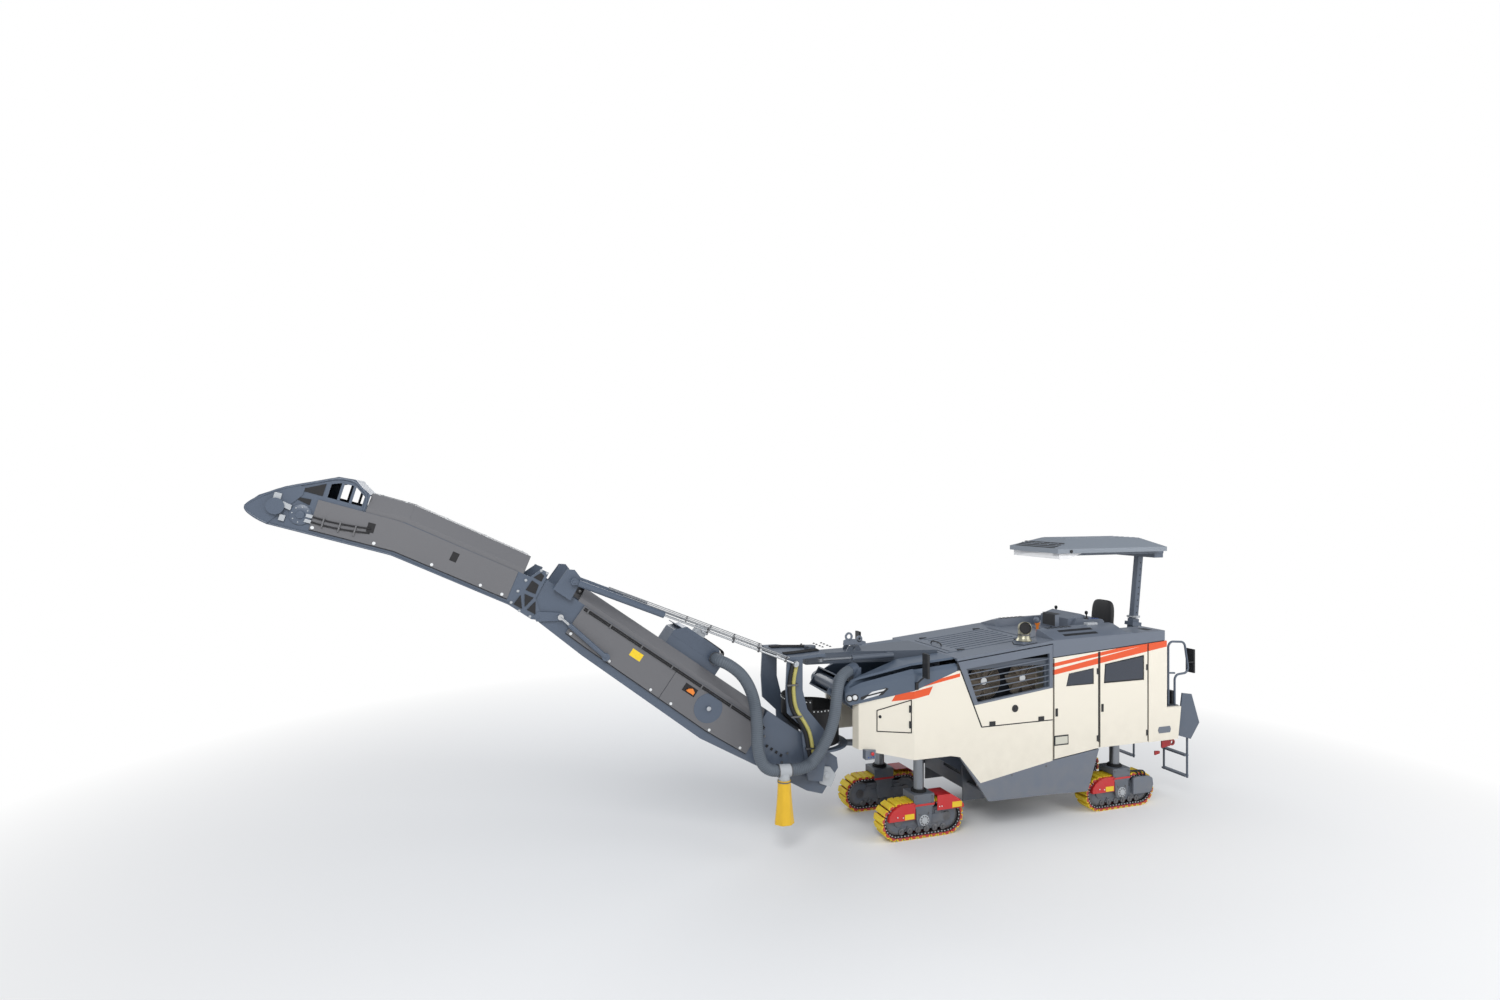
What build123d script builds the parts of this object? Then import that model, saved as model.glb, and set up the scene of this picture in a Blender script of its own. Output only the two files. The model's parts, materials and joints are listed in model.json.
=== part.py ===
from build123d import *

import os
from math import cos, hypot, radians, sin

# Cold planer: a compact road milling machine on four tracks, with a folding loading conveyor.
#
# Frame: +X forward, +Y to the machine's left, +Z up, in millimetres. The origin is on the ground
# under the middle of the overall length. Side outlines are lists of (ahead, height), where ahead is
# the distance forward of the front lifting columns.

os.makedirs("parts", exist_ok=True)

# ---------------------------------------------------------------- driving dimensions
HALF_LENGTH = 6790.0        # half of the overall length, conveyor laid out
FRONT_AXLE_X = -1790.0      # the front lifting columns, from the middle of the overall length
WHEELBASE = 3530.0
GAUGE = 1200.0              # between the track centre lines
BODY_WIDTH = 1900.0
PANEL = 50.0                # thickness of the outer panels
WALL = 30.0                 # thickness of the chassis side walls
GAP = 16.0                  # seam round a door or a flap
RUNNING = 0.5               # radial clearance of a sliding or turning fit
SEAT = 0.3                  # clearance where a piece rests on another

HALF = BODY_WIDTH / 2
WALL_OUT = HALF - PANEL     # outer face of the chassis side walls
WALL_IN = WALL_OUT - WALL
DOOR_IN = WALL_OUT + 6      # inner face of doors, clear of the wall behind them
HINGE_Y = HALF - 10         # hinge lines lie just inside the outer face
KNUCKLE_R = 9.0

# lifting legs and tracks
TRACK_LENGTH = 1330.0
TRACK_HEIGHT = 540.0
TRACK_WIDTH = 260.0
PAD = 42.0                  # thickness of a shoe
CHAIN = 40.0                # thickness of the chain under the shoes
SHOES_PER_RUN = 6           # shoes along each straight run and round each end
FORK_PLATE = 22.0           # side plates that carry the track frame
FOOT_TOP = 640.0
COLUMN_R = 75.0
SLEEVE_R = 100.0
SLEEVE_BOTTOM = 1120.0
FRONT_SLEEVE_TOP = 1950.0
REAR_SLEEVE_TOP = 2150.0
COLUMN_LENGTH = 1060.0

# milling drum and its housing
DRUM_AHEAD = -1880.0
DRUM_Z = 690.0
DRUM_Y = -330.0
DRUM_WIDTH = 1000.0
DRUM_R = 490.0              # over the tool tips
CORE_R = 400.0
TOOL_R = 20.0
SHAFT_R = 110.0
HOUSING_FRONT = -980.0
HOUSING_REAR = -2780.0
HOUSING_BOTTOM = 250.0
DECK_Z = 1300.0             # underside of the engine deck, on which the housing hangs
DECK = 30.0
SHEET = 20.0                # plate of the housing and of the covers

# operator's stand
FLOOR_Z = 1590.0
RECESS_FRONT = -3200.0
RECESS_HALF = 470.0
RECESS_WALL = 25.0
TAIL = -4450.0              # rear face of the chassis
PLATFORM_REAR = -4530.0

# side view lines of the body, rear to front
BELT_LINE = [(-4240, 2635), (-2080, 2490), (-420, 2410), (270, 2180), (1110, 1930)]
HOOD_TOP_REAR = 2800.0
HOOD_TOP_MID = 2755.0
HOOD_TOP_FRONT = 2590.0
HOOD_FRONT = -420.0
HOOD_MID = -2080.0
HOOD_REAR = -4200.0
FACET = 270.0               # the side panels turn inwards ahead of here
NOSE_AHEAD = 950.0
NOSE_HALF = 580.0
NOSE_INNER = 455.0          # the well between the two nose cheeks is open for the conveyor

# pick-up conveyor, from the drum to the nose
PICKUP_LOW = (-950.0, 880.0)
PICKUP_HIGH = (1250.0, 2220.0)
PICKUP_HALF = 320.0
PICKUP_DEPTH = 300.0

# loading conveyor: slewing frame, rear part and folding front part
SLEW_AHEAD = 1450.0
SLEW_TOP = 2630.0           # top of the fixed upper beam
ARM_IN = 490.0              # inner face of the slewing frame's arms
ARM = 30.0
LIFT_AHEAD = 1550.0
LIFT_Z = 1150.0
REAR_SLOPE = 35.5           # degrees
CONVEYOR_HALF = 420.0
PLATE = 15.0
HINGE_ALONG = 4389.0        # fold hinge, along and above the lift pivot on the rear slope
HINGE_UP = -392.0
FRONT_SLOPE = 25.5
TIP_SLOPE = 16.5
FRONT_BEND = 1880.0         # along the front part, where it turns to the tip slope
STAY_Y = 560.0
STAY_TOP = (1900.0, 2590.0)
STAY_ALONG = 4287.0
STAY_UP = 222.0
PIN_R = 25.0

# canopy
MAST_AHEAD = -4354.0        # at floor level
MAST_LEAN = 6.0             # degrees, top to the rear
MAST = 100.0
MAST_WALL = 10.0
CANOPY_FRONT = -2450.0
CANOPY_REAR = -4600.0
CANOPY_HALF = 600.0
CANOPY_EDGE_Z = 4020.0
CANOPY_RISE = 210.0

# suction hoses
HOSE_R = 80.0
TEE_Y = 660.0
TEE = [(2020.0, 1170.0), (2200.0, 1180.0)]
VESSEL_SPIGOT = (2050.0, 420.0)     # along and up the rear part
VESSEL_SPIGOT_Y = 290.0
HOSE_FRONT = [(1010, 385, 2400), (1200, 500, 2370), (1300, 600, 2130), (1340, 640, 1860), (1440, 660, 1590),
              (1610, 660, 1320), (1800, 660, 1157.8), (TEE[0][0], TEE_Y, TEE[0][1])]


# ---------------------------------------------------------------- helpers
def at(ahead, y, z):
    """Point given by its distance ahead of the front columns, its side and its height."""
    return (FRONT_AXLE_X + ahead, y, z)


def side_plane(y):
    """Plane of the side view at y: its x runs forward from the front columns, its y is height."""
    return Plane(origin=(FRONT_AXLE_X, y, 0), x_dir=(1, 0, 0), z_dir=(0, -1, 0))


def slope_plane(ahead, z, slope, y=0.0):
    """Side view plane whose x runs up a conveyor of that slope from the given point."""
    run = radians(slope)
    return Plane(origin=at(ahead, y, z), x_dir=(cos(run), 0, sin(run)), z_dir=(0, -1, 0))


def on_slope(plane, along, up, y=0.0):
    """World point of a place on a slope plane, moved to the side y."""
    point = plane.from_local_coords((along, up, 0))
    return (point.X, y, point.Z)


def write_piece(piece, label):
    """Label a finished piece and write it to its own file."""
    piece.part.label = label
    export_step(piece.part, f"parts/{label}.step")


def block(ahead, y, z, mode=Mode.ADD):
    """Box between two stations ahead, two sides y and two heights z."""
    middle = at(sum(ahead) / 2, sum(y) / 2, sum(z) / 2)
    with Locations(middle):
        Box(abs(ahead[1] - ahead[0]), abs(y[1] - y[0]), abs(z[1] - z[0]), mode=mode)


def plate(plane, points, thickness, mode=Mode.ADD, both=False):
    """Flat plate with a straight-sided outline on a plane, thickened along the plane's normal."""
    with BuildSketch(plane) as outline:
        with BuildLine():
            Polyline(*points, close=True)
        make_face()
    extrude(outline.sketch, amount=thickness, both=both, mode=mode)


def bar(start, end, radius, mode=Mode.ADD):
    """Round bar or bore between two world points."""
    run = Vector(*end) - Vector(*start)
    with BuildSketch(Plane(origin=start, z_dir=run)) as section:
        Circle(radius)
    extrude(section.sketch, amount=run.length, mode=mode)


def cross_bar(plane, along, up, radius, y_low, y_high, mode=Mode.ADD):
    """Round bar or bore across the machine, at a place on a side or slope plane."""
    bar(on_slope(plane, along, up, y_low), on_slope(plane, along, up, y_high), radius, mode)


def tube(points, bends, radius):
    """Round tube along straight runs joined by arcs of the given radii."""
    with BuildLine() as route:
        FilletPolyline(*points, radius=bends)
    with BuildSketch(Plane(origin=route.line @ 0, z_dir=route.line % 0)) as section:
        Circle(radius)
    sweep(section.sketch, path=route.line)


def line_height(line, ahead):
    """Height of a side view line at a station."""
    for (a0, z0), (a1, z1) in zip(line, line[1:]):
        if a0 <= ahead <= a1:
            return z0 + (z1 - z0) * (ahead - a0) / (a1 - a0)
    raise ValueError(f"station {ahead} is off the line")


SIDE_VIEW = side_plane(0)
REAR_VIEW = slope_plane(LIFT_AHEAD, LIFT_Z, REAR_SLOPE)
HINGE_X, _, HINGE_Z = on_slope(REAR_VIEW, HINGE_ALONG, HINGE_UP)
FRONT_VIEW = slope_plane(HINGE_X - FRONT_AXLE_X, HINGE_Z, FRONT_SLOPE)
BEND_X, _, BEND_Z = on_slope(FRONT_VIEW, FRONT_BEND, 0)
TIP_VIEW = slope_plane(BEND_X - FRONT_AXLE_X, BEND_Z, TIP_SLOPE)
LEGS = [                    # name, ahead, side
    ("front_left", 0.0, 1),
    ("front_right", 0.0, -1),
    ("rear_left", -WHEELBASE, 1),
    ("rear_right", -WHEELBASE, -1),
]

# ---------------------------------------------------------------- chassis
ARCH_REAR = -150.0          # cross member over the pick-up conveyor
ARCH_FRONT = 50.0
ARCH_LOW = 1700.0
ARCH_HIGH = 1860.0
TOWER_IN = 480.0
TOWER_REACH = 120.0         # half length of the towers that hold the sleeves
BEAM_HALF = 110.0
BEAM_LOW = 2470.0
STRUT_HALF = 62.0           # central strut that carries the lower slewing shoe
SHOE_TOP = 1300.0
SHOE = 24.0
SHOE_IN = 400.0
SHOE_OUT = 475.0
SHOE_SPREAD = 10.0          # degrees to each side of straight back

WALL_OUTLINE = [
    (240, 1240), (240, 2130), (-420, 2380), (-420, 2500), (-4230, 2500), (-4230, 1560),
    (TAIL, 1560), (TAIL, 1120), (-2900, 1120), (-2700, 520), (-1010, 520), (-560, 1120),
    (-330, 1240),
]
FLAP = [(-2069, 1585), (-840, 1585), (-440, 2535), (-2069, 2694)]
FLAP_BAY = [(-1960, 1660), (-900, 1660), (-640, 2330), (-640, 2400), (-1960, 2400)]
DOORS = {                   # name: rear edge, front edge
    "side_door_front": (-2915, -2085),
    "side_door_rear": (-3865, -2931),
}

with BuildPart() as chassis:
    for side in (1, -1):
        plate(side_plane(side * WALL_OUT), WALL_OUTLINE, WALL if side > 0 else -WALL)
        face = side_plane(side * (WALL_OUT + 1))
        depth = (WALL + 2) * side
        plate(face, FLAP_BAY, depth, Mode.SUBTRACT)
        for rear, front in DOORS.values():
            bay = [(rear + 60, 1180), (front - 60, 1180), (front - 60, 2420), (rear + 60, 2420)]
            plate(face, bay, depth, Mode.SUBTRACT)
        pads = [(-1900, 1600, 1640), (-1050, 1600, 1640)]
        for rear, front in list(DOORS.values())[:2 if side > 0 else 1]:
            pads += [(rear + 30, 1260, 1320), (rear + 30, 2150, 2210), (front - 30, 1700, 1760)]
        for ahead, low, high in pads:
            block((ahead - 18, ahead + 18), (side * (WALL_OUT - 1), side * (DOOR_IN - SEAT)), (low, high))
    block((-2860, -1000), (-WALL_IN, WALL_IN), (DECK_Z, DECK_Z + DECK))
    block((-2700, -1050), (245, WALL_IN), (520, 545))
    block((ARCH_REAR, ARCH_FRONT), (-WALL_IN, WALL_IN), (ARCH_LOW, ARCH_HIGH))
    block((ARCH_REAR, ARCH_FRONT), (-BEAM_HALF, BEAM_HALF), (ARCH_HIGH, BEAM_LOW))
    block((TAIL, TAIL + WALL), (-WALL_IN, WALL_IN), (1120, 1560))
    block((-WHEELBASE - 90, -WHEELBASE + 90), (-WALL_IN, WALL_IN), (1125, 1500))
    for side in (1, -1):
        block((-TOWER_REACH, TOWER_REACH), (side * TOWER_IN, side * WALL_IN), (1240, ARCH_HIGH))
    block((-10, TOWER_REACH), (-TOWER_IN - 10, TOWER_IN + 10), (1130, 1250))
    strut = [(60, 1130), (60, 1230), (SLEW_AHEAD - SHOE_IN, SHOE_TOP),
             (SLEW_AHEAD - SHOE_IN, SHOE_TOP - SHOE),
             (SLEW_AHEAD - SHOE_OUT - 30, SHOE_TOP - SHOE - 40)]
    plate(SIDE_VIEW, strut, STRUT_HALF, both=True)
    with BuildSketch(Plane(origin=at(SLEW_AHEAD, 0, SHOE_TOP - SHOE))):
        with BuildLine():
            inner = CenterArc((0, 0), SHOE_IN, 180 - SHOE_SPREAD, 2 * SHOE_SPREAD)
            outer = CenterArc((0, 0), SHOE_OUT, 180 - SHOE_SPREAD, 2 * SHOE_SPREAD)
            Line(inner @ 0, outer @ 0)
            Line(inner @ 1, outer @ 1)
        make_face()
    extrude(amount=SHOE)
    for name, ahead, side in LEGS:
        top = FRONT_SLEEVE_TOP if name.startswith("front") else REAR_SLEEVE_TOP
        with BuildSketch(Plane(origin=at(ahead, side * GAUGE / 2, SLEEVE_BOTTOM))):
            Circle(SLEEVE_R)
        extrude(amount=top - SLEEVE_BOTTOM)
    for name, ahead, side in LEGS:
        top = FRONT_SLEEVE_TOP if name.startswith("front") else REAR_SLEEVE_TOP
        foot, head = at(ahead, side * GAUGE / 2, 1000), at(ahead, side * GAUGE / 2, top + 10)
        bar(foot, head, COLUMN_R + RUNNING, Mode.SUBTRACT)
write_piece(chassis, "chassis_frame")

with BuildPart() as housing:
    block((HOUSING_REAR, HOUSING_FRONT), (-WALL_IN + 2, 240), (DECK_Z - SHEET, DECK_Z))
    for outer, inner in ((-WALL_IN + 2, -WALL_IN + 2 + SHEET), (220, 240)):
        block((HOUSING_REAR, HOUSING_FRONT), (outer, inner), (HOUSING_BOTTOM, DECK_Z))
    for rear in (HOUSING_REAR, HOUSING_FRONT - SHEET):
        block((rear, rear + SHEET), (-WALL_IN + 2, 240), (450, DECK_Z))
    block((HOUSING_FRONT - SHEET, HOUSING_FRONT), (-300, 200), (640, 1090), Mode.SUBTRACT)
    for y in (-780, 200):
        block((HOUSING_REAR - 6 + SEAT, HOUSING_REAR + 1), (y - 20, y + 20), (460, 1000))
    bar(at(DRUM_AHEAD, -HALF, DRUM_Z), at(DRUM_AHEAD, HALF, DRUM_Z), SHAFT_R + RUNNING, Mode.SUBTRACT)
write_piece(housing, "drum_housing")

SCRAPER_TRAVEL = 200.0
with BuildPart() as scraper:
    block((HOUSING_REAR - 26, HOUSING_REAR - 6), (-WALL_IN + 8, 230), (230, 830))
    block((HOUSING_REAR - 6, HOUSING_REAR + 14), (-WALL_IN + 30, 210), (230, 440 - SCRAPER_TRAVEL))
write_piece(scraper, "scraper_blade")

# ---------------------------------------------------------------- milling drum
TOOL_ROWS = 20
HOLDER = 60.0               # height of a tool holder on the drum
with BuildPart() as drum:
    bar(at(DRUM_AHEAD, DRUM_Y - DRUM_WIDTH / 2, DRUM_Z),
        at(DRUM_AHEAD, DRUM_Y + DRUM_WIDTH / 2, DRUM_Z), CORE_R)
    bar(at(DRUM_AHEAD, -WALL_IN + 2, DRUM_Z), at(DRUM_AHEAD, 260, DRUM_Z), SHAFT_R)
    seats = []
    for row in range(TOOL_ROWS):
        y = DRUM_Y + (row + 0.5 - TOOL_ROWS / 2) * (DRUM_WIDTH - 30) / TOOL_ROWS
        lead = 60 * (row % 2) + abs(row + 0.5 - TOOL_ROWS / 2) * 14
        for start in (0, 120, 240):
            turn = radians(start + lead)
            reach = CORE_R - 10
            seat = at(DRUM_AHEAD + sin(turn) * reach, y, DRUM_Z + cos(turn) * reach)
            seats.append(Plane(origin=seat, x_dir=(0, 1, 0), z_dir=(sin(turn), 0, cos(turn))).location)
    with Locations(*seats):
        Box(2 * TOOL_R, 3 * TOOL_R, HOLDER, align=(Align.CENTER, Align.CENTER, Align.MIN))
        Cone(0.8 * TOOL_R, 0.3 * TOOL_R, DRUM_R - CORE_R + 10, align=(Align.CENTER, Align.CENTER, Align.MIN))
write_piece(drum, "milling_drum")

# ---------------------------------------------------------------- lifting legs and tracks
END_R = TRACK_HEIGHT / 2
RUN = TRACK_LENGTH - TRACK_HEIGHT
LOOP_IN = END_R - PAD - CHAIN
FRAME_R = LOOP_IN - SEAT
FORK_IN = TRACK_WIDTH / 2 + 8
FORK_OUT = FORK_IN + FORK_PLATE
GUARD_R = END_R + 14

for name, ahead, side in LEGS:
    centre_y = side * GAUGE / 2
    track_view = Plane(origin=at(ahead, centre_y, END_R), x_dir=(1, 0, 0), z_dir=(0, -1, 0))

    with BuildPart() as column:
        with BuildSketch(Plane(origin=at(ahead, centre_y, FOOT_TOP + RUNNING))):
            Circle(COLUMN_R)
        extrude(amount=COLUMN_LENGTH)
        bar(at(ahead, centre_y, FOOT_TOP + 60), at(ahead, centre_y, FOOT_TOP + COLUMN_LENGTH + 10),
            COLUMN_R - 16, Mode.SUBTRACT)
    write_piece(column, f"lifting_column_{name}")

    with BuildPart() as loop:
        with BuildSketch(track_view):
            SlotCenterToCenter(RUN, 2 * END_R)
            SlotCenterToCenter(RUN, 2 * LOOP_IN, mode=Mode.SUBTRACT)
        extrude(amount=TRACK_WIDTH / 2, both=True)
        with BuildSketch(track_view):
            for run_side in (1, -1):
                for shoe in range(1, SHOES_PER_RUN):
                    with Locations((RUN * (shoe / SHOES_PER_RUN - 0.5), run_side * (END_R - PAD / 2))):
                        Rectangle(14, PAD)
            for end in (1, -1):
                with Locations((end * RUN / 2, 0)):
                    with PolarLocations(END_R - PAD / 2, SHOES_PER_RUN + 1, 90 - 90 * (end + 1),
                                        180, endpoint=True):
                        Rectangle(PAD, 14)
        extrude(amount=TRACK_WIDTH / 2 + 1, both=True, mode=Mode.SUBTRACT)
    write_piece(loop, f"track_{name}")

    with BuildPart() as carrier:
        with BuildSketch(track_view):
            SlotCenterToCenter(RUN, 2 * FRAME_R)
        extrude(amount=TRACK_WIDTH / 2 - 14, both=True)
        with BuildSketch(track_view):
            Circle(70)
        extrude(amount=FORK_OUT + 10, both=True)
        for fork in (1, -1):
            fork_plane = Plane(origin=at(ahead, centre_y + fork * FORK_OUT, 0), x_dir=(1, 0, 0),
                               z_dir=(0, -1, 0))
            outline = [(-110, 190), (110, 190), (190, 420), (190, FOOT_TOP), (-190, FOOT_TOP), (-190, 420)]
            plate(fork_plane, outline, fork * FORK_PLATE)
        block((ahead - 190, ahead + 190), (centre_y - FORK_OUT, centre_y + FORK_OUT),
              (2 * END_R + 12, FOOT_TOP))
        for end in (1, -1):
            with BuildSketch(track_view):
                with Locations((end * RUN / 2, 0)):
                    Circle(GUARD_R + 16)
                    Circle(GUARD_R, mode=Mode.SUBTRACT)
                with Locations((end * RUN / 2, -END_R)):
                    Rectangle(4 * END_R, 2 * END_R + 260, mode=Mode.SUBTRACT)
                with Locations((end * (RUN / 2 - 1.5 * END_R), 0)):
                    Rectangle(3 * END_R, 4 * END_R, mode=Mode.SUBTRACT)
                with Locations((end * (RUN / 4 + 60), GUARD_R + 8)):
                    Rectangle(RUN / 2 - 110, 16)
            extrude(amount=FORK_OUT, both=True)
            reach = end * RUN / 2
            foot = 130.0
            web = [(end * 185, GUARD_R - 95), (reach, GUARD_R - 95), (reach + end * 200, foot),
                   (reach + end * 255, foot), (reach + end * 120, GUARD_R - 20), (reach, GUARD_R + 10),
                   (end * 185, GUARD_R + 10)]
            for fork in (1, -1):
                web_plane = Plane(origin=at(ahead, centre_y + fork * FORK_OUT, END_R), x_dir=(1, 0, 0),
                                  z_dir=(0, -1, 0))
                plate(web_plane, web, fork * FORK_PLATE / 2)
    write_piece(carrier, f"track_frame_{name}")

# ---------------------------------------------------------------- body panels
SKIRT_LINE = [(-2920, 1062), (-2065, 968), (-810, 772), (-470, 1180)]
NOSE_FRONT = NOSE_AHEAD + 35
GRILLE = [(-2010, 2075), (-765, 1935), (-575, 2430), (-2010, 2570)]
GRILLE_BARS = 5
WINDOWS = {
    "side_door_front": [(-2825, 2055), (-2310, 2055), (-2360, 2245), (-2825, 2300)],
    "side_door_rear": [(-3790, 2050), (-3010, 2050), (-3030, 2345), (-3790, 2440)],
}
FACET_PLANE = Plane(origin=at(FACET, HALF, 0), x_dir=(NOSE_AHEAD - FACET, NOSE_HALF - HALF, 0),
                    z_dir=(NOSE_HALF - HALF, FACET - NOSE_AHEAD, 0))
STORAGE_DOOR = [(50, 1600), (510, 1600), (510, 1880), (50, 2040)]


def grown(points, amount):
    """Outline moved outwards by an even seam."""
    with BuildSketch() as outline:
        with BuildLine():
            Polyline(*points, close=True)
        make_face()
        offset(amount=amount, kind=Kind.INTERSECTION)
    return outline.sketch


def panel_front():
    """Side view outline of the cream panel ahead of the doors and below the flap."""
    flap_edge = FLAP[1][0] + GAP * 1.1
    return [(-2065, 968), (-810, 772), (-470, 1180), (-320, 1212), (FACET, 1212), (NOSE_FRONT, 1330),
            (NOSE_FRONT, line_height(BELT_LINE, NOSE_FRONT)), (FACET, line_height(BELT_LINE, FACET)),
            (-420, 2410), (-475, 2412), (flap_edge, FLAP[1][1] - GAP), (-2065, FLAP[1][1] - GAP)]


with BuildPart() as panels:
    with BuildSketch(Plane.XY.offset(700)):
        with BuildLine():
            Polyline(at(-2065, HALF, 0)[:2], at(FACET, HALF, 0)[:2], at(NOSE_AHEAD, NOSE_HALF, 0)[:2],
                     at(NOSE_FRONT, NOSE_INNER, 0)[:2])
            offset(amount=PANEL, side=Side.RIGHT, kind=Kind.INTERSECTION)
        make_face()
    extrude(amount=2000)
    plate(SIDE_VIEW, panel_front(), BODY_WIDTH, Mode.INTERSECT, both=True)
    tail_panel = [(-3881, 1070), (-3881, line_height(BELT_LINE, -3881)), (-4240, 2635), (-4240, 1585),
                  (PLATFORM_REAR, 1580), (-4470, 1070)]
    plate(side_plane(HALF), tail_panel, PANEL)
    mirror(about=Plane.XZ)
    for margin, depth in ((GAP, HALF - DOOR_IN + SEAT), (GAP, -10), (-25, PANEL + 30)):
        with BuildSketch(FACET_PLANE) as cut:
            add(grown(STORAGE_DOOR, margin))
        extrude(cut.sketch, amount=depth, mode=Mode.SUBTRACT)
    far_panel = [(-3881, 1070), (-2931, 1070), (-2931, line_height(BELT_LINE, -2931)),
                 (-3881, line_height(BELT_LINE, -3881))]
    plate(side_plane(-WALL_OUT), far_panel, PANEL)
    plate(side_plane(-WALL_OUT + 1), WINDOWS["side_door_rear"], PANEL + 2, Mode.SUBTRACT)
write_piece(panels, "side_panels")

with BuildPart() as skirts:
    skirt = SKIRT_LINE[::-1] + [(-2710, 440), (-2000, 470), (-950, 490)]
    plate(side_plane(HALF), skirt, PANEL)
    mirror(about=Plane.XZ)
write_piece(skirts, "lower_skirts")


def hinge_knuckles(ends, axis_point, axis):
    """Short hinge barrels at the given places along a hinge line."""
    for place in ends:
        start = Vector(*axis_point) + Vector(*axis) * place
        bar(tuple(start), tuple(start + Vector(*axis) * 90), KNUCKLE_R)


for label, key, side in (("side_door_front_left", "side_door_front", 1),
                         ("side_door_rear_left", "side_door_rear", 1),
                         ("side_door_right", "side_door_front", -1)):
    rear, front = DOORS[key]
    low_rear = line_height(SKIRT_LINE, max(rear, -2920)) + GAP
    low_front = line_height(SKIRT_LINE, max(front, -2920)) + GAP
    with BuildPart() as door:
        outer = side_plane(side * HALF)
        depth = side * (HALF - DOOR_IN)
        outline = [(rear, low_rear), (front, low_front), (front, line_height(BELT_LINE, front)),
                   (rear, line_height(BELT_LINE, rear))]
        plate(outer, outline, depth)
        plate(side_plane(side * (HALF + 1)), WINDOWS[key], depth * 1.1, Mode.SUBTRACT)
        hinge_knuckles((1180, 2200), at(rear, side * HINGE_Y, 0), (0, 0, 1))
    write_piece(door, label)

with BuildPart() as storage_door:
    with BuildSketch(FACET_PLANE) as outline:
        with BuildLine():
            Polyline(*STORAGE_DOOR, close=True)
        make_face()
    extrude(amount=HALF - DOOR_IN)
    hinge_at = FACET_PLANE.from_local_coords((STORAGE_DOOR[0][0], 0, HALF - HINGE_Y))
    hinge_knuckles((1660, 1880), (hinge_at.X, hinge_at.Y, 0), (0, 0, 1))
write_piece(storage_door, "storage_door")

for label, side in (("cooler_flap_left", 1), ("air_flap_right", -1)):
    with BuildPart() as flap:
        depth = side * (HALF - DOOR_IN)
        plate(side_plane(side * HALF), FLAP, depth)
        plate(side_plane(side * (HALF + 1)), GRILLE, depth * 1.1, Mode.SUBTRACT)
        for row in range(1, GRILLE_BARS + 1):
            share = row / (GRILLE_BARS + 1)
            rear_z = GRILLE[0][1] + share * (GRILLE[3][1] - GRILLE[0][1])
            front_z = GRILLE[1][1] + share * (GRILLE[2][1] - GRILLE[1][1])
            front_x = GRILLE[1][0] + share * (GRILLE[2][0] - GRILLE[1][0])
            slat = [(-2020, rear_z - 9), (front_x + 8, front_z - 9), (front_x + 8, front_z + 9),
                    (-2020, rear_z + 9)]
            plate(side_plane(side * (HALF - 12)), slat, side * 24)
        hinge_knuckles((-1900, -1050), at(0, side * HINGE_Y, FLAP[0][1]), (1, 0, 0))
    write_piece(flap, label)

# ---------------------------------------------------------------- hood and nose
LID_REAR = -2045.0
LID_FRONT = -490.0
LID_HALF = 560.0
LID_SLOTS = 8
LID_HINGE_Z = 2752.0
HOOD_TOP = [(HOOD_REAR, HOOD_TOP_REAR), (HOOD_MID, HOOD_TOP_MID), (HOOD_FRONT, HOOD_TOP_FRONT)]

with BuildPart() as hood:
    low_rear = line_height(BELT_LINE, HOOD_REAR) + GAP
    low_mid = line_height(BELT_LINE, -2077) + GAP
    outline = [(HOOD_REAR, low_rear), (-2077, low_mid), (-2077, 2711), (HOOD_FRONT - 4, 2550)]
    plate(SIDE_VIEW, outline + [(HOOD_FRONT - 4, HOOD_TOP_FRONT)] + HOOD_TOP[1::-1], HALF, both=True)
    under = [(HOOD_REAR + DECK, 2000), (HOOD_REAR + DECK, HOOD_TOP_REAR - DECK),
             (HOOD_MID, HOOD_TOP_MID - DECK), (0, HOOD_TOP_FRONT - 2 * DECK), (0, 2000)]
    plate(SIDE_VIEW, under, WALL_OUT, Mode.SUBTRACT, both=True)
    block((RECESS_FRONT - RECESS_WALL, RECESS_FRONT), (-RECESS_HALF, RECESS_HALF), (FLOOR_Z, HOOD_TOP_MID))
    for side in (1, -1):
        wall = [(HOOD_REAR, FLOOR_Z), (RECESS_FRONT, FLOOR_Z), (RECESS_FRONT, 2755), (HOOD_REAR, 2780)]
        plate(side_plane(side * (RECESS_HALF + RECESS_WALL)), wall, side * RECESS_WALL)
    block((HOOD_REAR - 10, RECESS_FRONT - RECESS_WALL), (-RECESS_HALF, RECESS_HALF), (FLOOR_Z, 3000),
          Mode.SUBTRACT)
    block((LID_REAR - GAP, LID_FRONT + GAP), (-LID_HALF - GAP, LID_HALF + GAP), (2400, 3000), Mode.SUBTRACT)
    for edge, out in ((LID_REAR, -1), (LID_FRONT, 1)):
        for side in (1, -1):
            under = [(edge + out * 60, -29), (edge + out * GAP, -29), (edge + out * GAP, -35 - SEAT),
                     (edge - out * 40, -35 - SEAT), (edge - out * 40, -50), (edge + out * 60, -50)]
            ledge = [(ahead, line_height(HOOD_TOP, ahead) + drop) for ahead, drop in under]
            plate(side_plane(side * (LID_HALF - 80)), ledge, side * 80)
    block((-1800, -1600), (660, 860), (2680, 2745))
    bar(at(-1700, 760, 2700), at(-1700, 760, 3010), 45)
    bar(at(-1700, 760, 2800), at(-1700, 760, 3020), 40, Mode.SUBTRACT)
write_piece(hood, "hood_shell")

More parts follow.
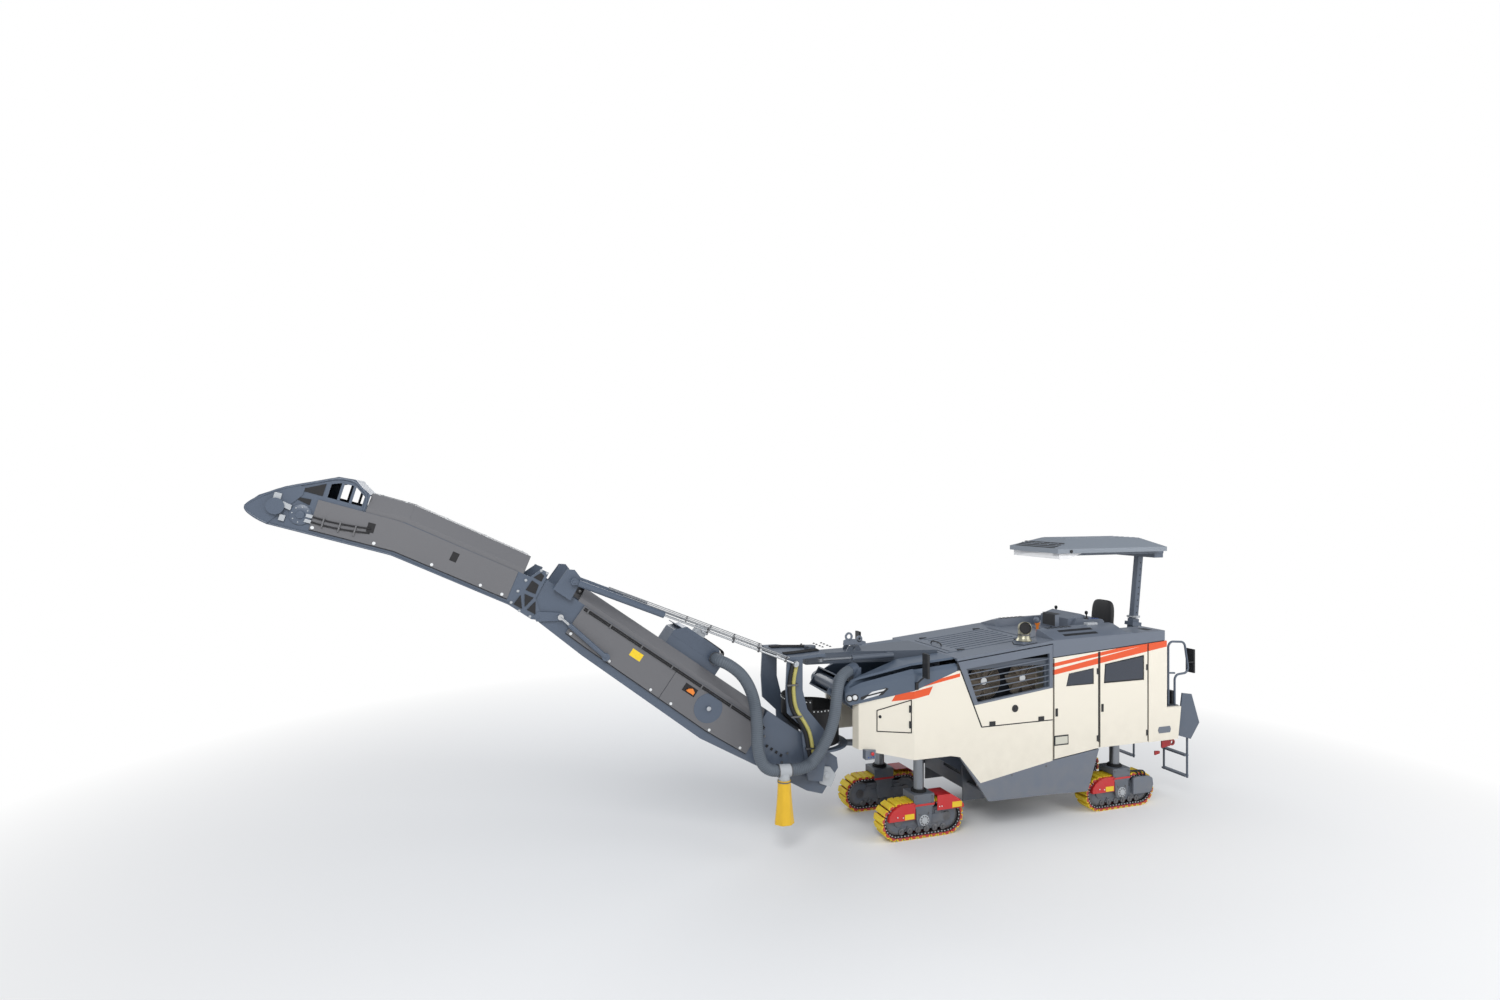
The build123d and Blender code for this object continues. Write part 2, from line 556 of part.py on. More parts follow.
with BuildPart() as lid:
    top_rear, top_front = line_height(HOOD_TOP, LID_REAR), line_height(HOOD_TOP, LID_FRONT)
    outline = [(LID_REAR, top_rear - 35), (LID_FRONT, top_front - 35), (LID_FRONT, top_front + 5),
               (LID_REAR, top_rear + 5)]
    plate(SIDE_VIEW, outline, LID_HALF, both=True)
    for slot in range(LID_SLOTS):
        y = (slot - (LID_SLOTS - 1) / 2) * 2 * (LID_HALF - 60) / LID_SLOTS
        block((LID_REAR + 220, LID_FRONT - 220), (y - 22, y + 22), (2400, 3000), Mode.SUBTRACT)
    hinge_knuckles((-400, 310), at(LID_REAR, 0, LID_HINGE_Z), (0, 1, 0))
write_piece(lid, "engine_hood")

CHEEK_TIP = 1130.0
CHEEK_TOP = [(-420, 2590), (FACET, 2540), (900, 2330), (CHEEK_TIP, 2235)]
CHEEK_PLAN = [(-420, NOSE_INNER), (-420, HALF), (FACET, HALF), (NOSE_AHEAD, 600), (CHEEK_TIP, 520),
              (CHEEK_TIP, NOSE_INNER)]
CHEEK_WELL = [(-450, NOSE_INNER + 30), (-450, WALL_OUT), (FACET - 20, WALL_OUT), (NOSE_AHEAD - 40, 565),
              (CHEEK_TIP - 70, 510), (CHEEK_TIP - 70, NOSE_INNER + 30)]


def plan_block(plan, low, high, mode=Mode.ADD):
    """Upright block over a plan outline of (ahead, side) points."""
    with BuildSketch(Plane(origin=at(0, 0, low))) as outline:
        with BuildLine():
            Polyline(*plan, close=True)
        make_face()
    extrude(outline.sketch, amount=high - low, mode=mode)


with BuildPart() as cheek_well:
    plan_block(CHEEK_WELL, 1800, 2700)
    under = [(x, z - 26) for x, z in CHEEK_TOP]
    plate(SIDE_VIEW, [(-460, 1700), (-460, 2566)] + under + [(CHEEK_TIP, 1700)], HALF + 50, Mode.INTERSECT,
          both=True)

with BuildPart() as cheeks:
    plan_block(CHEEK_PLAN, 1800, 2700)
    under = [(-420, 2411), (FACET, line_height(BELT_LINE, FACET) + 1),
             (1060, line_height(BELT_LINE, 1060) + 1),
             (CHEEK_TIP, 2010)]
    plate(SIDE_VIEW, under + CHEEK_TOP[::-1], HALF + 50, Mode.INTERSECT, both=True)
    for (a0, z0, y0), (a1, z1, y1) in (((-421, 2590, HALF), (FACET, 2540, HALF)),
                                       ((FACET, 2540, HALF), (900, 2330, 626)),
                                       ((900, 2330, 626), (CHEEK_TIP + 1, 2235, 520))):
        for ahead, z, y in ((a0, z0, y0), (a1, z1, y1)):
            with BuildSketch(Plane(origin=at(ahead, 0, 0), x_dir=(0, 1, 0), z_dir=(1, 0, 0))):
                with BuildLine():
                    Polyline((y + 5, z - 130), (y + 5, z + 30), (y - 150, z + 30), close=True)
                make_face()
        loft(ruled=True, mode=Mode.SUBTRACT)
    add(cheek_well.part, mode=Mode.SUBTRACT)
    mirror(about=Plane.XZ)
write_piece(cheeks, "nose_cheeks")

# ---------------------------------------------------------------- beam, engine and coolers
BEAM_FRONT = 1560.0
PIVOT_R = 60.0
CROSSHEAD_LOW = SLEW_TOP + 10
CROSSHEAD = 40.0
SLEW_ROD_Y = 380.0
SLEW_ROD_Z = 2585.0
SLEW_ROD_R = 20.0
SLEW_BARREL_R = 38.0

with BuildPart() as beam:
    deck = [(-415, 430), (800, 175), (BEAM_FRONT, BEAM_HALF), (BEAM_FRONT, -BEAM_HALF), (800, -175),
            (-415, -430)]
    plan_block(deck, BEAM_LOW, SLEW_TOP)
    bar(at(SLEW_AHEAD, 0, SLEW_TOP), at(SLEW_AHEAD, 0, CROSSHEAD_LOW + CROSSHEAD + 45), PIVOT_R)
    bar(at(SLEW_AHEAD, 0, CROSSHEAD_LOW + CROSSHEAD + 10), at(SLEW_AHEAD, 0, CROSSHEAD_LOW + CROSSHEAD + 45),
        PIVOT_R + 25)
    for y in (-70, 70):
        lug = [(660, SLEW_TOP), (900, SLEW_TOP), (860, SLEW_TOP + 70), (700, SLEW_TOP + 70)]
        plate(side_plane(y + 12), lug, 24)
        bar(at(780, y - 20, SLEW_TOP + 32), at(780, y + 20, SLEW_TOP + 32), 24, Mode.SUBTRACT)
    block((300, 360), (0, SLEW_ROD_Y + 20), (SLEW_ROD_Z - 30, SLEW_ROD_Z + 30))
    bar(at(300, SLEW_ROD_Y, SLEW_ROD_Z), at(960, SLEW_ROD_Y, SLEW_ROD_Z), SLEW_BARREL_R)
    bar(at(400, SLEW_ROD_Y, SLEW_ROD_Z), at(961, SLEW_ROD_Y, SLEW_ROD_Z), SLEW_ROD_R + RUNNING, Mode.SUBTRACT)
write_piece(beam, "upper_beam")

with BuildPart() as slew_rod:
    bar(at(800, SLEW_ROD_Y, SLEW_ROD_Z), at(SLEW_AHEAD, SLEW_ROD_Y, SLEW_ROD_Z), SLEW_ROD_R)
    bar(at(SLEW_AHEAD, SLEW_ROD_Y, SLEW_ROD_Z - 24), at(SLEW_AHEAD, SLEW_ROD_Y, SLEW_ROD_Z + 24), 38)
write_piece(slew_rod, "slew_cylinder_rod")

with BuildPart() as engine:
    block((-2040, -1060), (-390, 390), (DECK_Z + DECK, 2250))
    block((-1900, -1200), (-250, 250), (2250, 2380))
write_piece(engine, "engine_block")

FAN_STATIONS = (-950.0, -1620.0)
FAN_Z = 2205.0
FAN_R = 270.0
with BuildPart() as coolers:
    for side in (1, -1):
        block((-1955, -660), (side * 500, side * 700), (DECK_Z + DECK, 2470))
    block((-1955, -1600), (-501, 501), (DECK_Z + DECK, DECK_Z + DECK + 20))
    for ahead in FAN_STATIONS:
        bar(at(ahead, 699, FAN_Z), at(ahead, 830, FAN_Z), 22)
    block((-2041, -1059), (-391, 391), (DECK_Z, 1500), Mode.SUBTRACT)
write_piece(coolers, "cooling_pack")

for label, ahead in zip(("fan_front", "fan_rear"), FAN_STATIONS):
    with BuildPart() as fan:
        bar(at(ahead, 745, FAN_Z), at(ahead, 825, FAN_Z), 60)
        for turn in range(0, 360, 60):
            spoke = Plane(origin=at(ahead, 785, FAN_Z), x_dir=(cos(radians(turn)), 0, sin(radians(turn))),
                          z_dir=(0, 1, 0))
            with Locations(spoke.location):
                with Locations(Location((FAN_R / 2 + 20, 0, 0), (25, 0, 0))):
                    Box(FAN_R - 50, 110, 8)
        bar(at(ahead, 700, FAN_Z), at(ahead, 826, FAN_Z), 22 + RUNNING, Mode.SUBTRACT)
    write_piece(fan, label)

# ---------------------------------------------------------------- operator's stand
with BuildPart() as platform:
    block((RECESS_FRONT - 1050, RECESS_FRONT), (-RECESS_HALF - RECESS_WALL, RECESS_HALF + RECESS_WALL),
          (FLOOR_Z - DECK, FLOOR_Z))
    block((PLATFORM_REAR, -4250), (-WALL_OUT, WALL_OUT), (FLOOR_Z - DECK, FLOOR_Z))
write_piece(platform, "operator_platform")

with BuildPart() as seat:
    bar(at(-3600, 0, FLOOR_Z), at(-3600, 0, FLOOR_Z + 20), 160)
    bar(at(-3600, 0, FLOOR_Z + 20), at(-3600, 0, 2300), 55)
    block((-3840, -3370), (-240, 240), (2300, 2420))
    back = [(-3740, 2400), (-3840, 2400), (-3900, 3180), (-3820, 3200)]
    plate(SIDE_VIEW, back, 230, both=True)
    for side in (1, -1):
        block((-3780, -3420), (side * 200, side * 290), (2560, 2620))
        block((-3800, -3740), (side * 200, side * 290), (2400, 2600))
write_piece(seat, "operator_seat")


def on_hood(*stations):
    """Points of the hood's top line at the given stations."""
    return [(station, line_height(HOOD_TOP, station)) for station in stations]


with BuildPart() as console:
    plate(SIDE_VIEW, on_hood(-3190, -2860) + [(-2860, 2960), (-3100, 3030), (-3190, 3000)], 330, both=True)
    for side in (1, -1):
        plate(side_plane(side * 330), on_hood(-3520, -2860) + [(-2980, 2960), (-3480, 2935), (-3520, 2900)],
              -side * 60)
        block((-3530, -3189), (side * 329, side * (RECESS_HALF + 60)), (2700, 2800), Mode.SUBTRACT)
    bar(at(-2600, 250, 2785), at(-2600, 250, 2900), 22)
    plate(SIDE_VIEW, on_hood(-2660, -2540) + [(-2540, 2790), (-2660, 2790)], 330, both=True)
    block((-2640, -2560), (110, 390), (2860, 3050))
    plate(SIDE_VIEW, on_hood(-2880, -2530) + [(-2530, 2785), (-2880, 2790)], 40, both=True)
write_piece(console, "control_console")

MAST_BASE = 124.0
MAST_LOW = 2300.0
MAST_HIGH = 3960.0
LEAN = radians(MAST_LEAN)
MAST_PLANE = Plane(origin=at(MAST_AHEAD, 0, FLOOR_Z), x_dir=(cos(LEAN), 0, sin(LEAN)),
                   z_dir=(-sin(LEAN), 0, cos(LEAN)))


def mast_tube(low, high, size, wall):
    """Square tube along the leaning mast line, between two heights above the floor."""
    with BuildSketch(MAST_PLANE.offset(low)) as section:
        Rectangle(size, size)
        Rectangle(size - 2 * wall, size - 2 * wall, mode=Mode.SUBTRACT)
    extrude(section.sketch, amount=high - low)


with BuildPart() as mast_base:
    mast_tube(-40, 1265, MAST_BASE, (MAST_BASE - MAST - 1) / 2)
    for low in (20, 1150):
        with BuildSketch(MAST_PLANE.offset(low)) as collar:
            Rectangle(MAST_BASE + 60, MAST_BASE + 60)
            Rectangle(MAST_BASE - 2, MAST_BASE - 2, mode=Mode.SUBTRACT)
        extrude(collar.sketch, amount=60)
    block((MAST_AHEAD - 130, MAST_AHEAD + 130), (-130, 130), (FLOOR_Z, FLOOR_Z + 50))
    with BuildSketch(MAST_PLANE.offset(-60)) as core:
        Rectangle(MAST + 1, MAST + 1)
    extrude(core.sketch, amount=400, mode=Mode.SUBTRACT)
    block((MAST_AHEAD - 200, MAST_AHEAD + 200), (-200, 200), (FLOOR_Z - 200, FLOOR_Z), Mode.SUBTRACT)
write_piece(mast_base, "mast_base")

RAIL_Z = CANOPY_EDGE_Z + 10
with BuildPart() as mast:
    mast_tube((MAST_LOW - FLOOR_Z) / cos(LEAN), (MAST_HIGH - FLOOR_Z) / cos(LEAN), MAST, MAST_WALL)
    block((-4700, -4520), (-420, 420), (MAST_HIGH - 60, RAIL_Z - 20))
    for side in (1, -1):
        block((-4700, CANOPY_FRONT - 80), (side * 380, side * 430), (RAIL_Z - 60, RAIL_Z - 20))
        block((CANOPY_FRONT - 140, CANOPY_FRONT - 80), (side * 380, side * 430), (RAIL_Z - 60, RAIL_Z))
        block((CANOPY_REAR + 80, CANOPY_REAR + 140), (side * 380, side * 430), (RAIL_Z - 60, RAIL_Z))
write_piece(mast, "canopy_mast")

with BuildPart() as canopy:
    for inset, mode in ((0, Mode.ADD), (SHEET, Mode.SUBTRACT)):
        drop = inset * 1.2
        edge_z = CANOPY_EDGE_Z - (1 if inset else 0)
        with BuildSketch(Plane(origin=at((CANOPY_FRONT + CANOPY_REAR) / 2, 0, edge_z))):
            Rectangle(CANOPY_FRONT - CANOPY_REAR - 2 * inset, 2 * (CANOPY_HALF - inset))
        with BuildSketch(Plane(origin=at((CANOPY_FRONT + CANOPY_REAR) / 2, 0, CANOPY_EDGE_Z + 70 - drop))):
            Rectangle(CANOPY_FRONT - CANOPY_REAR - 2 * inset, 2 * (CANOPY_HALF - inset))
        with BuildSketch(Plane(origin=at((CANOPY_FRONT + CANOPY_REAR) / 2 - 60, 0,
                                         CANOPY_EDGE_Z + CANOPY_RISE - drop))):
            Rectangle(CANOPY_FRONT - CANOPY_REAR - 700 - inset, CANOPY_HALF - inset)
        loft(ruled=True, mode=mode)
    for side in (1, -1):
        block((CANOPY_REAR + 40, CANOPY_FRONT - 40), (side * 380, side * 430), (RAIL_Z, RAIL_Z + 30))
        block((CANOPY_REAR + 300, CANOPY_REAR + 360), (side * 380, side * 599), (RAIL_Z, RAIL_Z + 30))
        block((CANOPY_FRONT - 360, CANOPY_FRONT - 300), (side * 380, side * 599), (RAIL_Z, RAIL_Z + 30))
write_piece(canopy, "canopy_roof")

# ---------------------------------------------------------------- rear access, rails and mirrors
REAR_END = -HALF_LENGTH - FRONT_AXLE_X
LADDER_AHEAD = -4810.0
TUBE_R = 17.0

with BuildPart() as ladder:
    for side in (1, -1):
        cheek = [(TAIL, 1540), (-4620, 1560), (-4650, 1760), (-4840, 1730), (REAR_END, 1260), (-4820, 1010),
                 (TAIL, 1125)]
        plate(side_plane(side * 862), cheek, side * 24)
        for y in (330, 800):
            tube([at(TAIL, side * y, 1500), at(LADDER_AHEAD, side * y, 1500),
                  at(LADDER_AHEAD, side * y, 370)],
                 90, TUBE_R)
            bar(at(TAIL, side * y, 1180), at(LADDER_AHEAD, side * y, 1180), TUBE_R)
        for z in (400, 730, 1060, 1380):
            block((LADDER_AHEAD - 30, LADDER_AHEAD + 50), (side * 330, side * 800), (z - 14, z + 14))
        bar(at(-4700, side * 790, 1500), at(-4700, side * 845, 1500), TUBE_R)
    block((TAIL - 16, TAIL), (-862, 862), (1140, 1550))
write_piece(ladder, "access_ladder")

with BuildPart() as rails:
    for side in (1, -1):
        tube([at(-4370, side * 850, FLOOR_Z), at(-4370, side * 850, 2600), at(-4700, side * 850, 2575),
              at(-4790, side * 850, 2080), at(-4500, side * 850, 2060), at(-4500, side * 850, FLOOR_Z)],
             90, TUBE_R)
        bar(at(-4370, side * 850, 2100), at(-4500, side * 850, 2090), TUBE_R - 3)
        tube([at(-4440, side * 560, FLOOR_Z), at(-4440, side * 560, 2600), at(-4700, side * 560, 2575),
              at(-4760, side * 560, 2200), at(-4440, side * 560, 2150)], 80, TUBE_R)
write_piece(rails, "handrails")

MIRROR_Y = (985.0, 1125.0)
with BuildPart() as mirrors:
    for side in (1, -1):
        block((130, 165), (side * MIRROR_Y[0], side * MIRROR_Y[1]), (2370, 2710))
        block((225, 262), (side * HALF, side * 985), (2200, 2300))
        bar(at(245, side * 970, 2285), at(150, side * 1050, 2400), 12)
    block((-4925, -4895), (690, 850), (2060, 2440))
    bar(at(-4896, 840, 2240), at(-4780.4, 850, 2240), 10)
write_piece(mirrors, "mirrors")

# ---------------------------------------------------------------- pick-up conveyor
PICKUP_SLOPE = 31.35
PICKUP_LENGTH = hypot(PICKUP_HIGH[0] - PICKUP_LOW[0], PICKUP_HIGH[1] - PICKUP_LOW[1])
PICKUP_VIEW = slope_plane(PICKUP_LOW[0], PICKUP_LOW[1], PICKUP_SLOPE)
APRON_R = 420.0
APRON = 15.0

with BuildPart() as pickup:
    half = PICKUP_DEPTH / 2
    box = [(0, -half), (PICKUP_LENGTH, -half), (PICKUP_LENGTH, half), (0, half)]
    plate(PICKUP_VIEW, box, PICKUP_HALF, both=True)
    for low, high in ((-half + SHEET, -12), (12, half - SHEET)):
        well = [(-50, low), (PICKUP_LENGTH + 50, low), (PICKUP_LENGTH + 50, high), (-50, high)]
        plate(PICKUP_VIEW, well, PICKUP_HALF - SHEET, Mode.SUBTRACT, both=True)
    block((PICKUP_LOW[0] - 300, HOUSING_FRONT + 15), (-400, 400), (500, 1300), Mode.SUBTRACT)
    cross_bar(PICKUP_VIEW, PICKUP_LENGTH - 110, 0, 105, -400, PICKUP_HALF - 10)
    cross_bar(PICKUP_VIEW, PICKUP_LENGTH - 110, 0, 125, PICKUP_HALF - 10, 405)
    for side in (1, -1):
        block((-50, 50), (side * (PICKUP_HALF - 5), side * TOWER_IN), (1400, 1500))
    block((820, 940), (220, 400), (2160, 2440))
    block((800, 960), (220, PICKUP_HALF), (2130, 2180))
    hose_start, hose_next = Vector(*at(*HOSE_FRONT[0])), Vector(*at(*HOSE_FRONT[1]))
    spigot = hose_start - (hose_next - hose_start).normalized() * 150
    bar(tuple(spigot), at(*HOSE_FRONT[0]), HOSE_R + 6)
write_piece(pickup, "pickup_conveyor")

# ---------------------------------------------------------------- slewing frame
RING_IN = 440.0
RING_OUT = 540.0
RING_LOW = SHOE_TOP + 10
RING_HIGH = RING_LOW + 30

with BuildPart() as slew:
    arm = [(1780, 2640), (2010, 2640), (2030, 2230), (2010, 1910), (1790, 1700), (1780, 1470), (1700, 950),
           (1480, 910), (1420, 1300), (1440, 1560), (1460, 1640), (1710, 1940), (1780, 2210)]
    for side in (1, -1):
        plate(side_plane(side * ARM_IN), arm, -side * ARM)
        cross_bar(SIDE_VIEW, *STAY_TOP, PIN_R, side * ARM_IN, side * (STAY_Y - 25))
        cross_bar(SIDE_VIEW, *STAY_TOP, PIN_R - 5, side * ARM_IN, side * (STAY_Y + 30))
        block((1520, 1600), (side * 340, side * (ARM_IN + 5)), (1600, 1660))
    crosshead = [(1350, -90), (1350, 90), (1380, 300), (1400, 440), (1520, 440), (1790, ARM_IN + ARM),
                 (2010, ARM_IN + ARM), (2010, -ARM_IN - ARM), (1790, -ARM_IN - ARM), (1600, -300)]
    plan_block(crosshead, CROSSHEAD_LOW, CROSSHEAD_LOW + CROSSHEAD)
    with BuildSketch(Plane(origin=at(SLEW_AHEAD, 0, RING_LOW))):
        with BuildLine():
            inner = CenterArc((0, 0), RING_IN, 85, 190)
            outer = CenterArc((0, 0), RING_OUT, 85, 190)
            Line(inner @ 0, outer @ 0)
            Line(inner @ 1, outer @ 1)
        make_face()
    extrude(amount=RING_HIGH - RING_LOW)
    bar(at(SLEW_AHEAD, 0, 1500), at(SLEW_AHEAD, 0, 1800), APRON_R + 0.3, Mode.SUBTRACT)
    bar(at(SLEW_AHEAD, 0, 2600), at(SLEW_AHEAD, 0, 2700), PIVOT_R + RUNNING, Mode.SUBTRACT)
    cross_bar(SIDE_VIEW, LIFT_AHEAD, LIFT_Z, 40 + RUNNING, -700, 700, Mode.SUBTRACT)
write_piece(slew, "slewing_frame")

with BuildPart() as apron:
    with BuildSketch(Plane(origin=at(SLEW_AHEAD, 0, 1345))):
        Circle(APRON_R)
        Circle(APRON_R - APRON, mode=Mode.SUBTRACT)
    extrude(amount=2030 - 1345)
    block((900, 1585), (-500, 500), (1880, 2100), Mode.SUBTRACT)
    plate(SIDE_VIEW, [(900, 1300), (900, 1350), (1395, 1350), (1900, 1785), (1900, 1300)], 500, Mode.SUBTRACT,
          both=True)
write_piece(apron, "chute_apron")

# ---------------------------------------------------------------- rear part of the loading conveyor
BELT_HALF = 385.0
BELT = 12.0
ROLLER_R = 138.0
REAR_ROLLERS = (-130.0, 4280.0)
REAR_BELT_UP = -130.0
COVER_START = 1040.0
COVER_END = 4080.0
COVER_LOW = 50.0
COVER_TOP = 230.0
FOLD_Y = 485.0
FOLD_LOW = (3378.0, -346.0)
FOLD_EYE = (4155.0, -238.0)
FOLD_BARREL_R = 32.0
FOLD_ROD_R = 18.0
DISC = (1801.0, -179.0)

fold_run = Vector(FOLD_EYE[0] - FOLD_LOW[0], FOLD_EYE[1] - FOLD_LOW[1], 0)
FOLD_REST = fold_run.length


def along_fold(distance):
    """Place on the fold cylinder's line, in the rear part's slope coordinates."""
    return (FOLD_LOW[0] + fold_run.X * distance / FOLD_REST, FOLD_LOW[1] + fold_run.Y * distance / FOLD_REST)


with BuildPart() as rear_frame:
    side_plate = [(-350, -300), (-350, 120), (-250, COVER_TOP), (COVER_START - 4, COVER_TOP),
                  (COVER_START - 4, COVER_LOW), (4560, COVER_LOW), (4560, -250), (4450, -400), (4330, -440),
                  (3640, -496), (1658, -569), (600, -452), (-120, -380)]
    for side in (1, -1):
        plate(slope_plane(LIFT_AHEAD, LIFT_Z, REAR_SLOPE, side * CONVEYOR_HALF), side_plate, side * PLATE)
        rail = [(600, -452), (1658, -569), (3640, -496), (4300, -440), (4300, -400), (3640, -436),
                (1658, -500), (600, -400)]
        plate(slope_plane(LIFT_AHEAD, LIFT_Z, REAR_SLOPE, side * CONVEYOR_HALF), rail, side * 55)
        cross_bar(REAR_VIEW, 0, 0, 40, side * 400, side * 545)
        cross_bar(REAR_VIEW, 0, 0, 70, side * 400, side * 470)
        cross_bar(REAR_VIEW, HINGE_ALONG, HINGE_UP, PIN_R, side * 380, side * 452)
        bracket = [(4180, 0), (4440, 0), (4440, 300), (4360, 348), (4210, 300)]
        plate(slope_plane(LIFT_AHEAD, LIFT_Z, REAR_SLOPE, side * 508), bracket, side * 20)
        for low, high in ((0, 40), (250, 290)):
            shelf = [(4200, low), (4430, low), (4430, high), (4200, high)]
            plate(slope_plane(LIFT_AHEAD, LIFT_Z, REAR_SLOPE, side * 500), shelf, side * 95)
        wing = [(4200, 0), (4430, 0), (4430, 290), (4200, 290)]
        plate(slope_plane(LIFT_AHEAD, LIFT_Z, REAR_SLOPE, side * CONVEYOR_HALF), wing, side * PLATE)
        cross_bar(REAR_VIEW, STAY_ALONG, STAY_UP, PIN_R - 5, side * 495, side * (STAY_Y + 30))
        cross_bar(REAR_VIEW, *FOLD_LOW, 50, side * 400, side * (FOLD_Y + 20))
        start = on_slope(REAR_VIEW, *along_fold(0), side * FOLD_Y)
        bar(start, on_slope(REAR_VIEW, *along_fold(640), side * FOLD_Y), FOLD_BARREL_R)
        bar(on_slope(REAR_VIEW, *along_fold(70), side * FOLD_Y),
            on_slope(REAR_VIEW, *along_fold(650), side * FOLD_Y),
            FOLD_ROD_R + RUNNING, Mode.SUBTRACT)
    pan = [(-120, -380), (600, -452), (1658, -470), (3640, -430), (4270, -404), (4270, -389), (3640, -415),
           (1658, -455), (600, -437), (-120, -365)]
    plate(REAR_VIEW, pan, CONVEYOR_HALF - 5, both=True)
    plate(REAR_VIEW, [(-350, -300), (-120, -380), (-120, -365), (-335, -290), (-335, 0), (-350, 0)],
          CONVEYOR_HALF - 5, both=True)
    for along in REAR_ROLLERS:
        cross_bar(REAR_VIEW, along, REAR_BELT_UP, ROLLER_R - 0.5, 5 - CONVEYOR_HALF, CONVEYOR_HALF - 5)
    for along in (700, 1500, 2300, 3100, 3800):
        cross_bar(REAR_VIEW, along, REAR_BELT_UP, 50, 5 - CONVEYOR_HALF, CONVEYOR_HALF - 5)
    cross_bar(REAR_VIEW, *DISC, 200, CONVEYOR_HALF - 5, CONVEYOR_HALF + 22)
write_piece(rear_frame, "conveyor_rear_frame")

with BuildPart() as belt_rear:
    for radius, mode in ((ROLLER_R + BELT, Mode.ADD), (ROLLER_R, Mode.SUBTRACT)):
        (low, high), up = REAR_ROLLERS, REAR_BELT_UP
        plate(REAR_VIEW, [(low, up - radius), (high, up - radius), (high, up + radius), (low, up + radius)],
              BELT_HALF, mode, both=True)
        for along in REAR_ROLLERS:
            cross_bar(REAR_VIEW, along, up, radius, -BELT_HALF, BELT_HALF, mode)
write_piece(belt_rear, "conveyor_rear_belt")


def cover_shell(view, low, high, half, foot, top):
    """Two-facet cover along a slope, open below: foot and top are heights on the slope plane."""
    start = view.from_local_coords((low, 0, 0))
    length = (high - low)
    for inset, mode in ((0, Mode.ADD), (PLATE, Mode.SUBTRACT)):
        section_plane = Plane(origin=start, x_dir=(0, 1, 0), z_dir=view.x_dir)
        up = 1 if section_plane.y_dir.dot(view.y_dir) > 0 else -1
        mouth = foot - (5 if inset else 0)
        outline = [(-half + inset, up * mouth), (half - inset, up * mouth),
                   (half - inset, up * (foot + 55)), (half - 110, up * (top - inset)),
                   (-half + 110, up * (top - inset)), (-half + inset, up * (foot + 55))]
        plate(section_plane, outline, length, mode)


with BuildPart() as rear_cover:
    cover_shell(REAR_VIEW, COVER_START, COVER_END, CONVEYOR_HALF, COVER_LOW, COVER_TOP)
write_piece(rear_cover, "conveyor_rear_cover")

VESSEL = (1900.0, 2750.0)
VESSEL_HALF = 230.0
VESSEL_TOP = 560.0
with BuildPart() as vessel:
    low, high = VESSEL
    shape = [(low, COVER_TOP), (high, COVER_TOP), (high, 430), (high - 130, VESSEL_TOP),
             (low + 160, VESSEL_TOP),
             (low, 400)]
    plate(REAR_VIEW, shape, VESSEL_HALF, both=True)
    cross_bar(REAR_VIEW, *VESSEL_SPIGOT, HOSE_R + 6, 200, VESSEL_SPIGOT_Y)
write_piece(vessel, "dust_vessel")

# ---------------------------------------------------------------- folding front part
FRONT_HALF = 445.0
FRONT_COVER_LOW = 420.0
FRONT_COVER_TOP = 650.0
FRONT_START = 360.0
FRONT_ROLLER_R = 110.0
FRONT_ROLLER = (560.0, 235.0)
TIP_ROLLER = (1330.0, 225.0)
TIP_UP = 145.0
TIP_END = ((HALF_LENGTH - BEND_X + TIP_UP * sin(radians(TIP_SLOPE))) / cos(radians(TIP_SLOPE)), TIP_UP)
TIP_COVER_END = 415.0


def side_points(view, points):
    """Places on a slope plane as (ahead, height) pairs of the side view."""
    found = []
    for along, up in points:
        x, _, z = on_slope(view, along, up)
        found.append((x - FRONT_AXLE_X, z))
    return found


def mitre(up):
    """Side view point of the line that runs at a height above both chords, at their bend."""
    turn = radians(FRONT_SLOPE - TIP_SLOPE)
    return side_points(FRONT_VIEW, [(FRONT_BEND + up * sin(turn / 2) / cos(turn / 2), up)])


FRONT_PLATE = (
    side_points(FRONT_VIEW, [(-40, 30), (-30, -30), (60, -55), (390, 0)])
    + mitre(0)
    + side_points(TIP_VIEW, [(1370, 0), (1455, 60), (1470, 225), (1330, FRONT_COVER_LOW)])
    + mitre(FRONT_COVER_LOW)
    + side_points(FRONT_VIEW, [(300, FRONT_COVER_LOW), (215, 560), (110, 560), (120, 200)])
)

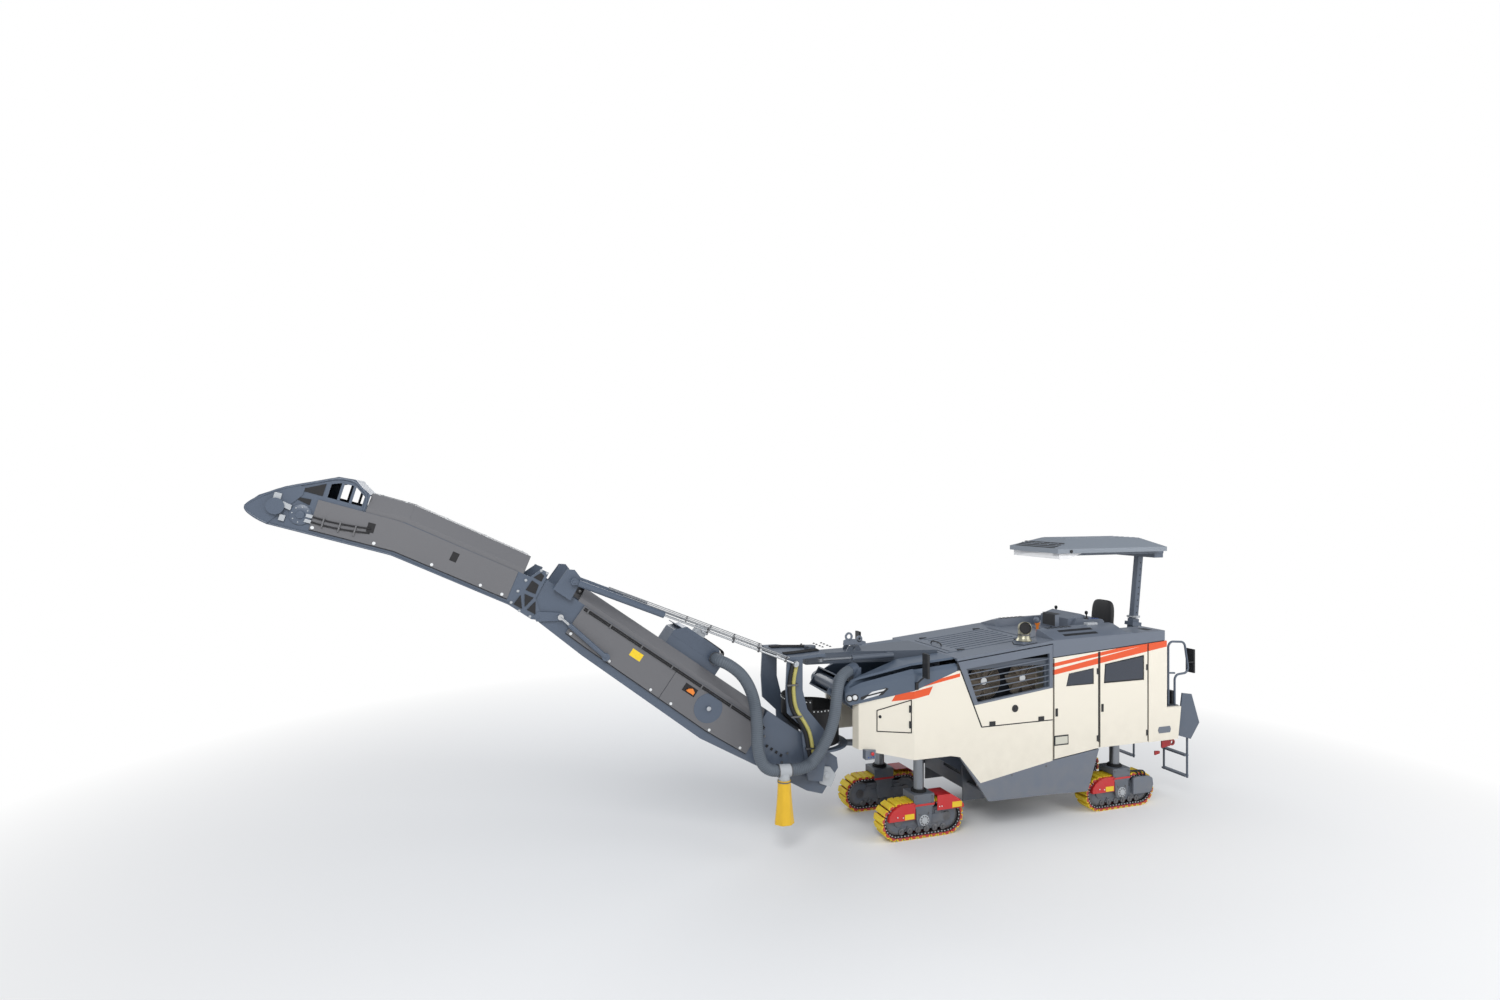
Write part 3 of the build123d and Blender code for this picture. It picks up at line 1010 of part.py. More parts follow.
with BuildPart() as front_frame:
    for side in (1, -1):
        plate(side_plane(side * FRONT_HALF), FRONT_PLATE, side * PLATE)
        lever = side_points(REAR_VIEW, [(HINGE_ALONG - 20, HINGE_UP - 55), (HINGE_ALONG + 50, HINGE_UP - 20),
                                        (HINGE_ALONG + 30, HINGE_UP + 60), (FOLD_EYE[0] + 20, FOLD_EYE[1] + 50),
                                        (FOLD_EYE[0] - 45, FOLD_EYE[1] + 20), (FOLD_EYE[0] - 30, FOLD_EYE[1] - 40)])
        plate(side_plane(side * (FRONT_HALF + 9)), lever, side * 10)
        chord = side_points(FRONT_VIEW, [(390, 0)]) + mitre(0)
        chord += side_points(TIP_VIEW, [(1370, 0), (1370, 50)])
        chord += mitre(50) + side_points(FRONT_VIEW, [(390, 50)])
        plate(side_plane(side * FRONT_HALF), chord, side * 60)
        cross_bar(REAR_VIEW, HINGE_ALONG, HINGE_UP, PIN_R + RUNNING, side * 380, side * 500, Mode.SUBTRACT)
    pan = side_points(FRONT_VIEW, [(FRONT_START, -4), (390, 0)]) + mitre(0)
    pan += side_points(TIP_VIEW, [(1370, 0), (1370, 14)]) + mitre(14)
    pan += side_points(FRONT_VIEW, [(FRONT_START, 14)])
    plate(SIDE_VIEW, pan, FRONT_HALF - 5, both=True)
    inner = FRONT_HALF - 5
    cross_bar(FRONT_VIEW, *FRONT_ROLLER, FRONT_ROLLER_R - 0.5, -inner, inner)
    cross_bar(TIP_VIEW, *TIP_ROLLER, FRONT_ROLLER_R - 0.5, -inner, inner)
    for along in (1100, 1700):
        cross_bar(FRONT_VIEW, along, FRONT_ROLLER[1], 45, -inner, inner)
    cross_bar(TIP_VIEW, 500, FRONT_ROLLER[1], 45, -inner, inner)
    cross_bar(TIP_VIEW, *TIP_ROLLER, 95, inner, FRONT_HALF + 60)
write_piece(front_frame, "conveyor_front_frame")

with BuildPart() as belt_front:
    for radius, mode in ((FRONT_ROLLER_R + BELT, Mode.ADD), (FRONT_ROLLER_R, Mode.SUBTRACT)):
        up = FRONT_ROLLER[1]
        low_a, low_b = up - radius, TIP_ROLLER[1] - radius
        loop = side_points(FRONT_VIEW, [(FRONT_ROLLER[0], up - radius)]) + mitre(low_a)
        loop += side_points(TIP_VIEW, [(TIP_ROLLER[0], low_b), (TIP_ROLLER[0], TIP_ROLLER[1] + radius)])
        loop += mitre(up + radius) + side_points(FRONT_VIEW, [(FRONT_ROLLER[0], up + radius)])
        plate(SIDE_VIEW, loop, BELT_HALF, mode, both=True)
        cross_bar(FRONT_VIEW, *FRONT_ROLLER, radius, -BELT_HALF, BELT_HALF, mode)
        cross_bar(TIP_VIEW, *TIP_ROLLER, radius, -BELT_HALF, BELT_HALF, mode)
write_piece(belt_front, "conveyor_front_belt")

with BuildPart() as front_cover:
    cover_shell(FRONT_VIEW, 390, FRONT_BEND + 35, FRONT_HALF, FRONT_COVER_LOW, FRONT_COVER_TOP)
    cover_shell(TIP_VIEW, -75, TIP_COVER_END - 4, FRONT_HALF, FRONT_COVER_LOW, FRONT_COVER_TOP)
write_piece(front_cover, "conveyor_front_cover")

GUARD = 14.0
GUARD_TOP = [(TIP_COVER_END, 628), (515, 682), (620, 755), (800, 735), (970, 640), (1300, 470), (1530, 300),
             TIP_END]
GUARD_INNER = [(TIP_END[0] - GUARD, TIP_END[1]), (1518, 290), (1292, 455), (962, 625), (797, 720), (623, 740),
               (518, 667), (TIP_COVER_END, 612)]
GUARD_WINDOW = [(470, 470), (470, 590), (600, 680), (760, 670), (850, 630), (850, 470)]
with BuildPart() as guard:
    plate(TIP_VIEW, GUARD_TOP + GUARD_INNER, FRONT_HALF, both=True)
    side_outline = [(TIP_COVER_END, FRONT_COVER_LOW)] + GUARD_TOP[:-2] + [(1330, FRONT_COVER_LOW)]
    for side in (1, -1):
        view = slope_plane(BEND_X - FRONT_AXLE_X, BEND_Z, TIP_SLOPE, side * FRONT_HALF)
        plate(view, side_outline, side * PLATE)
        plate(view, GUARD_WINDOW, side * PLATE, Mode.SUBTRACT)
write_piece(guard, "nose_guard")

# ---------------------------------------------------------------- stays and fold cylinder rods
stay_end = Vector(*on_slope(REAR_VIEW, STAY_ALONG, STAY_UP, 0))
stay_start = Vector(*at(STAY_TOP[0], 0, STAY_TOP[1]))
STAY_RUN = stay_end - stay_start
STAY_DIR = STAY_RUN.normalized()
STAY_BARREL = 1250.0
STAY_BARREL_R = 42.0
STAY_ROD_R = 15.0
STAY_BORE_R = 31.5         # wide, because the stay turns a little in its linkage
STAY_OVERLAP = 450.0


def on_stay(distance, y):
    """World point on a stay's line, measured from its upper pin."""
    point = stay_start + STAY_DIR * distance
    return (point.X, y, point.Z)


with BuildPart() as barrels:
    for side in (1, -1):
        y = side * STAY_Y
        bar(on_stay(STAY_RUN.length - STAY_BARREL, y), on_stay(STAY_RUN.length - 60, y), STAY_BARREL_R)
        bar((stay_end.X, y - 18, stay_end.Z), (stay_end.X, y + 18, stay_end.Z), 45)
        plate(Plane(origin=(stay_start.X, y, stay_start.Z), x_dir=tuple(STAY_DIR), z_dir=(0, -1, 0)),
              [(STAY_RUN.length - 90, -30), (STAY_RUN.length - 10, -30), (STAY_RUN.length - 10, 30),
               (STAY_RUN.length - 90, 30)], 18, both=True)
        bar((stay_end.X, y - 40, stay_end.Z), (stay_end.X, y + 40, stay_end.Z), PIN_R - 5 + RUNNING,
            Mode.SUBTRACT)
        bar(on_stay(STAY_RUN.length - STAY_BARREL - 1, y), on_stay(STAY_RUN.length - 200, y), STAY_BORE_R,
            Mode.SUBTRACT)
write_piece(barrels, "stay_cylinders")

with BuildPart() as rods:
    for side in (1, -1):
        y = side * STAY_Y
        bar(on_stay(0, y), on_stay(STAY_RUN.length - STAY_BARREL + STAY_OVERLAP, y), STAY_ROD_R)
        bar((stay_start.X, y - 18, stay_start.Z), (stay_start.X, y + 18, stay_start.Z), 42)
        bar((stay_start.X, y - 40, stay_start.Z), (stay_start.X, y + 40, stay_start.Z), PIN_R - 5 + RUNNING,
            Mode.SUBTRACT)
write_piece(rods, "stay_rods")

with BuildPart() as fold_rods:
    for side in (1, -1):
        y = side * FOLD_Y
        bar(on_slope(REAR_VIEW, *along_fold(90), y), on_slope(REAR_VIEW, *FOLD_EYE, y), FOLD_ROD_R)
        eye_x, _, eye_z = on_slope(REAR_VIEW, *FOLD_EYE, y)
        bar((eye_x, y - 16, eye_z), (eye_x, y + 16, eye_z), 36)
write_piece(fold_rods, "fold_cylinder_rods")

# ---------------------------------------------------------------- suction hoses
SOCK_LOW = 460.0
SOCK_HIGH = 1000.0


def bend_radii(points):
    """Largest even bend for each inner point, taking up to 0.45 of the shorter run beside it."""
    radii = []
    for before, here, after in zip(points, points[1:], points[2:]):
        run_in, run_out = Vector(*here) - Vector(*before), Vector(*after) - Vector(*here)
        half_turn = radians(run_in.get_angle(run_out)) / 2
        tangent = sin(half_turn) / cos(half_turn)
        radii.append(min(1500.0, 0.45 * min(run_in.length, run_out.length) / tangent))
    return radii


with BuildPart() as tee:
    bar(at(TEE[0][0] + 0.3, TEE_Y, TEE[0][1]), at(TEE[1][0] - 0.3, TEE_Y, TEE[1][1]), HOSE_R + 6)
    bar(at(2110, TEE_Y, SOCK_HIGH), at(2110, TEE_Y, 1175), HOSE_R)
    block((1620, 2100), (ARM_IN + ARM, TEE_Y - HOSE_R - 8), (1140, 1170))
    block((2030, 2100), (ARM_IN + ARM, TEE_Y - 60), (1140, 1170))
    with BuildSketch(Plane(origin=at(2110, TEE_Y, SOCK_LOW))):
        Circle(HOSE_R + 30)
    with BuildSketch(Plane(origin=at(2110, TEE_Y, SOCK_HIGH + 60))):
        Circle(HOSE_R + 8)
    loft()
    with BuildSketch(Plane(origin=at(2110, TEE_Y, SOCK_LOW - 1))):
        Circle(HOSE_R + 24)
    with BuildSketch(Plane(origin=at(2110, TEE_Y, SOCK_HIGH))):
        Circle(HOSE_R + 2)
    loft(mode=Mode.SUBTRACT)
write_piece(tee, "hose_tee")

vessel_x, _, vessel_z = on_slope(REAR_VIEW, *VESSEL_SPIGOT)
vessel_ahead = vessel_x - FRONT_AXLE_X
HOSE_REAR = [(TEE[1][0], TEE_Y, TEE[1][1]), (2380, 660, 1190), (2500, 655, 1480), (2490, 640, 1830),
             (2520, 600, 2180), (2650, 560, 2470), (vessel_ahead - 130, 500, vessel_z - 50),
             (vessel_ahead, 420, vessel_z), (vessel_ahead, VESSEL_SPIGOT_Y, vessel_z)]
for label, route in (("suction_hose_front", HOSE_FRONT), ("suction_hose_rear", HOSE_REAR)):
    points = [at(*place) for place in route]
    with BuildPart() as hose:
        tube(points, bend_radii(points), HOSE_R)
    write_piece(hose, label)
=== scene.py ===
"""Looks of a cold planer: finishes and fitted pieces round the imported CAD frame.

Places are in metres in the part's own frame. Side views use stations ahead of the front lifting
columns, and the conveyors use places along and above their own slopes.
"""
import json
import logging
from dataclasses import dataclass, field
from enum import Enum
from math import copysign, cos, pi, radians, sin
from typing import Iterable, Sequence

import bmesh
import bpy
from mathutils import Matrix, Vector


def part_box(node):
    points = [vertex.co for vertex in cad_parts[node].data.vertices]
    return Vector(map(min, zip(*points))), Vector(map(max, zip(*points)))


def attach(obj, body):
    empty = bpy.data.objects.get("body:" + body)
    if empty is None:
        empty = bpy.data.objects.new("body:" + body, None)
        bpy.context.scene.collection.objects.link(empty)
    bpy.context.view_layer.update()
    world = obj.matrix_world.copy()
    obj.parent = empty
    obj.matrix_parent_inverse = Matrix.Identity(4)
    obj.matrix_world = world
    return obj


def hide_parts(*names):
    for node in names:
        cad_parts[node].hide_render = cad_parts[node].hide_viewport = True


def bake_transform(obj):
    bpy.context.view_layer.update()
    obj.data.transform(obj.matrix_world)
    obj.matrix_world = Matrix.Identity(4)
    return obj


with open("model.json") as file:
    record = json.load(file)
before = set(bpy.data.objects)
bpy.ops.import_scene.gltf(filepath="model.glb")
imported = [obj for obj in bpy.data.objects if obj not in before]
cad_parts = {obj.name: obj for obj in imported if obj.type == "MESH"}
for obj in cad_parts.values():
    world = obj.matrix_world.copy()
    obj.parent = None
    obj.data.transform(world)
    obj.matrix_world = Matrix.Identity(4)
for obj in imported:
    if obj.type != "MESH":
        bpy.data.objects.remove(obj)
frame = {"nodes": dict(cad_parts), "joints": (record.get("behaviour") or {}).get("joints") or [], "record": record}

log = logging.getLogger("planer")
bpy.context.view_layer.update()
NODES = frame["nodes"]
JOINTS = {joint["name"]: joint for joint in frame["joints"]}


# ---------------------------------------------------------------- places
def middle(node: str) -> Vector:
    """Centre of a CAD node's box."""
    low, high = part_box(node)
    return (low + high) / 2


FRONT_AXLE = middle("lifting_column_front_left").x


def place(ahead: float, y: float, z: float) -> Vector:
    """Point given by its station ahead of the front columns, its side and its height."""
    return Vector((FRONT_AXLE + ahead, y, z))


def pivot(joint: str) -> Vector:
    """Point on a hinge's axis, at rest."""
    return Vector(JOINTS[joint]["pos_m"])


@dataclass(frozen=True)
class Slope:
    """Side view of a sloping sub-assembly: along it, and square above it."""
    origin: Vector
    degrees: float

    def at(self, along: float, up: float, y: float = 0.0) -> Vector:
        """Point at a place along and above the slope, moved to the side y."""
        run = radians(self.degrees)
        return Vector((self.origin.x + along * cos(run) - up * sin(run), y,
                       self.origin.z + along * sin(run) + up * cos(run)))

    @property
    def up(self) -> Vector:
        """Unit vector square to the slope."""
        return Vector((-sin(radians(self.degrees)), 0, cos(radians(self.degrees))))


FRONT_BEND = 1.88           # along the front part, where it turns to the tip slope
REAR = Slope(Vector((pivot("conveyor_lift").x, 0, pivot("conveyor_lift").z)), 35.5)
FRONT = Slope(Vector((pivot("conveyor_fold").x, 0, pivot("conveyor_fold").z)), 25.5)
TIP = Slope(FRONT.at(FRONT_BEND, 0), 16.5)
SIDE = Slope(place(0, 0, 0), 0.0)


def line_height(line: Sequence[tuple[float, float]], ahead: float) -> float:
    """Height of a side view line at a station, held level beyond its ends."""
    if ahead <= line[0][0]:
        return line[0][1]
    for (a0, z0), (a1, z1) in zip(line, line[1:]):
        if ahead <= a1:
            return z0 + (z1 - z0) * (ahead - a0) / (a1 - a0)
    return line[-1][1]


BELT_LINE = [(-4.24, 2.635), (-2.08, 2.49), (-0.42, 2.41), (0.27, 2.18), (1.11, 1.93)]
FLAP_LINE = [(-2.01, 2.045), (-0.765, 1.905)]
HULL_Y = 0.95
FACET = 0.27                # the side panels turn inwards ahead of here
FACET_END = Vector((0.95, 0.58))


def hull_side(ahead: float) -> float:
    """How far out the left side panel lies at a station."""
    if ahead <= FACET:
        return HULL_Y
    return HULL_Y + (FACET_END.y - HULL_Y) * (ahead - FACET) / (FACET_END.x - FACET)


# ---------------------------------------------------------------- shader maths
def rgb(red: int, green: int, blue: int) -> tuple[float, float, float, float]:
    """Linear colour of an eight-bit display colour."""
    def linear(value: float) -> float:
        return value / 12.92 if value <= 0.04045 else ((value + 0.055) / 1.055) ** 2.4
    return (linear(red / 255), linear(green / 255), linear(blue / 255), 1.0)


class Sock:
    """A shader value, with the arithmetic that the finishes use."""

    def __init__(self, graph: "Graph", socket: bpy.types.NodeSocket) -> None:
        """Wrap one output socket of a graph."""
        self.graph, self.socket = graph, socket

    def _math(self, operation: str, *values: "Sock | float", clamp: bool = False) -> "Sock":
        """Math node of that operation on these values."""
        return self.graph.node("ShaderNodeMath", {"operation": operation, "use_clamp": clamp},
                               dict(enumerate(values)))

    def __add__(self, other: "Sock | float") -> "Sock":
        """Sum."""
        return self._math("ADD", self, other)

    __radd__ = __add__

    def __mul__(self, other: "Sock | float") -> "Sock":
        """Product."""
        return self._math("MULTIPLY", self, other)

    __rmul__ = __mul__

    def __sub__(self, other: "Sock | float") -> "Sock":
        """Difference."""
        return self._math("SUBTRACT", self, other)

    def __rsub__(self, other: "Sock | float") -> "Sock":
        """Difference from a number."""
        return self._math("SUBTRACT", other, self)

    def wave(self) -> "Sock":
        """Sine."""
        return self._math("SINE", self)

    def size(self) -> "Sock":
        """Absolute value."""
        return self._math("ABSOLUTE", self)

    def above(self, edge: "Sock | float", soft: float = 0.001) -> "Sock":
        """Mask: 1 above an edge and 0 below it, turning over a soft width."""
        return self._math("MULTIPLY_ADD", self - edge, 1 / soft, 0.5, clamp=True)

    def between(self, low: "Sock | float", high: "Sock | float", soft: float = 0.001) -> "Sock":
        """Mask: 1 between two edges."""
        return self.above(low, soft) * (1 - self.above(high, soft))


class Graph:
    """Node tree of one material, with one method that makes any node."""

    def __init__(self, name: str) -> None:
        """Start an empty material."""
        self.material = bpy.data.materials.new(name)
        self.material.use_nodes = True
        self.tree = self.material.node_tree
        self.tree.nodes.clear()

    def node(self, kind: str, settings: dict | None = None, sockets: dict | None = None,
             output: int | str = 0) -> Sock:
        """Make a node.

        Args:
            kind: the node's type.
            settings: its properties, and "stops" for a ramp's (place, colour) pairs.
            sockets: values or links for its inputs, by name or number.
            output: which output to return.

        Returns:
            The chosen output.
        """
        made = self.tree.nodes.new(kind)
        for key, value in (settings or {}).items():
            if key != "stops":
                setattr(made, key, value)
                continue
            ramp = made.color_ramp.elements
            for index, (spot, colour) in enumerate(value):
                element = ramp[index] if index < len(ramp) else ramp.new(spot)
                element.position, element.color = spot, colour
        for key, value in (sockets or {}).items():
            if isinstance(value, Sock):
                self.tree.links.new(value.socket, made.inputs[key])
            else:
                made.inputs[key].default_value = value
        return Sock(self, made.outputs[output]) if made.outputs else Sock(self, made.inputs[0])

    def mix(self, factor: Sock | float, first: Sock | tuple, second: Sock | tuple) -> Sock:
        """Colour between two colours."""
        return self.node("ShaderNodeMix", {"data_type": "RGBA"}, {0: factor, 6: first, 7: second}, 2)

    def place(self) -> tuple[Sock, Sock, Sock]:
        """Object coordinates as three numbers."""
        split = self.node("ShaderNodeSeparateXYZ", None, {0: self.coords()})
        made = split.socket.node
        return Sock(self, made.outputs[0]), Sock(self, made.outputs[1]), Sock(self, made.outputs[2])

    def coords(self) -> Sock:
        """Object coordinates."""
        return self.node("ShaderNodeTexCoord", output="Object")

    def noise(self, scale: float, detail: float = 3.0, stretch: tuple = (1.0, 1.0, 1.0)) -> Sock:
        """Even noise from 0 to 1 on object coordinates, at a scale in waves a metre."""
        spread = self.node("ShaderNodeVectorMath", {"operation": "MULTIPLY"},
                           {0: self.coords(), 1: stretch})
        return self.node("ShaderNodeTexNoise", None, {"Vector": spread, "Scale": scale, "Detail": detail})

    def bump(self, height: Sock, distance: float) -> Sock:
        """Normal bent by a height."""
        return self.node("ShaderNodeBump", None, {"Height": height, "Distance": distance})

    def surface(self, sockets: dict) -> Sock:
        """Principled shader with these sockets, set as the surface."""
        shader = self.node("ShaderNodeBsdfPrincipled", None, sockets)
        self.output(shader)
        return shader

    def output(self, shader: Sock) -> None:
        """Use a shader as the material's surface."""
        self.node("ShaderNodeOutputMaterial", None, {"Surface": shader})


# ---------------------------------------------------------------- finishes
class Zone(Enum):
    """Where a second colour lies on a piece."""
    NONE = "none"
    STRIPES = "stripes"
    FLAP = "flap"


REAR_STRIPES = ((0.130, 2.362, 0.130, 2.418), (0.140, 2.242, 0.157, 2.318))  # fall and height of both edges
NOSE_BAND, NOSE_LINE = (0.0, 0.105), (0.135, 0.185)     # heights over the band's lower edge


@dataclass(frozen=True)
class Finish:
    """Base of the finishes: a named material built once and shared."""
    name: str
    colour: tuple[int, int, int]
    rough: float = 0.45

    def build(self) -> bpy.types.Material:
        """Material of this finish, made on first use."""
        made = bpy.data.materials.get(f"{self.name}_finish")
        if made is None:
            graph = Graph(f"{self.name}_finish")
            self.fill(graph)
            made = graph.material
        return made

    def tone(self, part: float = 1.0, lift: int = 0) -> tuple[float, float, float, float]:
        """The finish's own colour, scaled by a part and lifted."""
        return rgb(*(min(255, int(value * part + lift)) for value in self.colour))

    def fill(self, graph: Graph) -> None:
        """Lay out the finish's nodes."""
        raise NotImplementedError


@dataclass(frozen=True)
class Paint(Finish):
    """Sprayed paint: orange peel, faint road dust that gathers low down, and a second colour in a zone."""
    zone: Zone = Zone.NONE
    second: tuple[int, int, int] = (228, 82, 26)
    peel: float = 0.00012
    dust: float = 0.25
    coat: float = 0.25

    def mask(self, graph: Graph) -> Sock | None:
        """Mask of the second colour."""
        x, y, z = graph.place()
        ahead = x - FRONT_AXLE
        if self.zone is Zone.STRIPES:
            side = y.size().above(0.5)
            back = -2.09 - ahead
            slant = ahead.between(-4.3, -2.0)
            thin, thick = (z.between(back * fall0 + low, back * fall1 + high)
                           for fall0, low, fall1, high in REAR_STRIPES)
            front = 0.58 - ahead
            low_edge = front * 0.17 + 2.015
            fore = z.between(low_edge, low_edge + NOSE_BAND[1]) * (ahead + z * 0.52).between(1.13, 1.60)
            fine = z.between(low_edge + NOSE_LINE[0], low_edge + NOSE_LINE[1]) * ahead.between(-0.47, 1.0)
            return side * (slant * (thin + thick) + ahead.above(-0.5) * (fore + fine))
        if self.zone is Zone.FLAP:
            (a0, z0), (a1, z1) = FLAP_LINE
            return 1 - z.above((ahead - a0) * ((z1 - z0) / (a1 - a0)) + z0)
        return None

    def fill(self, graph: Graph) -> None:
        """Lay out the paint's nodes."""
        _, _, z = graph.place()
        cloud = graph.noise(2.3, 4)
        colour = graph.mix(cloud * 0.10, self.tone(), self.tone(0.86))
        mask = self.mask(graph)
        if mask is not None:
            colour = graph.mix(mask, colour, rgb(*self.second))
        speck = graph.noise(60, 2)
        low_down = (1 - z.above(1.0, 1.6)) * graph.noise(6, 5).above(0.5, 0.5)
        film = low_down * self.dust
        colour = graph.mix(film, colour, rgb(150, 140, 124))
        rough = speck * 0.08 + film * 0.35 + (self.rough - 0.04)
        peel = graph.noise(420, 2) * 0.6 + graph.noise(45, 3) * 0.4
        graph.surface({"Base Color": colour, "Roughness": rough, "Coat Weight": self.coat,
                       "Coat Roughness": 0.18, "Normal": graph.bump(peel, self.peel)})


@dataclass(frozen=True)
class Metal(Finish):
    """Bare or plated metal: brushed or smooth, with stains."""
    brush: tuple[float, float, float] = (1.0, 1.0, 1.0)
    stain: float = 0.3

    def fill(self, graph: Graph) -> None:
        """Lay out the metal's nodes."""
        grain = graph.noise(160, 2, self.brush)
        stains = graph.noise(9, 5).above(0.55, 0.35) * self.stain
        colour = graph.mix(grain * 0.25 + stains * 0.6, self.tone(), self.tone(0.6))
        graph.surface({"Base Color": colour, "Metallic": 1.0,
                       "Roughness": grain * 0.12 + stains * 0.3 + self.rough,
                       "Normal": graph.bump(grain, 0.00008)})


@dataclass(frozen=True)
class Rubber(Finish):
    """Rubber or urethane: fine pores, scuffs and dust in the pores."""
    pore: float = 0.0003
    scuff: float = 0.3
    weave: float = 0.0

    def fill(self, graph: Graph) -> None:
        """Lay out the rubber's nodes."""
        pores = graph.noise(380, 3)
        scuffs = graph.noise(14, 5).above(0.52, 0.3) * self.scuff
        colour = graph.mix(scuffs * 0.5, self.tone(), self.tone(1.25, 22))
        height = pores
        if self.weave:
            x, y, z = graph.place()
            height = pores * 0.4 + ((x + z) * self.weave).wave() * (y * self.weave).wave() * 0.5
        graph.surface({"Base Color": colour, "Roughness": pores * 0.1 + scuffs * 0.1 + self.rough,
                       "Normal": graph.bump(height, self.pore)})


@dataclass(frozen=True)
class Hose(Finish):
    """Flexible duct: a helix of raised wire under a dull skin, from the piece's own running length."""
    wire_pitch: float = 0.026

    def fill(self, graph: Graph) -> None:
        """Lay out the duct's nodes."""
        length = graph.node("ShaderNodeAttribute", {"attribute_name": "run"}, output="Fac")
        # Painted highlight and shade: bands along the length, lighter on the raised wire's ridges and darker
        # between its turns.
        wire_highlight_and_shade = (length * (2 * pi / self.wire_pitch)).wave() * 0.5 + 0.5
        cloud = graph.noise(12, 4)
        colour = graph.mix(wire_highlight_and_shade * 0.35 + cloud * 0.25, self.tone(0.72), self.tone())
        graph.surface({"Base Color": colour, "Roughness": cloud * 0.15 + self.rough,
                       "Normal": graph.bump(graph.noise(300, 2), 0.0003)})


@dataclass(frozen=True)
class Cloth(Finish):
    """Woven coated cloth: two crossing thread waves and soft creases."""
    thread: float = 900.0

    def fill(self, graph: Graph) -> None:
        """Lay out the cloth's nodes."""
        x, y, z = graph.place()
        weave = (x * self.thread).wave() * (z * self.thread).wave() + (y * self.thread).wave() * 0.5
        crease_and_shade = graph.noise(16, 4, (1.0, 1.0, 0.35))
        # Painted shade: the cloth is drawn darker along the crease pattern that also bends its surface.
        colour = graph.mix(crease_and_shade * 0.35, self.tone(), self.tone(0.78))
        graph.surface({"Base Color": colour, "Roughness": crease_and_shade * 0.15 + self.rough,
                       "Sheen Weight": 0.2, "Normal": graph.bump(weave * 0.15 + crease_and_shade, 0.0012)})


@dataclass(frozen=True)
class Glass(Finish):
    """Dark tinted pane with faint smears."""

    def fill(self, graph: Graph) -> None:
        """Lay out the pane's nodes."""
        smear = graph.noise(7, 4, (1.0, 1.0, 0.3))
        colour = graph.mix(smear * 0.3, self.tone(), self.tone(1.2))
        graph.surface({"Base Color": colour, "Roughness": smear * 0.08 + self.rough, "Coat Weight": 0.6,
                       "Coat Roughness": 0.04, "Normal": graph.bump(graph.noise(3, 2), 0.0004)})


@dataclass(frozen=True)
class Film(Finish):
    """Milky clear film that light passes through, with soft ripples."""
    cover: float = 0.78

    def fill(self, graph: Graph) -> None:
        """Lay out the film's nodes."""
        ripple = graph.noise(9, 3)
        graph.surface({"Base Color": graph.mix(ripple * 0.2, self.tone(), rgb(205, 208, 212)),
                       "Roughness": ripple * 0.1 + self.rough,
                       "Alpha": ripple * 0.1 + (self.cover - 0.05), "Normal": graph.bump(ripple, 0.002)})


@dataclass(frozen=True)
class Lamp(Finish):
    """Lamp lens: clear ribs over a pale reflector."""
    rib: float = 0.012

    def fill(self, graph: Graph) -> None:
        """Lay out the lens's nodes."""
        x, y, z = graph.place()
        wave = 2 * pi / self.rib
        ribs = ((x + y) * wave).wave() * (z * wave).wave() * 0.5 + 0.5
        colour = graph.mix(ribs * 0.3, self.tone(), rgb(150, 155, 160))
        graph.surface({"Base Color": colour, "Roughness": ribs * 0.1 + self.rough, "Coat Weight": 1.0,
                       "Coat Roughness": 0.03, "Normal": graph.bump(ribs, 0.001)})


CREAM = Paint("cream_paint", (238, 231, 215), 0.34, Zone.STRIPES)
FLAP_CREAM = Paint("flap_paint", (104, 112, 125), 0.38, Zone.FLAP, (238, 231, 215))
HULL_GREY = Paint("hull_grey_paint", (104, 112, 125), 0.38)
CHEEK_BLUE = Paint("cheek_blue_paint", (82, 95, 112), 0.36)
COVER_GREY = Paint("cover_grey_plastic", (104, 104, 107), 0.5, coat=0.1, peel=0.0002, dust=0.12)
RAIL_BLUE = Paint("rail_blue_paint", (80, 91, 107), 0.4, dust=0.15)
FRAME_GREY = Paint("frame_grey_paint", (84, 92, 104), 0.45)
FLOOR_GREY = Paint("stand_floor_paint", (74, 80, 90), 0.6)
TRACK_GREY = Paint("track_grey_paint", (88, 96, 108), 0.45)
GUARD_RED = Paint("guard_red_paint", (200, 28, 34), 0.36, dust=0.1)
ROOF_GREY = Paint("roof_grey_plastic", (128, 136, 146), 0.42, dust=0.0)
BLACK = Rubber("black_rubber", (26, 26, 28), 0.62)
BELT_BLACK = Rubber("belt_rubber", (38, 37, 37), 0.7, scuff=0.6, weave=700.0)
PAD = Rubber("track_pad_urethane", (226, 190, 34), 0.5, 0.0005, 0.5)
CHAIN_RED = Paint("chain_red_paint", (190, 30, 38), 0.45, coat=0.1, dust=0.35)
STOP_RED = Paint("stop_red_plastic", (200, 26, 30), 0.3, dust=0.0)
BUTTON_BLUE = Paint("button_blue_plastic", (40, 78, 150), 0.3, dust=0.0)
LABEL_YELLOW = Paint("blank_label_yellow", (238, 202, 30), 0.4, dust=0.05)
SIGNAL_ORANGE = Paint("signal_orange_plastic", (232, 130, 40), 0.4, dust=0.05)
WHITE_CAP = Paint("white_cap_plastic", (226, 228, 228), 0.4, dust=0.05)
SILVER = Paint("silver_grey_paint", (176, 180, 184), 0.36, dust=0.1)
STEEL = Metal("worked_steel", (128, 128, 130), 0.38)
COLUMN_STEEL = Metal("column_chrome", (150, 154, 160), 0.28, stain=0.1)
EXHAUST_STEEL = Metal("exhaust_steel", (186, 182, 160), 0.3, stain=0.4)
CORE_METAL = Metal("cooler_core_metal", (58, 60, 66), 0.6, stain=0.3)
GUARD_WIRE = Metal("guard_wire_metal", (150, 138, 122), 0.45)
FAN_PLASTIC = Rubber("fan_blade_plastic", (92, 86, 80), 0.6)
PLATE_CREAM = Paint("blank_plate_cream", (206, 204, 190), 0.4, dust=0.1)
CHROME = Metal("chrome_rod_metal", (214, 216, 218), 0.12, stain=0.05)
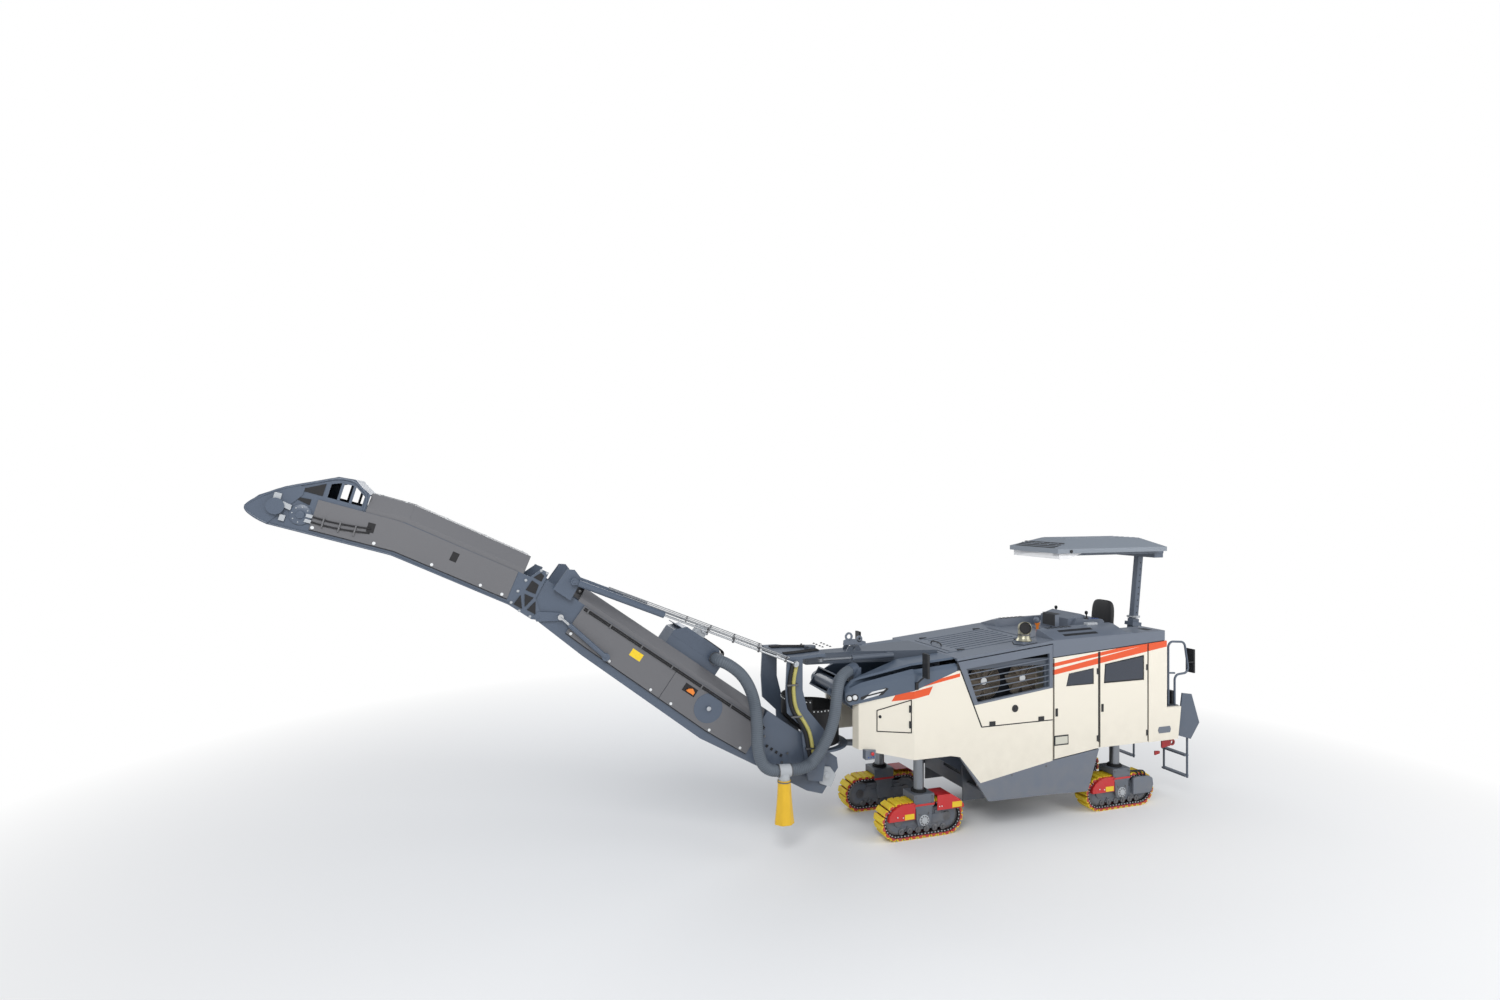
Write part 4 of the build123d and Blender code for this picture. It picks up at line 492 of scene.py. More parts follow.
CAST = Metal("cast_iron_metal", (84, 84, 86), 0.55, stain=0.6)
ROPE_STEEL = Metal("wire_rope_metal", (196, 198, 200), 0.3, (1.0, 1.0, 6.0))
DUCT = Hose("suction_duct_skin", (112, 122, 133), 0.55)
SOCK_CLOTH = Cloth("sock_cloth", (238, 190, 44), 0.7)
SEAT_CLOTH = Rubber("seat_leatherette", (32, 32, 34), 0.55, 0.0006, 0.15)
WINDOW = Glass("tinted_window_glass", (26, 37, 54), 0.2)
SCREEN = Glass("screen_glass", (30, 34, 40), 0.1)
RAIN_FILM = Film("rain_flap_film", (232, 232, 234), 0.25)
LENS = Lamp("lamp_lens", (236, 238, 238), 0.12)
PLASTIC = Rubber("black_plastic", (34, 35, 38), 0.45, 0.0001, 0.1)
YELLOW_WRAP = Rubber("hose_wrap_plastic", (176, 168, 96), 0.5)


def dress(finish: Finish, *names: str) -> None:
    """Give CAD nodes a finish."""
    for name in names:
        mesh = NODES[name].data
        if not mesh.materials:
            mesh.materials.append(None)
        for index in range(len(mesh.materials)):
            mesh.materials[index] = finish.build()
        log.info("dressed %s in %s", name, finish.name)


# ---------------------------------------------------------------- mesh building
Outline = Sequence[tuple[float, float]]
UP = Vector((0, 0, 1))
SIDES = (("left", 1), ("right", -1))
EDGE_ANGLE = radians(40)    # edges sharper than this are rounded


def sideways(side: int) -> Vector:
    """Unit vector out to a side."""
    return Vector((0, side, 0))


def oblong(a0: float, u0: float, a1: float, u1: float) -> Outline:
    """Corners of a rectangle in a side view."""
    return [(a0, u0), (a1, u0), (a1, u1), (a0, u1)]


def circle(radius: float, sides: int, distance: float = 0.0) -> list[Vector]:
    """Points round the upright axis at a distance along it."""
    turns = (2 * pi * step / sides for step in range(sides))
    return [Vector((radius * cos(turn), radius * sin(turn), distance)) for turn in turns]


def linked(name: str, data: bpy.types.ID) -> bpy.types.Object:
    """New object in the scene."""
    made = bpy.data.objects.new(name, data)
    bpy.context.scene.collection.objects.link(made)
    return made


class Shape:
    """A mesh piece grown from closed solids, each placed in the part's frame."""

    def __init__(self, name: str) -> None:
        """Start an empty piece."""
        self.name = name
        self.mesh = bmesh.new()

    def band(self, low: Sequence[bmesh.types.BMVert], high: Sequence[bmesh.types.BMVert]) -> None:
        """Join two rings of corners with a closed row of faces."""
        for here in range(len(low)):
            after = (here + 1) % len(low)
            self.mesh.faces.new((low[here], low[after], high[after], high[here]))

    def prism(self, outline: Iterable[Vector], depth: Vector) -> "Shape":
        """Add a solid: an outline in space pushed along a depth."""
        base = [self.mesh.verts.new(point) for point in outline]
        return self.skin([base, [self.mesh.verts.new(vert.co + depth) for vert in base]])

    def plate(self, view: Slope, outline: Outline, y: float, depth: float) -> "Shape":
        """Add a flat plate with an outline on a slope, from the side y outwards by a depth."""
        return self.prism([view.at(along, up, y) for along, up in outline], Vector((0, depth, 0)))

    def block(self, low: Sequence[float], high: Sequence[float]) -> "Shape":
        """Add an upright block between two corners."""
        (x0, y0, z0), (x1, y1, z1) = low, high
        return self.prism([Vector((x, y, z0)) for x, y in oblong(x0, y0, x1, y1)], Vector((0, 0, z1 - z0)))

    def rod(self, start: Vector, end: Vector, radius: float, sides: int = 24) -> "Shape":
        """Add a round bar between two points."""
        return self.lathe(start, end - start, [(radius, 0.0), (radius, (end - start).length)], sides)

    def lathe(self, start: Vector, axis: Vector, profile: Outline, sides: int = 32) -> "Shape":
        """Add a turned solid: (radius, distance) pairs along an axis from a point, closed at both ends."""
        turn = axis.to_track_quat("Z", "Y")
        return self.skin([[self.mesh.verts.new(start + turn @ spot)
                           for spot in circle(radius, sides, distance)]
                          for radius, distance in profile])

    def skin(self, rings: Sequence[Sequence[bmesh.types.BMVert]]) -> "Shape":
        """Close a row of rings of corners into one solid."""
        self.mesh.faces.new(rings[0][::-1])
        self.mesh.faces.new(rings[-1])
        for low, high in zip(rings, rings[1:]):
            self.band(low, high)
        return self

    def cushion(self, centre: Vector, half: Sequence[float], lean: float = 0.0, soft: float = 0.32,
                rows: int = 16, sides: int = 44) -> "Shape":
        """Add a rounded, stuffed block of half sizes, leaning by degrees about the side axis."""
        def bulge(value: float) -> float:
            return copysign(abs(value) ** soft, value)
        turn = Matrix.Rotation(radians(lean), 3, "Y")
        rings = []
        for row in range(rows):
            tilt = -pi / 2 + pi * (row + 0.5) / rows
            ring = []
            for step in range(sides):
                angle = 2 * pi * (step + 0.5) / sides
                spot = Vector((half[0] * bulge(cos(tilt)) * bulge(cos(angle)),
                               half[1] * bulge(cos(tilt)) * bulge(sin(angle)), half[2] * bulge(sin(tilt))))
                ring.append(self.mesh.verts.new(centre + turn @ spot))
            rings.append(ring)
        return self.skin(rings)

    def ring(self, centre: Vector, axis: Vector, outer: float, inner: float, depth: float,
             sides: int = 40) -> "Shape":
        """Add a flat ring of a depth along an axis."""
        turn = axis.to_track_quat("Z", "Y")
        rings = [[self.mesh.verts.new(centre + turn @ spot) for spot in circle(radius, sides, distance)]
                 for radius, distance in ((outer, 0), (outer, depth), (inner, depth), (inner, 0))]
        for low, high in zip(rings, rings[1:] + rings[:1]):
            self.band(low, high)
        return self

    def tube(self, points: Sequence[Vector], radius: float, sides: int = 8, closed: bool = False) -> "Shape":
        """Add a round tube along a smooth line through control points."""
        made = smooth_tube(points, radius, sides, closed)
        self.mesh.from_mesh(made)
        bpy.data.meshes.remove(made)
        return self

    def item(self) -> bpy.types.Object:
        """Close the piece as an object that is not in the scene."""
        bmesh.ops.recalc_face_normals(self.mesh, faces=self.mesh.faces)
        data = bpy.data.meshes.new(self.name)
        self.mesh.to_mesh(data)
        self.mesh.free()
        return bpy.data.objects.new(self.name, data)

    def done(self, finish: Finish, body: str, bevel: float = 0.0, replaces: Sequence[str] = (),
             sharp: float = 32.0) -> bpy.types.Object:
        """Close the piece and hand it to its body.

        Args:
            finish: what it is painted or made of.
            body: the CAD body that it moves with.
            bevel: width of its rounded edges, in metres.
            replaces: CAD nodes that it stands for.
            sharp: angle above which an edge stays sharp, in degrees.

        Returns:
            The finished object.
        """
        made = self.item()
        bpy.context.scene.collection.objects.link(made)
        return hand_over(made, finish, body, bevel, replaces, sharp)


def hand_over(made: bpy.types.Object, finish: Finish, body: str, bevel: float = 0.0,
              replaces: Sequence[str] = (), sharp: float = 32.0) -> bpy.types.Object:
    """Finish an object's edges and shading, and let it ride on its body."""
    made.data.materials.clear()
    made.data.materials.append(finish.build())
    made.data.shade_smooth()
    made.data.set_sharp_from_angle(angle=radians(sharp))
    if bevel:
        edge = made.modifiers.new("soft_edges", "BEVEL")
        edge.width, edge.segments, edge.limit_method = bevel, 2, "ANGLE"
        edge.angle_limit = EDGE_ANGLE
        edge.harden_normals = True
    if body:
        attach(made, body)
    if replaces:
        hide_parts(*replaces)
    log.info("built %s: %d faces, on %s", made.name, len(made.data.polygons), body)
    return made


def spline_curve(name: str, points: Sequence[Vector], closed: bool = False) -> bpy.types.Object:
    """Smooth NURBS curve whose control points are the given ones."""
    data = bpy.data.curves.new(name, "CURVE")
    data.dimensions = "3D"
    spline = data.splines.new("NURBS")
    spline.points.add(len(points) - 1)
    for knot, point in zip(spline.points, points):
        knot.co = (*point, 1.0)
    spline.use_cyclic_u = closed
    spline.order_u = 3
    spline.use_endpoint_u = not closed
    spline.resolution_u = 8
    return linked(name, data)


def smooth_tube(points: Sequence[Vector], radius: float, sides: int, closed: bool) -> bpy.types.Mesh:
    """Mesh of a round tube along a smooth curve."""
    curve = spline_curve("route", points, closed)
    data = curve.data
    data.bevel_depth = radius
    data.bevel_resolution = max(1, sides // 4)
    data.use_fill_caps = not closed
    mesh = bpy.data.meshes.new_from_object(curve)
    bpy.data.objects.remove(curve)
    bpy.data.curves.remove(data)
    return mesh


# ---------------------------------------------------------------- repeated pieces
class Tree:
    """Geometry Nodes tree that is run on a carrier object and kept as plain mesh."""

    def __init__(self, name: str, sockets: dict[str, str]) -> None:
        """Start a tree with these inputs after the geometry, by label and kind."""
        self.tree = bpy.data.node_groups.new(name, "GeometryNodeTree")
        face = self.tree.interface
        for label, kind in {"Geometry": "Geometry", **sockets, "Finish": "Material"}.items():
            face.new_socket(label, in_out="INPUT", socket_type=f"NodeSocket{kind}")
        face.new_socket("Geometry", in_out="OUTPUT", socket_type="NodeSocketGeometry")
        self.inputs = self.add("NodeGroupInput").outputs

    def add(self, kind: str, links: dict | None = None, **settings: object) -> bpy.types.Node:
        """Add a node with its settings and links."""
        made = self.tree.nodes.new(kind)
        for key, value in settings.items():
            setattr(made, key, value)
        for key, value in (links or {}).items():
            if isinstance(value, bpy.types.NodeSocket):
                self.tree.links.new(value, made.inputs[key])
            else:
                made.inputs[key].default_value = value
        return made

    def math(self, operation: str, *values: object) -> bpy.types.NodeSocket:
        """Math node on sockets or numbers."""
        return self.add("ShaderNodeMath", dict(enumerate(values)), operation=operation).outputs[0]

    def close(self, geometry: bpy.types.NodeSocket) -> None:
        """Make copies real, give them the finish and put them out."""
        real = self.add("GeometryNodeRealizeInstances", {0: geometry})
        painted = self.add("GeometryNodeSetMaterial", {0: real.outputs[0], "Material": self.inputs["Finish"]})
        self.add("NodeGroupOutput", {0: painted.outputs[0]})

    def run(self, carrier: bpy.types.Object, name: str, named: dict) -> bpy.types.Object:
        """Run the tree on a carrier with values for its inputs, and keep the mesh in its place."""
        modifier = carrier.modifiers.new("nodes", "NODES")
        modifier.node_group = self.tree
        for socket in self.tree.interface.items_tree:
            if socket.in_out == "INPUT" and socket.name in named:
                modifier[socket.identifier] = named[socket.name]
        bpy.context.view_layer.update()
        graph = bpy.context.evaluated_depsgraph_get()
        mesh = bpy.data.meshes.new_from_object(carrier.evaluated_get(graph))
        bpy.data.objects.remove(carrier)
        return linked(name, mesh)


class Layout(Enum):
    """How a repeated item is laid out."""
    PATH = "along a path"
    POINTS = "on chosen points"


class Repeater(Tree):
    """Lays copies of an item out."""

    def __init__(self, layout: Layout) -> None:
        """Build the tree for a layout."""
        super().__init__(f"repeat_{layout.name.lower()}",
                         {"Item": "Object", "Count": "Int", "Turn": "Vector"})
        self.layout = layout
        points, turn = self.inputs["Geometry"], self.inputs["Turn"]
        if layout is Layout.PATH:
            curve = self.add("GeometryNodeMeshToCurve", {0: points})
            even = self.add("GeometryNodeResampleCurve", {0: curve.outputs[0], "Count": self.inputs["Count"]})
            points = even.outputs[0]
            tangent = self.add("GeometryNodeInputTangent")
            turn = self.add("FunctionNodeAlignRotationToVector", {"Vector": tangent.outputs[0]}, axis="X",
                            pivot_axis="Y").outputs[0]
        item = self.add("GeometryNodeObjectInfo", {0: self.inputs["Item"]})
        copies = self.add("GeometryNodeInstanceOnPoints",
                          {"Points": points, "Instance": item.outputs["Geometry"], "Rotation": turn})
        self.close(copies.outputs[0])

    def lay(self, name: str, item: bpy.types.Object, finish: Finish, body: str, points: Sequence[Vector],
            count: int = 1, turn: tuple[float, float, float] = (0, 0, 0),
            replaces: Sequence[str] = ()) -> bpy.types.Object:
        """Lay copies of an item out and make them one plain mesh.

        Args:
            name: name of the piece.
            item: object that is copied, centred on the origin.
            finish: what the copies are made of.
            body: the CAD body that they move with.
            points: the corners of a closed path, or the chosen points.
            count: how many copies a path takes.
            turn: rotation of each copy on points, in radians.
            replaces: CAD nodes that the piece stands for.

        Returns:
            The finished object.
        """
        size = len(points)
        edges = [(k, (k + 1) % size) for k in range(size)] if self.layout is Layout.PATH else []
        data = bpy.data.meshes.new("carrier")
        data.from_pydata([tuple(point) for point in points], edges, [])
        made = self.run(linked("carrier", data), name,
                        {"Item": item, "Count": count, "Turn": turn, "Finish": finish.build()})
        return hand_over(made, finish, body, replaces=replaces)


ON_PATH, ON_POINTS = Repeater(Layout.PATH), Repeater(Layout.POINTS)


class Duct(Tree):
    """Makes a ribbed duct along a curve, with its running length as an attribute."""

    def __init__(self) -> None:
        """Build the tree."""
        super().__init__("ribbed_duct", {label: "Float" for label in ("Radius", "Rib", "Pitch")})
        even = self.add("GeometryNodeResampleCurve", {0: self.inputs[0], "Length": 0.0065}, mode="LENGTH")
        length = self.add("GeometryNodeSplineParameter").outputs["Length"]
        keep = self.add("GeometryNodeStoreNamedAttribute",
                        {0: even.outputs[0], "Name": "run", "Value": length})
        wave = self.math("SINE", self.math("MULTIPLY", self.math("DIVIDE", length, self.inputs["Pitch"]),
                                           2 * pi))
        radius = self.math("ADD", self.math("MULTIPLY", wave, self.inputs["Rib"]), self.inputs["Radius"])
        ring = self.add("GeometryNodeCurvePrimitiveCircle", {"Resolution": 28, "Radius": 1.0})
        sweep = self.add("GeometryNodeCurveToMesh", {0: keep.outputs[0], 1: ring.outputs[0], "Scale": radius,
                                                     "Fill Caps": True})
        self.close(sweep.outputs[0])

    def make(self, name: str, route: Sequence[Vector], radius: float, rib: float, pitch: float,
             finish: Finish,
             body: str, replaces: Sequence[str] = ()) -> bpy.types.Object:
        """Make a duct along a route, standing for its CAD nodes."""
        named = {"Radius": radius, "Rib": rib, "Pitch": pitch, "Finish": finish.build()}
        made = self.run(spline_curve("duct_route", route), name, named)
        return hand_over(made, finish, body, replaces=replaces, sharp=80)


def bolt_item(radius: float = 0.012, facing: Vector = UP) -> bpy.types.Object:
    """Hexagon bolt head on a washer, standing up along the way it faces."""
    head = Shape("bolt_item").lathe(facing * -0.002, facing, [(radius * 1.5, 0), (radius * 1.5, 0.004)], 12)
    cone = [(radius, 0), (radius, radius * 0.6), (radius * 0.8, radius * 0.75)]
    return head.lathe(facing * 0.002, facing, cone, 6).item()


def rivet_item(radius: float) -> bpy.types.Object:
    """Domed rivet head, round whichever way it is seen from."""
    profile = [(radius * sin(pi * k / 6), -radius * cos(pi * k / 6)) for k in range(1, 6)]
    return Shape("rivet_item").lathe(Vector((0, 0, 0)), UP, profile, 8).item()


def tile_item(size: tuple[float, float, float]) -> bpy.types.Object:
    """Flat tile with cut corners, centred."""
    x, y, z = (value / 2 for value in size)
    cut = min(x, y) * 0.25
    corners = [(-x + cut, -y), (x - cut, -y), (x, -y + cut), (x, y - cut), (x - cut, y), (-x + cut, y),
               (-x, y - cut), (-x, -y + cut)]
    return Shape("tile_item").prism([Vector((a, b, -z)) for a, b in corners], Vector((0, 0, 2 * z))).item()


def disc_item(radius: float, facing: Vector, thick: float = 0.003) -> bpy.types.Object:
    """Small stepped disc that stands out along the way it faces."""
    profile = [(radius, 0), (radius, thick), (radius * 0.7, thick + 0.001)]
    return Shape("disc_item").lathe(facing * -0.001, facing, profile, 14).item()


def mesh_sheet(name: str, rows: Sequence[Sequence[Vector]]) -> bpy.types.Object:
    """Open sheet through rows of points."""
    data = bpy.data.meshes.new(name)
    wide = len(rows[0])
    faces = [(r * wide + c, r * wide + c + 1, (r + 1) * wide + c + 1, (r + 1) * wide + c)
             for r in range(len(rows) - 1) for c in range(wide - 1)]
    data.from_pydata([tuple(spot) for row in rows for spot in row], [], faces)
    return linked(name, data)


BODY_OF = {node: body for body, nodes in frame["record"]["behaviour"]["bodies"].items() for node in nodes}


# ---------------------------------------------------------------- legs and tracks
@dataclass
class TrackUnit:
    """One crawler track: shoes, chain, rollers, hub and guards round its carrier."""
    name: str
    length: float = 1.33
    height: float = 0.54
    fork_out: float = 0.16
    guard_out: float = 0.152
    shoes: int = 28
    pad: float = 0.032
    chain_y: float = 0.095

    def __post_init__(self) -> None:
        """Take the track's place from the frame."""
        spot = middle(f"track_{self.name}")
        self.centre = Vector((spot.x, spot.y, self.height / 2))
        self.out = 1 if spot.y > 0 else -1
        self.body = BODY_OF[f"track_{self.name}"]
        self.half = (self.length - self.height) / 2
        self.node = [f"track_frame_{self.name}"]

    def loop(self, radius: float, steps: int = 14) -> list[Vector]:
        """Path round the track at a radius from its end centres, so that the outside is up."""
        points = []
        for end in (1, -1):
            for step in range(steps + 1):
                angle = pi / 2 - pi * step / steps + (0 if end > 0 else pi)
                points.append(self.centre + Vector((end * self.half + radius * cos(angle), 0,
                                                    radius * sin(angle))))
        return points

    def side_plate(self, shape: Shape, outline: Outline, y: float, depth: float) -> Shape:
        """Add a plate with an outline ahead of the axle, from the side y outwards by a depth."""
        return shape.prism([Vector((self.centre.x + a, y, z)) for a, z in outline], Vector((0, depth, 0)))

    def pads(self) -> None:
        """Urethane pads on red shoe plates and a pinned chain, each laid round the loop."""
        path = self.loop(self.height / 2 - self.pad - 0.0025)
        flat = Slope(Vector((0, 0, 0)), 0)
        outline = [(-0.047, 0), (0.047, 0), (0.047, 0.018), (0.037, self.pad), (-0.037, self.pad),
                   (-0.047, 0.018)]
        pad = Shape("pad_item").plate(flat, outline, -0.126, 0.252)
        plate = Shape("plate_item").block((-0.048, -0.1295, -0.009), (0.048, 0.1295, 0.0))
        link, pin = Shape("link_item"), Shape("pin_item")
        for side in (1, -1):
            y = side * self.chain_y
            outline = [(-0.034, 0), (0.034, 0), (0.020, 0.024), (-0.020, 0.024)]
            plate.plate(flat, outline, side * 0.1262, side * 0.0036)
            outline = [(-0.058, -0.016), (-0.042, -0.042), (0.042, -0.042), (0.058, -0.028), (0.056, -0.010),
                       (0.040, -0.009), (-0.040, -0.009)]
            link.plate(flat, outline, y - 0.020, 0.040)
            for ahead in (-0.028, 0.028):
                pin.lathe(Vector((ahead, y + side * 0.020, -0.027)), sideways(side),
                          [(0.010, 0), (0.010, 0.003), (0.006, 0.005)], 10)
        track = [f"track_{self.name}"]
        for label, shape, finish, stands_for in (("pads", pad, PAD, track),
                                                 ("shoe_plates", plate, CHAIN_RED, track),
                                                 ("chain", link, CAST, []), ("chain_pins", pin, SILVER, [])):
            ON_PATH.lay(f"{self.name}_{label}", shape.item(), finish, self.body, path, self.shoes,
                        replaces=stands_for)

    def carrier(self) -> None:
        """Side frame with rollers below, an idler, a sprocket and the forks that hold the hub."""
        x, y, _ = self.centre
        beam = Shape(f"{self.name}_carrier")
        beam.prism([Vector((spot.x, y - 0.100, spot.z)) for spot in self.loop(0.150, 16)],
                   Vector((0, 0.200, 0)))
        for low, high in (((-0.42, -0.113, -0.07), (0.42, 0.113, 0.055)),
                          ((-0.30, -0.116, 0.055), (-0.20, 0.116, 0.11)),
                          ((0.20, -0.116, 0.055), (0.30, 0.116, 0.11))):
            beam.block(self.centre + Vector(low), self.centre + Vector(high))
        beam.done(FRAME_GREY, self.body, bevel=0.004, replaces=self.node, sharp=40)
        wheels = Shape(f"{self.name}_rollers")
        roller = [(0.046, 0), (0.046, 0.050), (0.036, 0.056), (0.016, 0.056), (0.016, 0.062)]
        idler = [(0.186, 0), (0.186, 0.040), (0.168, 0.046), (0.168, 0.038), (0.070, 0.034), (0.062, 0.054),
                 (0.034, 0.056)]
        for side in (1, -1):
            axis = sideways(side)
            face = self.centre + axis * 0.060
            for step in range(6):
                wheels.lathe(face + Vector((self.half * (step / 2.5 - 1) * 0.86, 0, -0.148)), axis, roller,
                             24)
            for end in (1, -1):
                wheels.lathe(face + Vector((end * self.half, 0, 0)), axis, idler, 40)
        wheels.done(STEEL, self.body, replaces=self.node, sharp=40)
        forks = Shape(f"{self.name}_forks")
        outline = [(-0.095, 0.19), (0.095, 0.19), (0.125, 0.30), (0.130, 0.44), (0.165, 0.47), (0.165, 0.640),
                   (-0.165, 0.640), (-0.165, 0.47), (-0.130, 0.44), (-0.125, 0.30)]
        for side in (1, -1):
            self.side_plate(forks, outline, y + side * self.fork_out, -side * 0.022)
        forks.block((x - 0.165, y - 0.138, 0.552), (x + 0.165, y + 0.138, 0.640))
        forks.rod(Vector((x, y - 0.158, 0.27)), Vector((x, y + 0.158, 0.27)), 0.07)
        forks.done(TRACK_GREY, self.body, bevel=0.005, replaces=self.node, sharp=40)

    def hub(self) -> None:
        """Bolted hub cap, bolts in the fork and the red band on the foot."""
        axis, (x, y, _) = sideways(self.out), self.centre
        profile = [(0.078, 0), (0.078, 0.008), (0.066, 0.014), (0.050, 0.014), (0.044, 0.022), (0.018, 0.026)]
        hub = Shape(f"{self.name}_hub").lathe(self.centre + axis * (self.fork_out - 0.002), axis, profile)
        hub.done(SILVER, self.body, sharp=40)
        spots = [self.centre + axis * (self.fork_out + 0.012) + Vector((spot.x, 0, spot.y))
                 for spot in circle(0.058, 10)]
        ON_POINTS.lay(f"{self.name}_hub_bolts", bolt_item(0.007, axis), STEEL, self.body, spots)
        spots = [Vector((x + side * ahead, y + self.out * self.fork_out, z))
                 for ahead, z in ((0.13, 0.60), (0.13, 0.51), (0.07, 0.36)) for side in (-1, 1)]
        ON_POINTS.lay(f"{self.name}_fork_bolts", bolt_item(0.010, axis), STEEL, self.body, spots)
        band = Shape(f"{self.name}_foot_band")
        for side in (1, -1):
            band.block((x - 0.168, y + side * 0.1602, 0.478), (x + 0.168, y + side * 0.164, 0.506))
        band.done(GUARD_RED, self.body)

    def guards(self) -> None:
        """Red guards with blank yellow plates; the rear tracks have a grey motor cover in place of one."""
        x, y, out = self.centre.x, self.centre.y, self.out
        face, skin = y + out * self.guard_out, out * 0.012
        red, plates = Shape(f"{self.name}_guards"), Shape(f"{self.name}_guard_plates")
        front = [(0.145, 0.300), (0.560, 0.300), (0.548, 0.380), (0.500, 0.440), (0.420, 0.490),
                 (0.340, 0.515),
                 (0.145, 0.515)]
        edge = [(0.568, 0.300), (0.556, 0.386), (0.506, 0.448), (0.424, 0.499), (0.342, 0.525),
                (0.145, 0.525)]
        self.side_plate(red, front, face, skin)
        inner = front[1:]
        for here in range(len(edge) - 1):
            self.side_plate(red, [edge[here], edge[here + 1], inner[here + 1], inner[here]], face + skin,
                            -out * 0.085)
        plates.block((x + 0.165, face + skin, 0.310), (x + 0.315, face + out * 0.015, 0.385))
        bolts = [(0.43, 0.36), (0.34, 0.345)]
        if self.name.startswith("front"):
            side = [(-0.215, 0.385), (-0.215, 0.600), (-0.440, 0.600), (-0.585, 0.510), (-0.655, 0.430),
                    (-0.655, 0.385)]
            top = [(-0.215, 0.592), *side[1:5], (-0.648, 0.424), (-0.580, 0.502), (-0.437, 0.592)]
            self.side_plate(red, side, face, skin)
            self.side_plate(red, top, face, -out * 0.285)
            plates.block((x - 0.62, face + skin, 0.400), (x - 0.46, face + out * 0.015, 0.480))
            bolts += [(-0.25, 0.44), (-0.29, 0.44)]
        else:
            outline = [(-0.225, 0.210), (-0.225, 0.455), (-0.300, 0.480), (-0.540, 0.470), (-0.610, 0.430),
                       (-0.625, 0.330), (-0.590, 0.230), (-0.540, 0.205)]
            cover = self.side_plate(Shape(f"{self.name}_motor_cover"), outline, y + out * 0.118, out * 0.050)
            cover.done(HULL_GREY, self.body, bevel=0.010, replaces=self.node, sharp=40)
            lines = Shape(f"{self.name}_motor_lines")
            for ahead in (x - 0.33 - 0.07 * k for k in range(3)):
                lines.tube([Vector((ahead, y + out * 0.145, 0.474)), Vector((ahead, y + out * 0.145, 0.545)),
                            Vector((ahead + 0.08, y + out * 0.135, 0.570)),
                            Vector((x - 0.168, y + out * 0.125, 0.575))], 0.011)
            lines.done(BLACK, self.body, sharp=60)
        red.done(GUARD_RED, self.body, bevel=0.002, replaces=self.node, sharp=40)
        plates.done(LABEL_YELLOW, self.body)
        ON_POINTS.lay(f"{self.name}_guard_bolts", rivet_item(0.010), WHITE_CAP, self.body,
                      [Vector((x + a, face + skin, z)) for a, z in bolts])

    def leg(self) -> None:
        """Bright column and its wiper collar."""
        column = f"lifting_column_{self.name}"
        dress(COLUMN_STEEL, column)
        collar = Shape(f"{self.name}_collar")
        for z, outer, depth in ((0.643, 0.112, 0.022), (0.665, 0.096, 0.014)):
            collar.ring(Vector((self.centre.x, self.centre.y, z)), UP, outer, 0.0765, depth)
        collar.done(BLACK, BODY_OF[column], sharp=40)

    def build(self) -> None:
        """Build and dress the whole unit."""
        self.pads()
        self.carrier()
        self.hub()
        self.guards()
        self.leg()


# ---------------------------------------------------------------- body
MACHINE = "machine"
FLAPS = (("cooler_flap_left", 1), ("air_flap_right", -1))
FLAP_OUTER = ((-2.069, 1.585), (-0.840, 1.585), (-0.440, 2.535), (-2.069, 2.694))
FLAP_INNER = ((-2.010, 2.075), (-0.765, 1.935), (-0.575, 2.430), (-2.010, 2.570))
FLAP_BARS = 5
GUARD_RINGS, GUARD_SPOKES = 11, 8
DOORS = (("side_door_front_left", 1, -2.915, -2.085), ("side_door_rear_left", 1, -3.865, -2.931),
         ("side_door_right", -1, -2.915, -2.085))
DOOR_EDGES = (("side_door_front_left", 1, -2.089, 0.992), ("side_door_front_left", 1, -2.911, 1.165),
              ("side_door_rear_left", 1, -2.935, 1.09), ("side_door_rear_left", 1, -3.861, 1.09),
              ("side_door_right", -1, -2.089, 0.992), ("side_door_right", -1, -2.911, 1.165))
CHEEK_RUN = Vector((0.68, -0.35, 0)).normalized()
CHEEK_OUT = Vector((0.35, 0.68, 0)).normalized()
CHEEK_LAMPS = ((1.005, 0.5755, 2.060), (1.075, 0.5445, 2.045))


def on_cheek(ahead: float, z: float, side: int) -> Vector:
    """Point on the cheek's side face."""
    base = place(FACET, HULL_Y, z) + CHEEK_RUN * ((ahead - FACET) / CHEEK_RUN.x)
    return Vector((base.x, base.y * side, base.z))


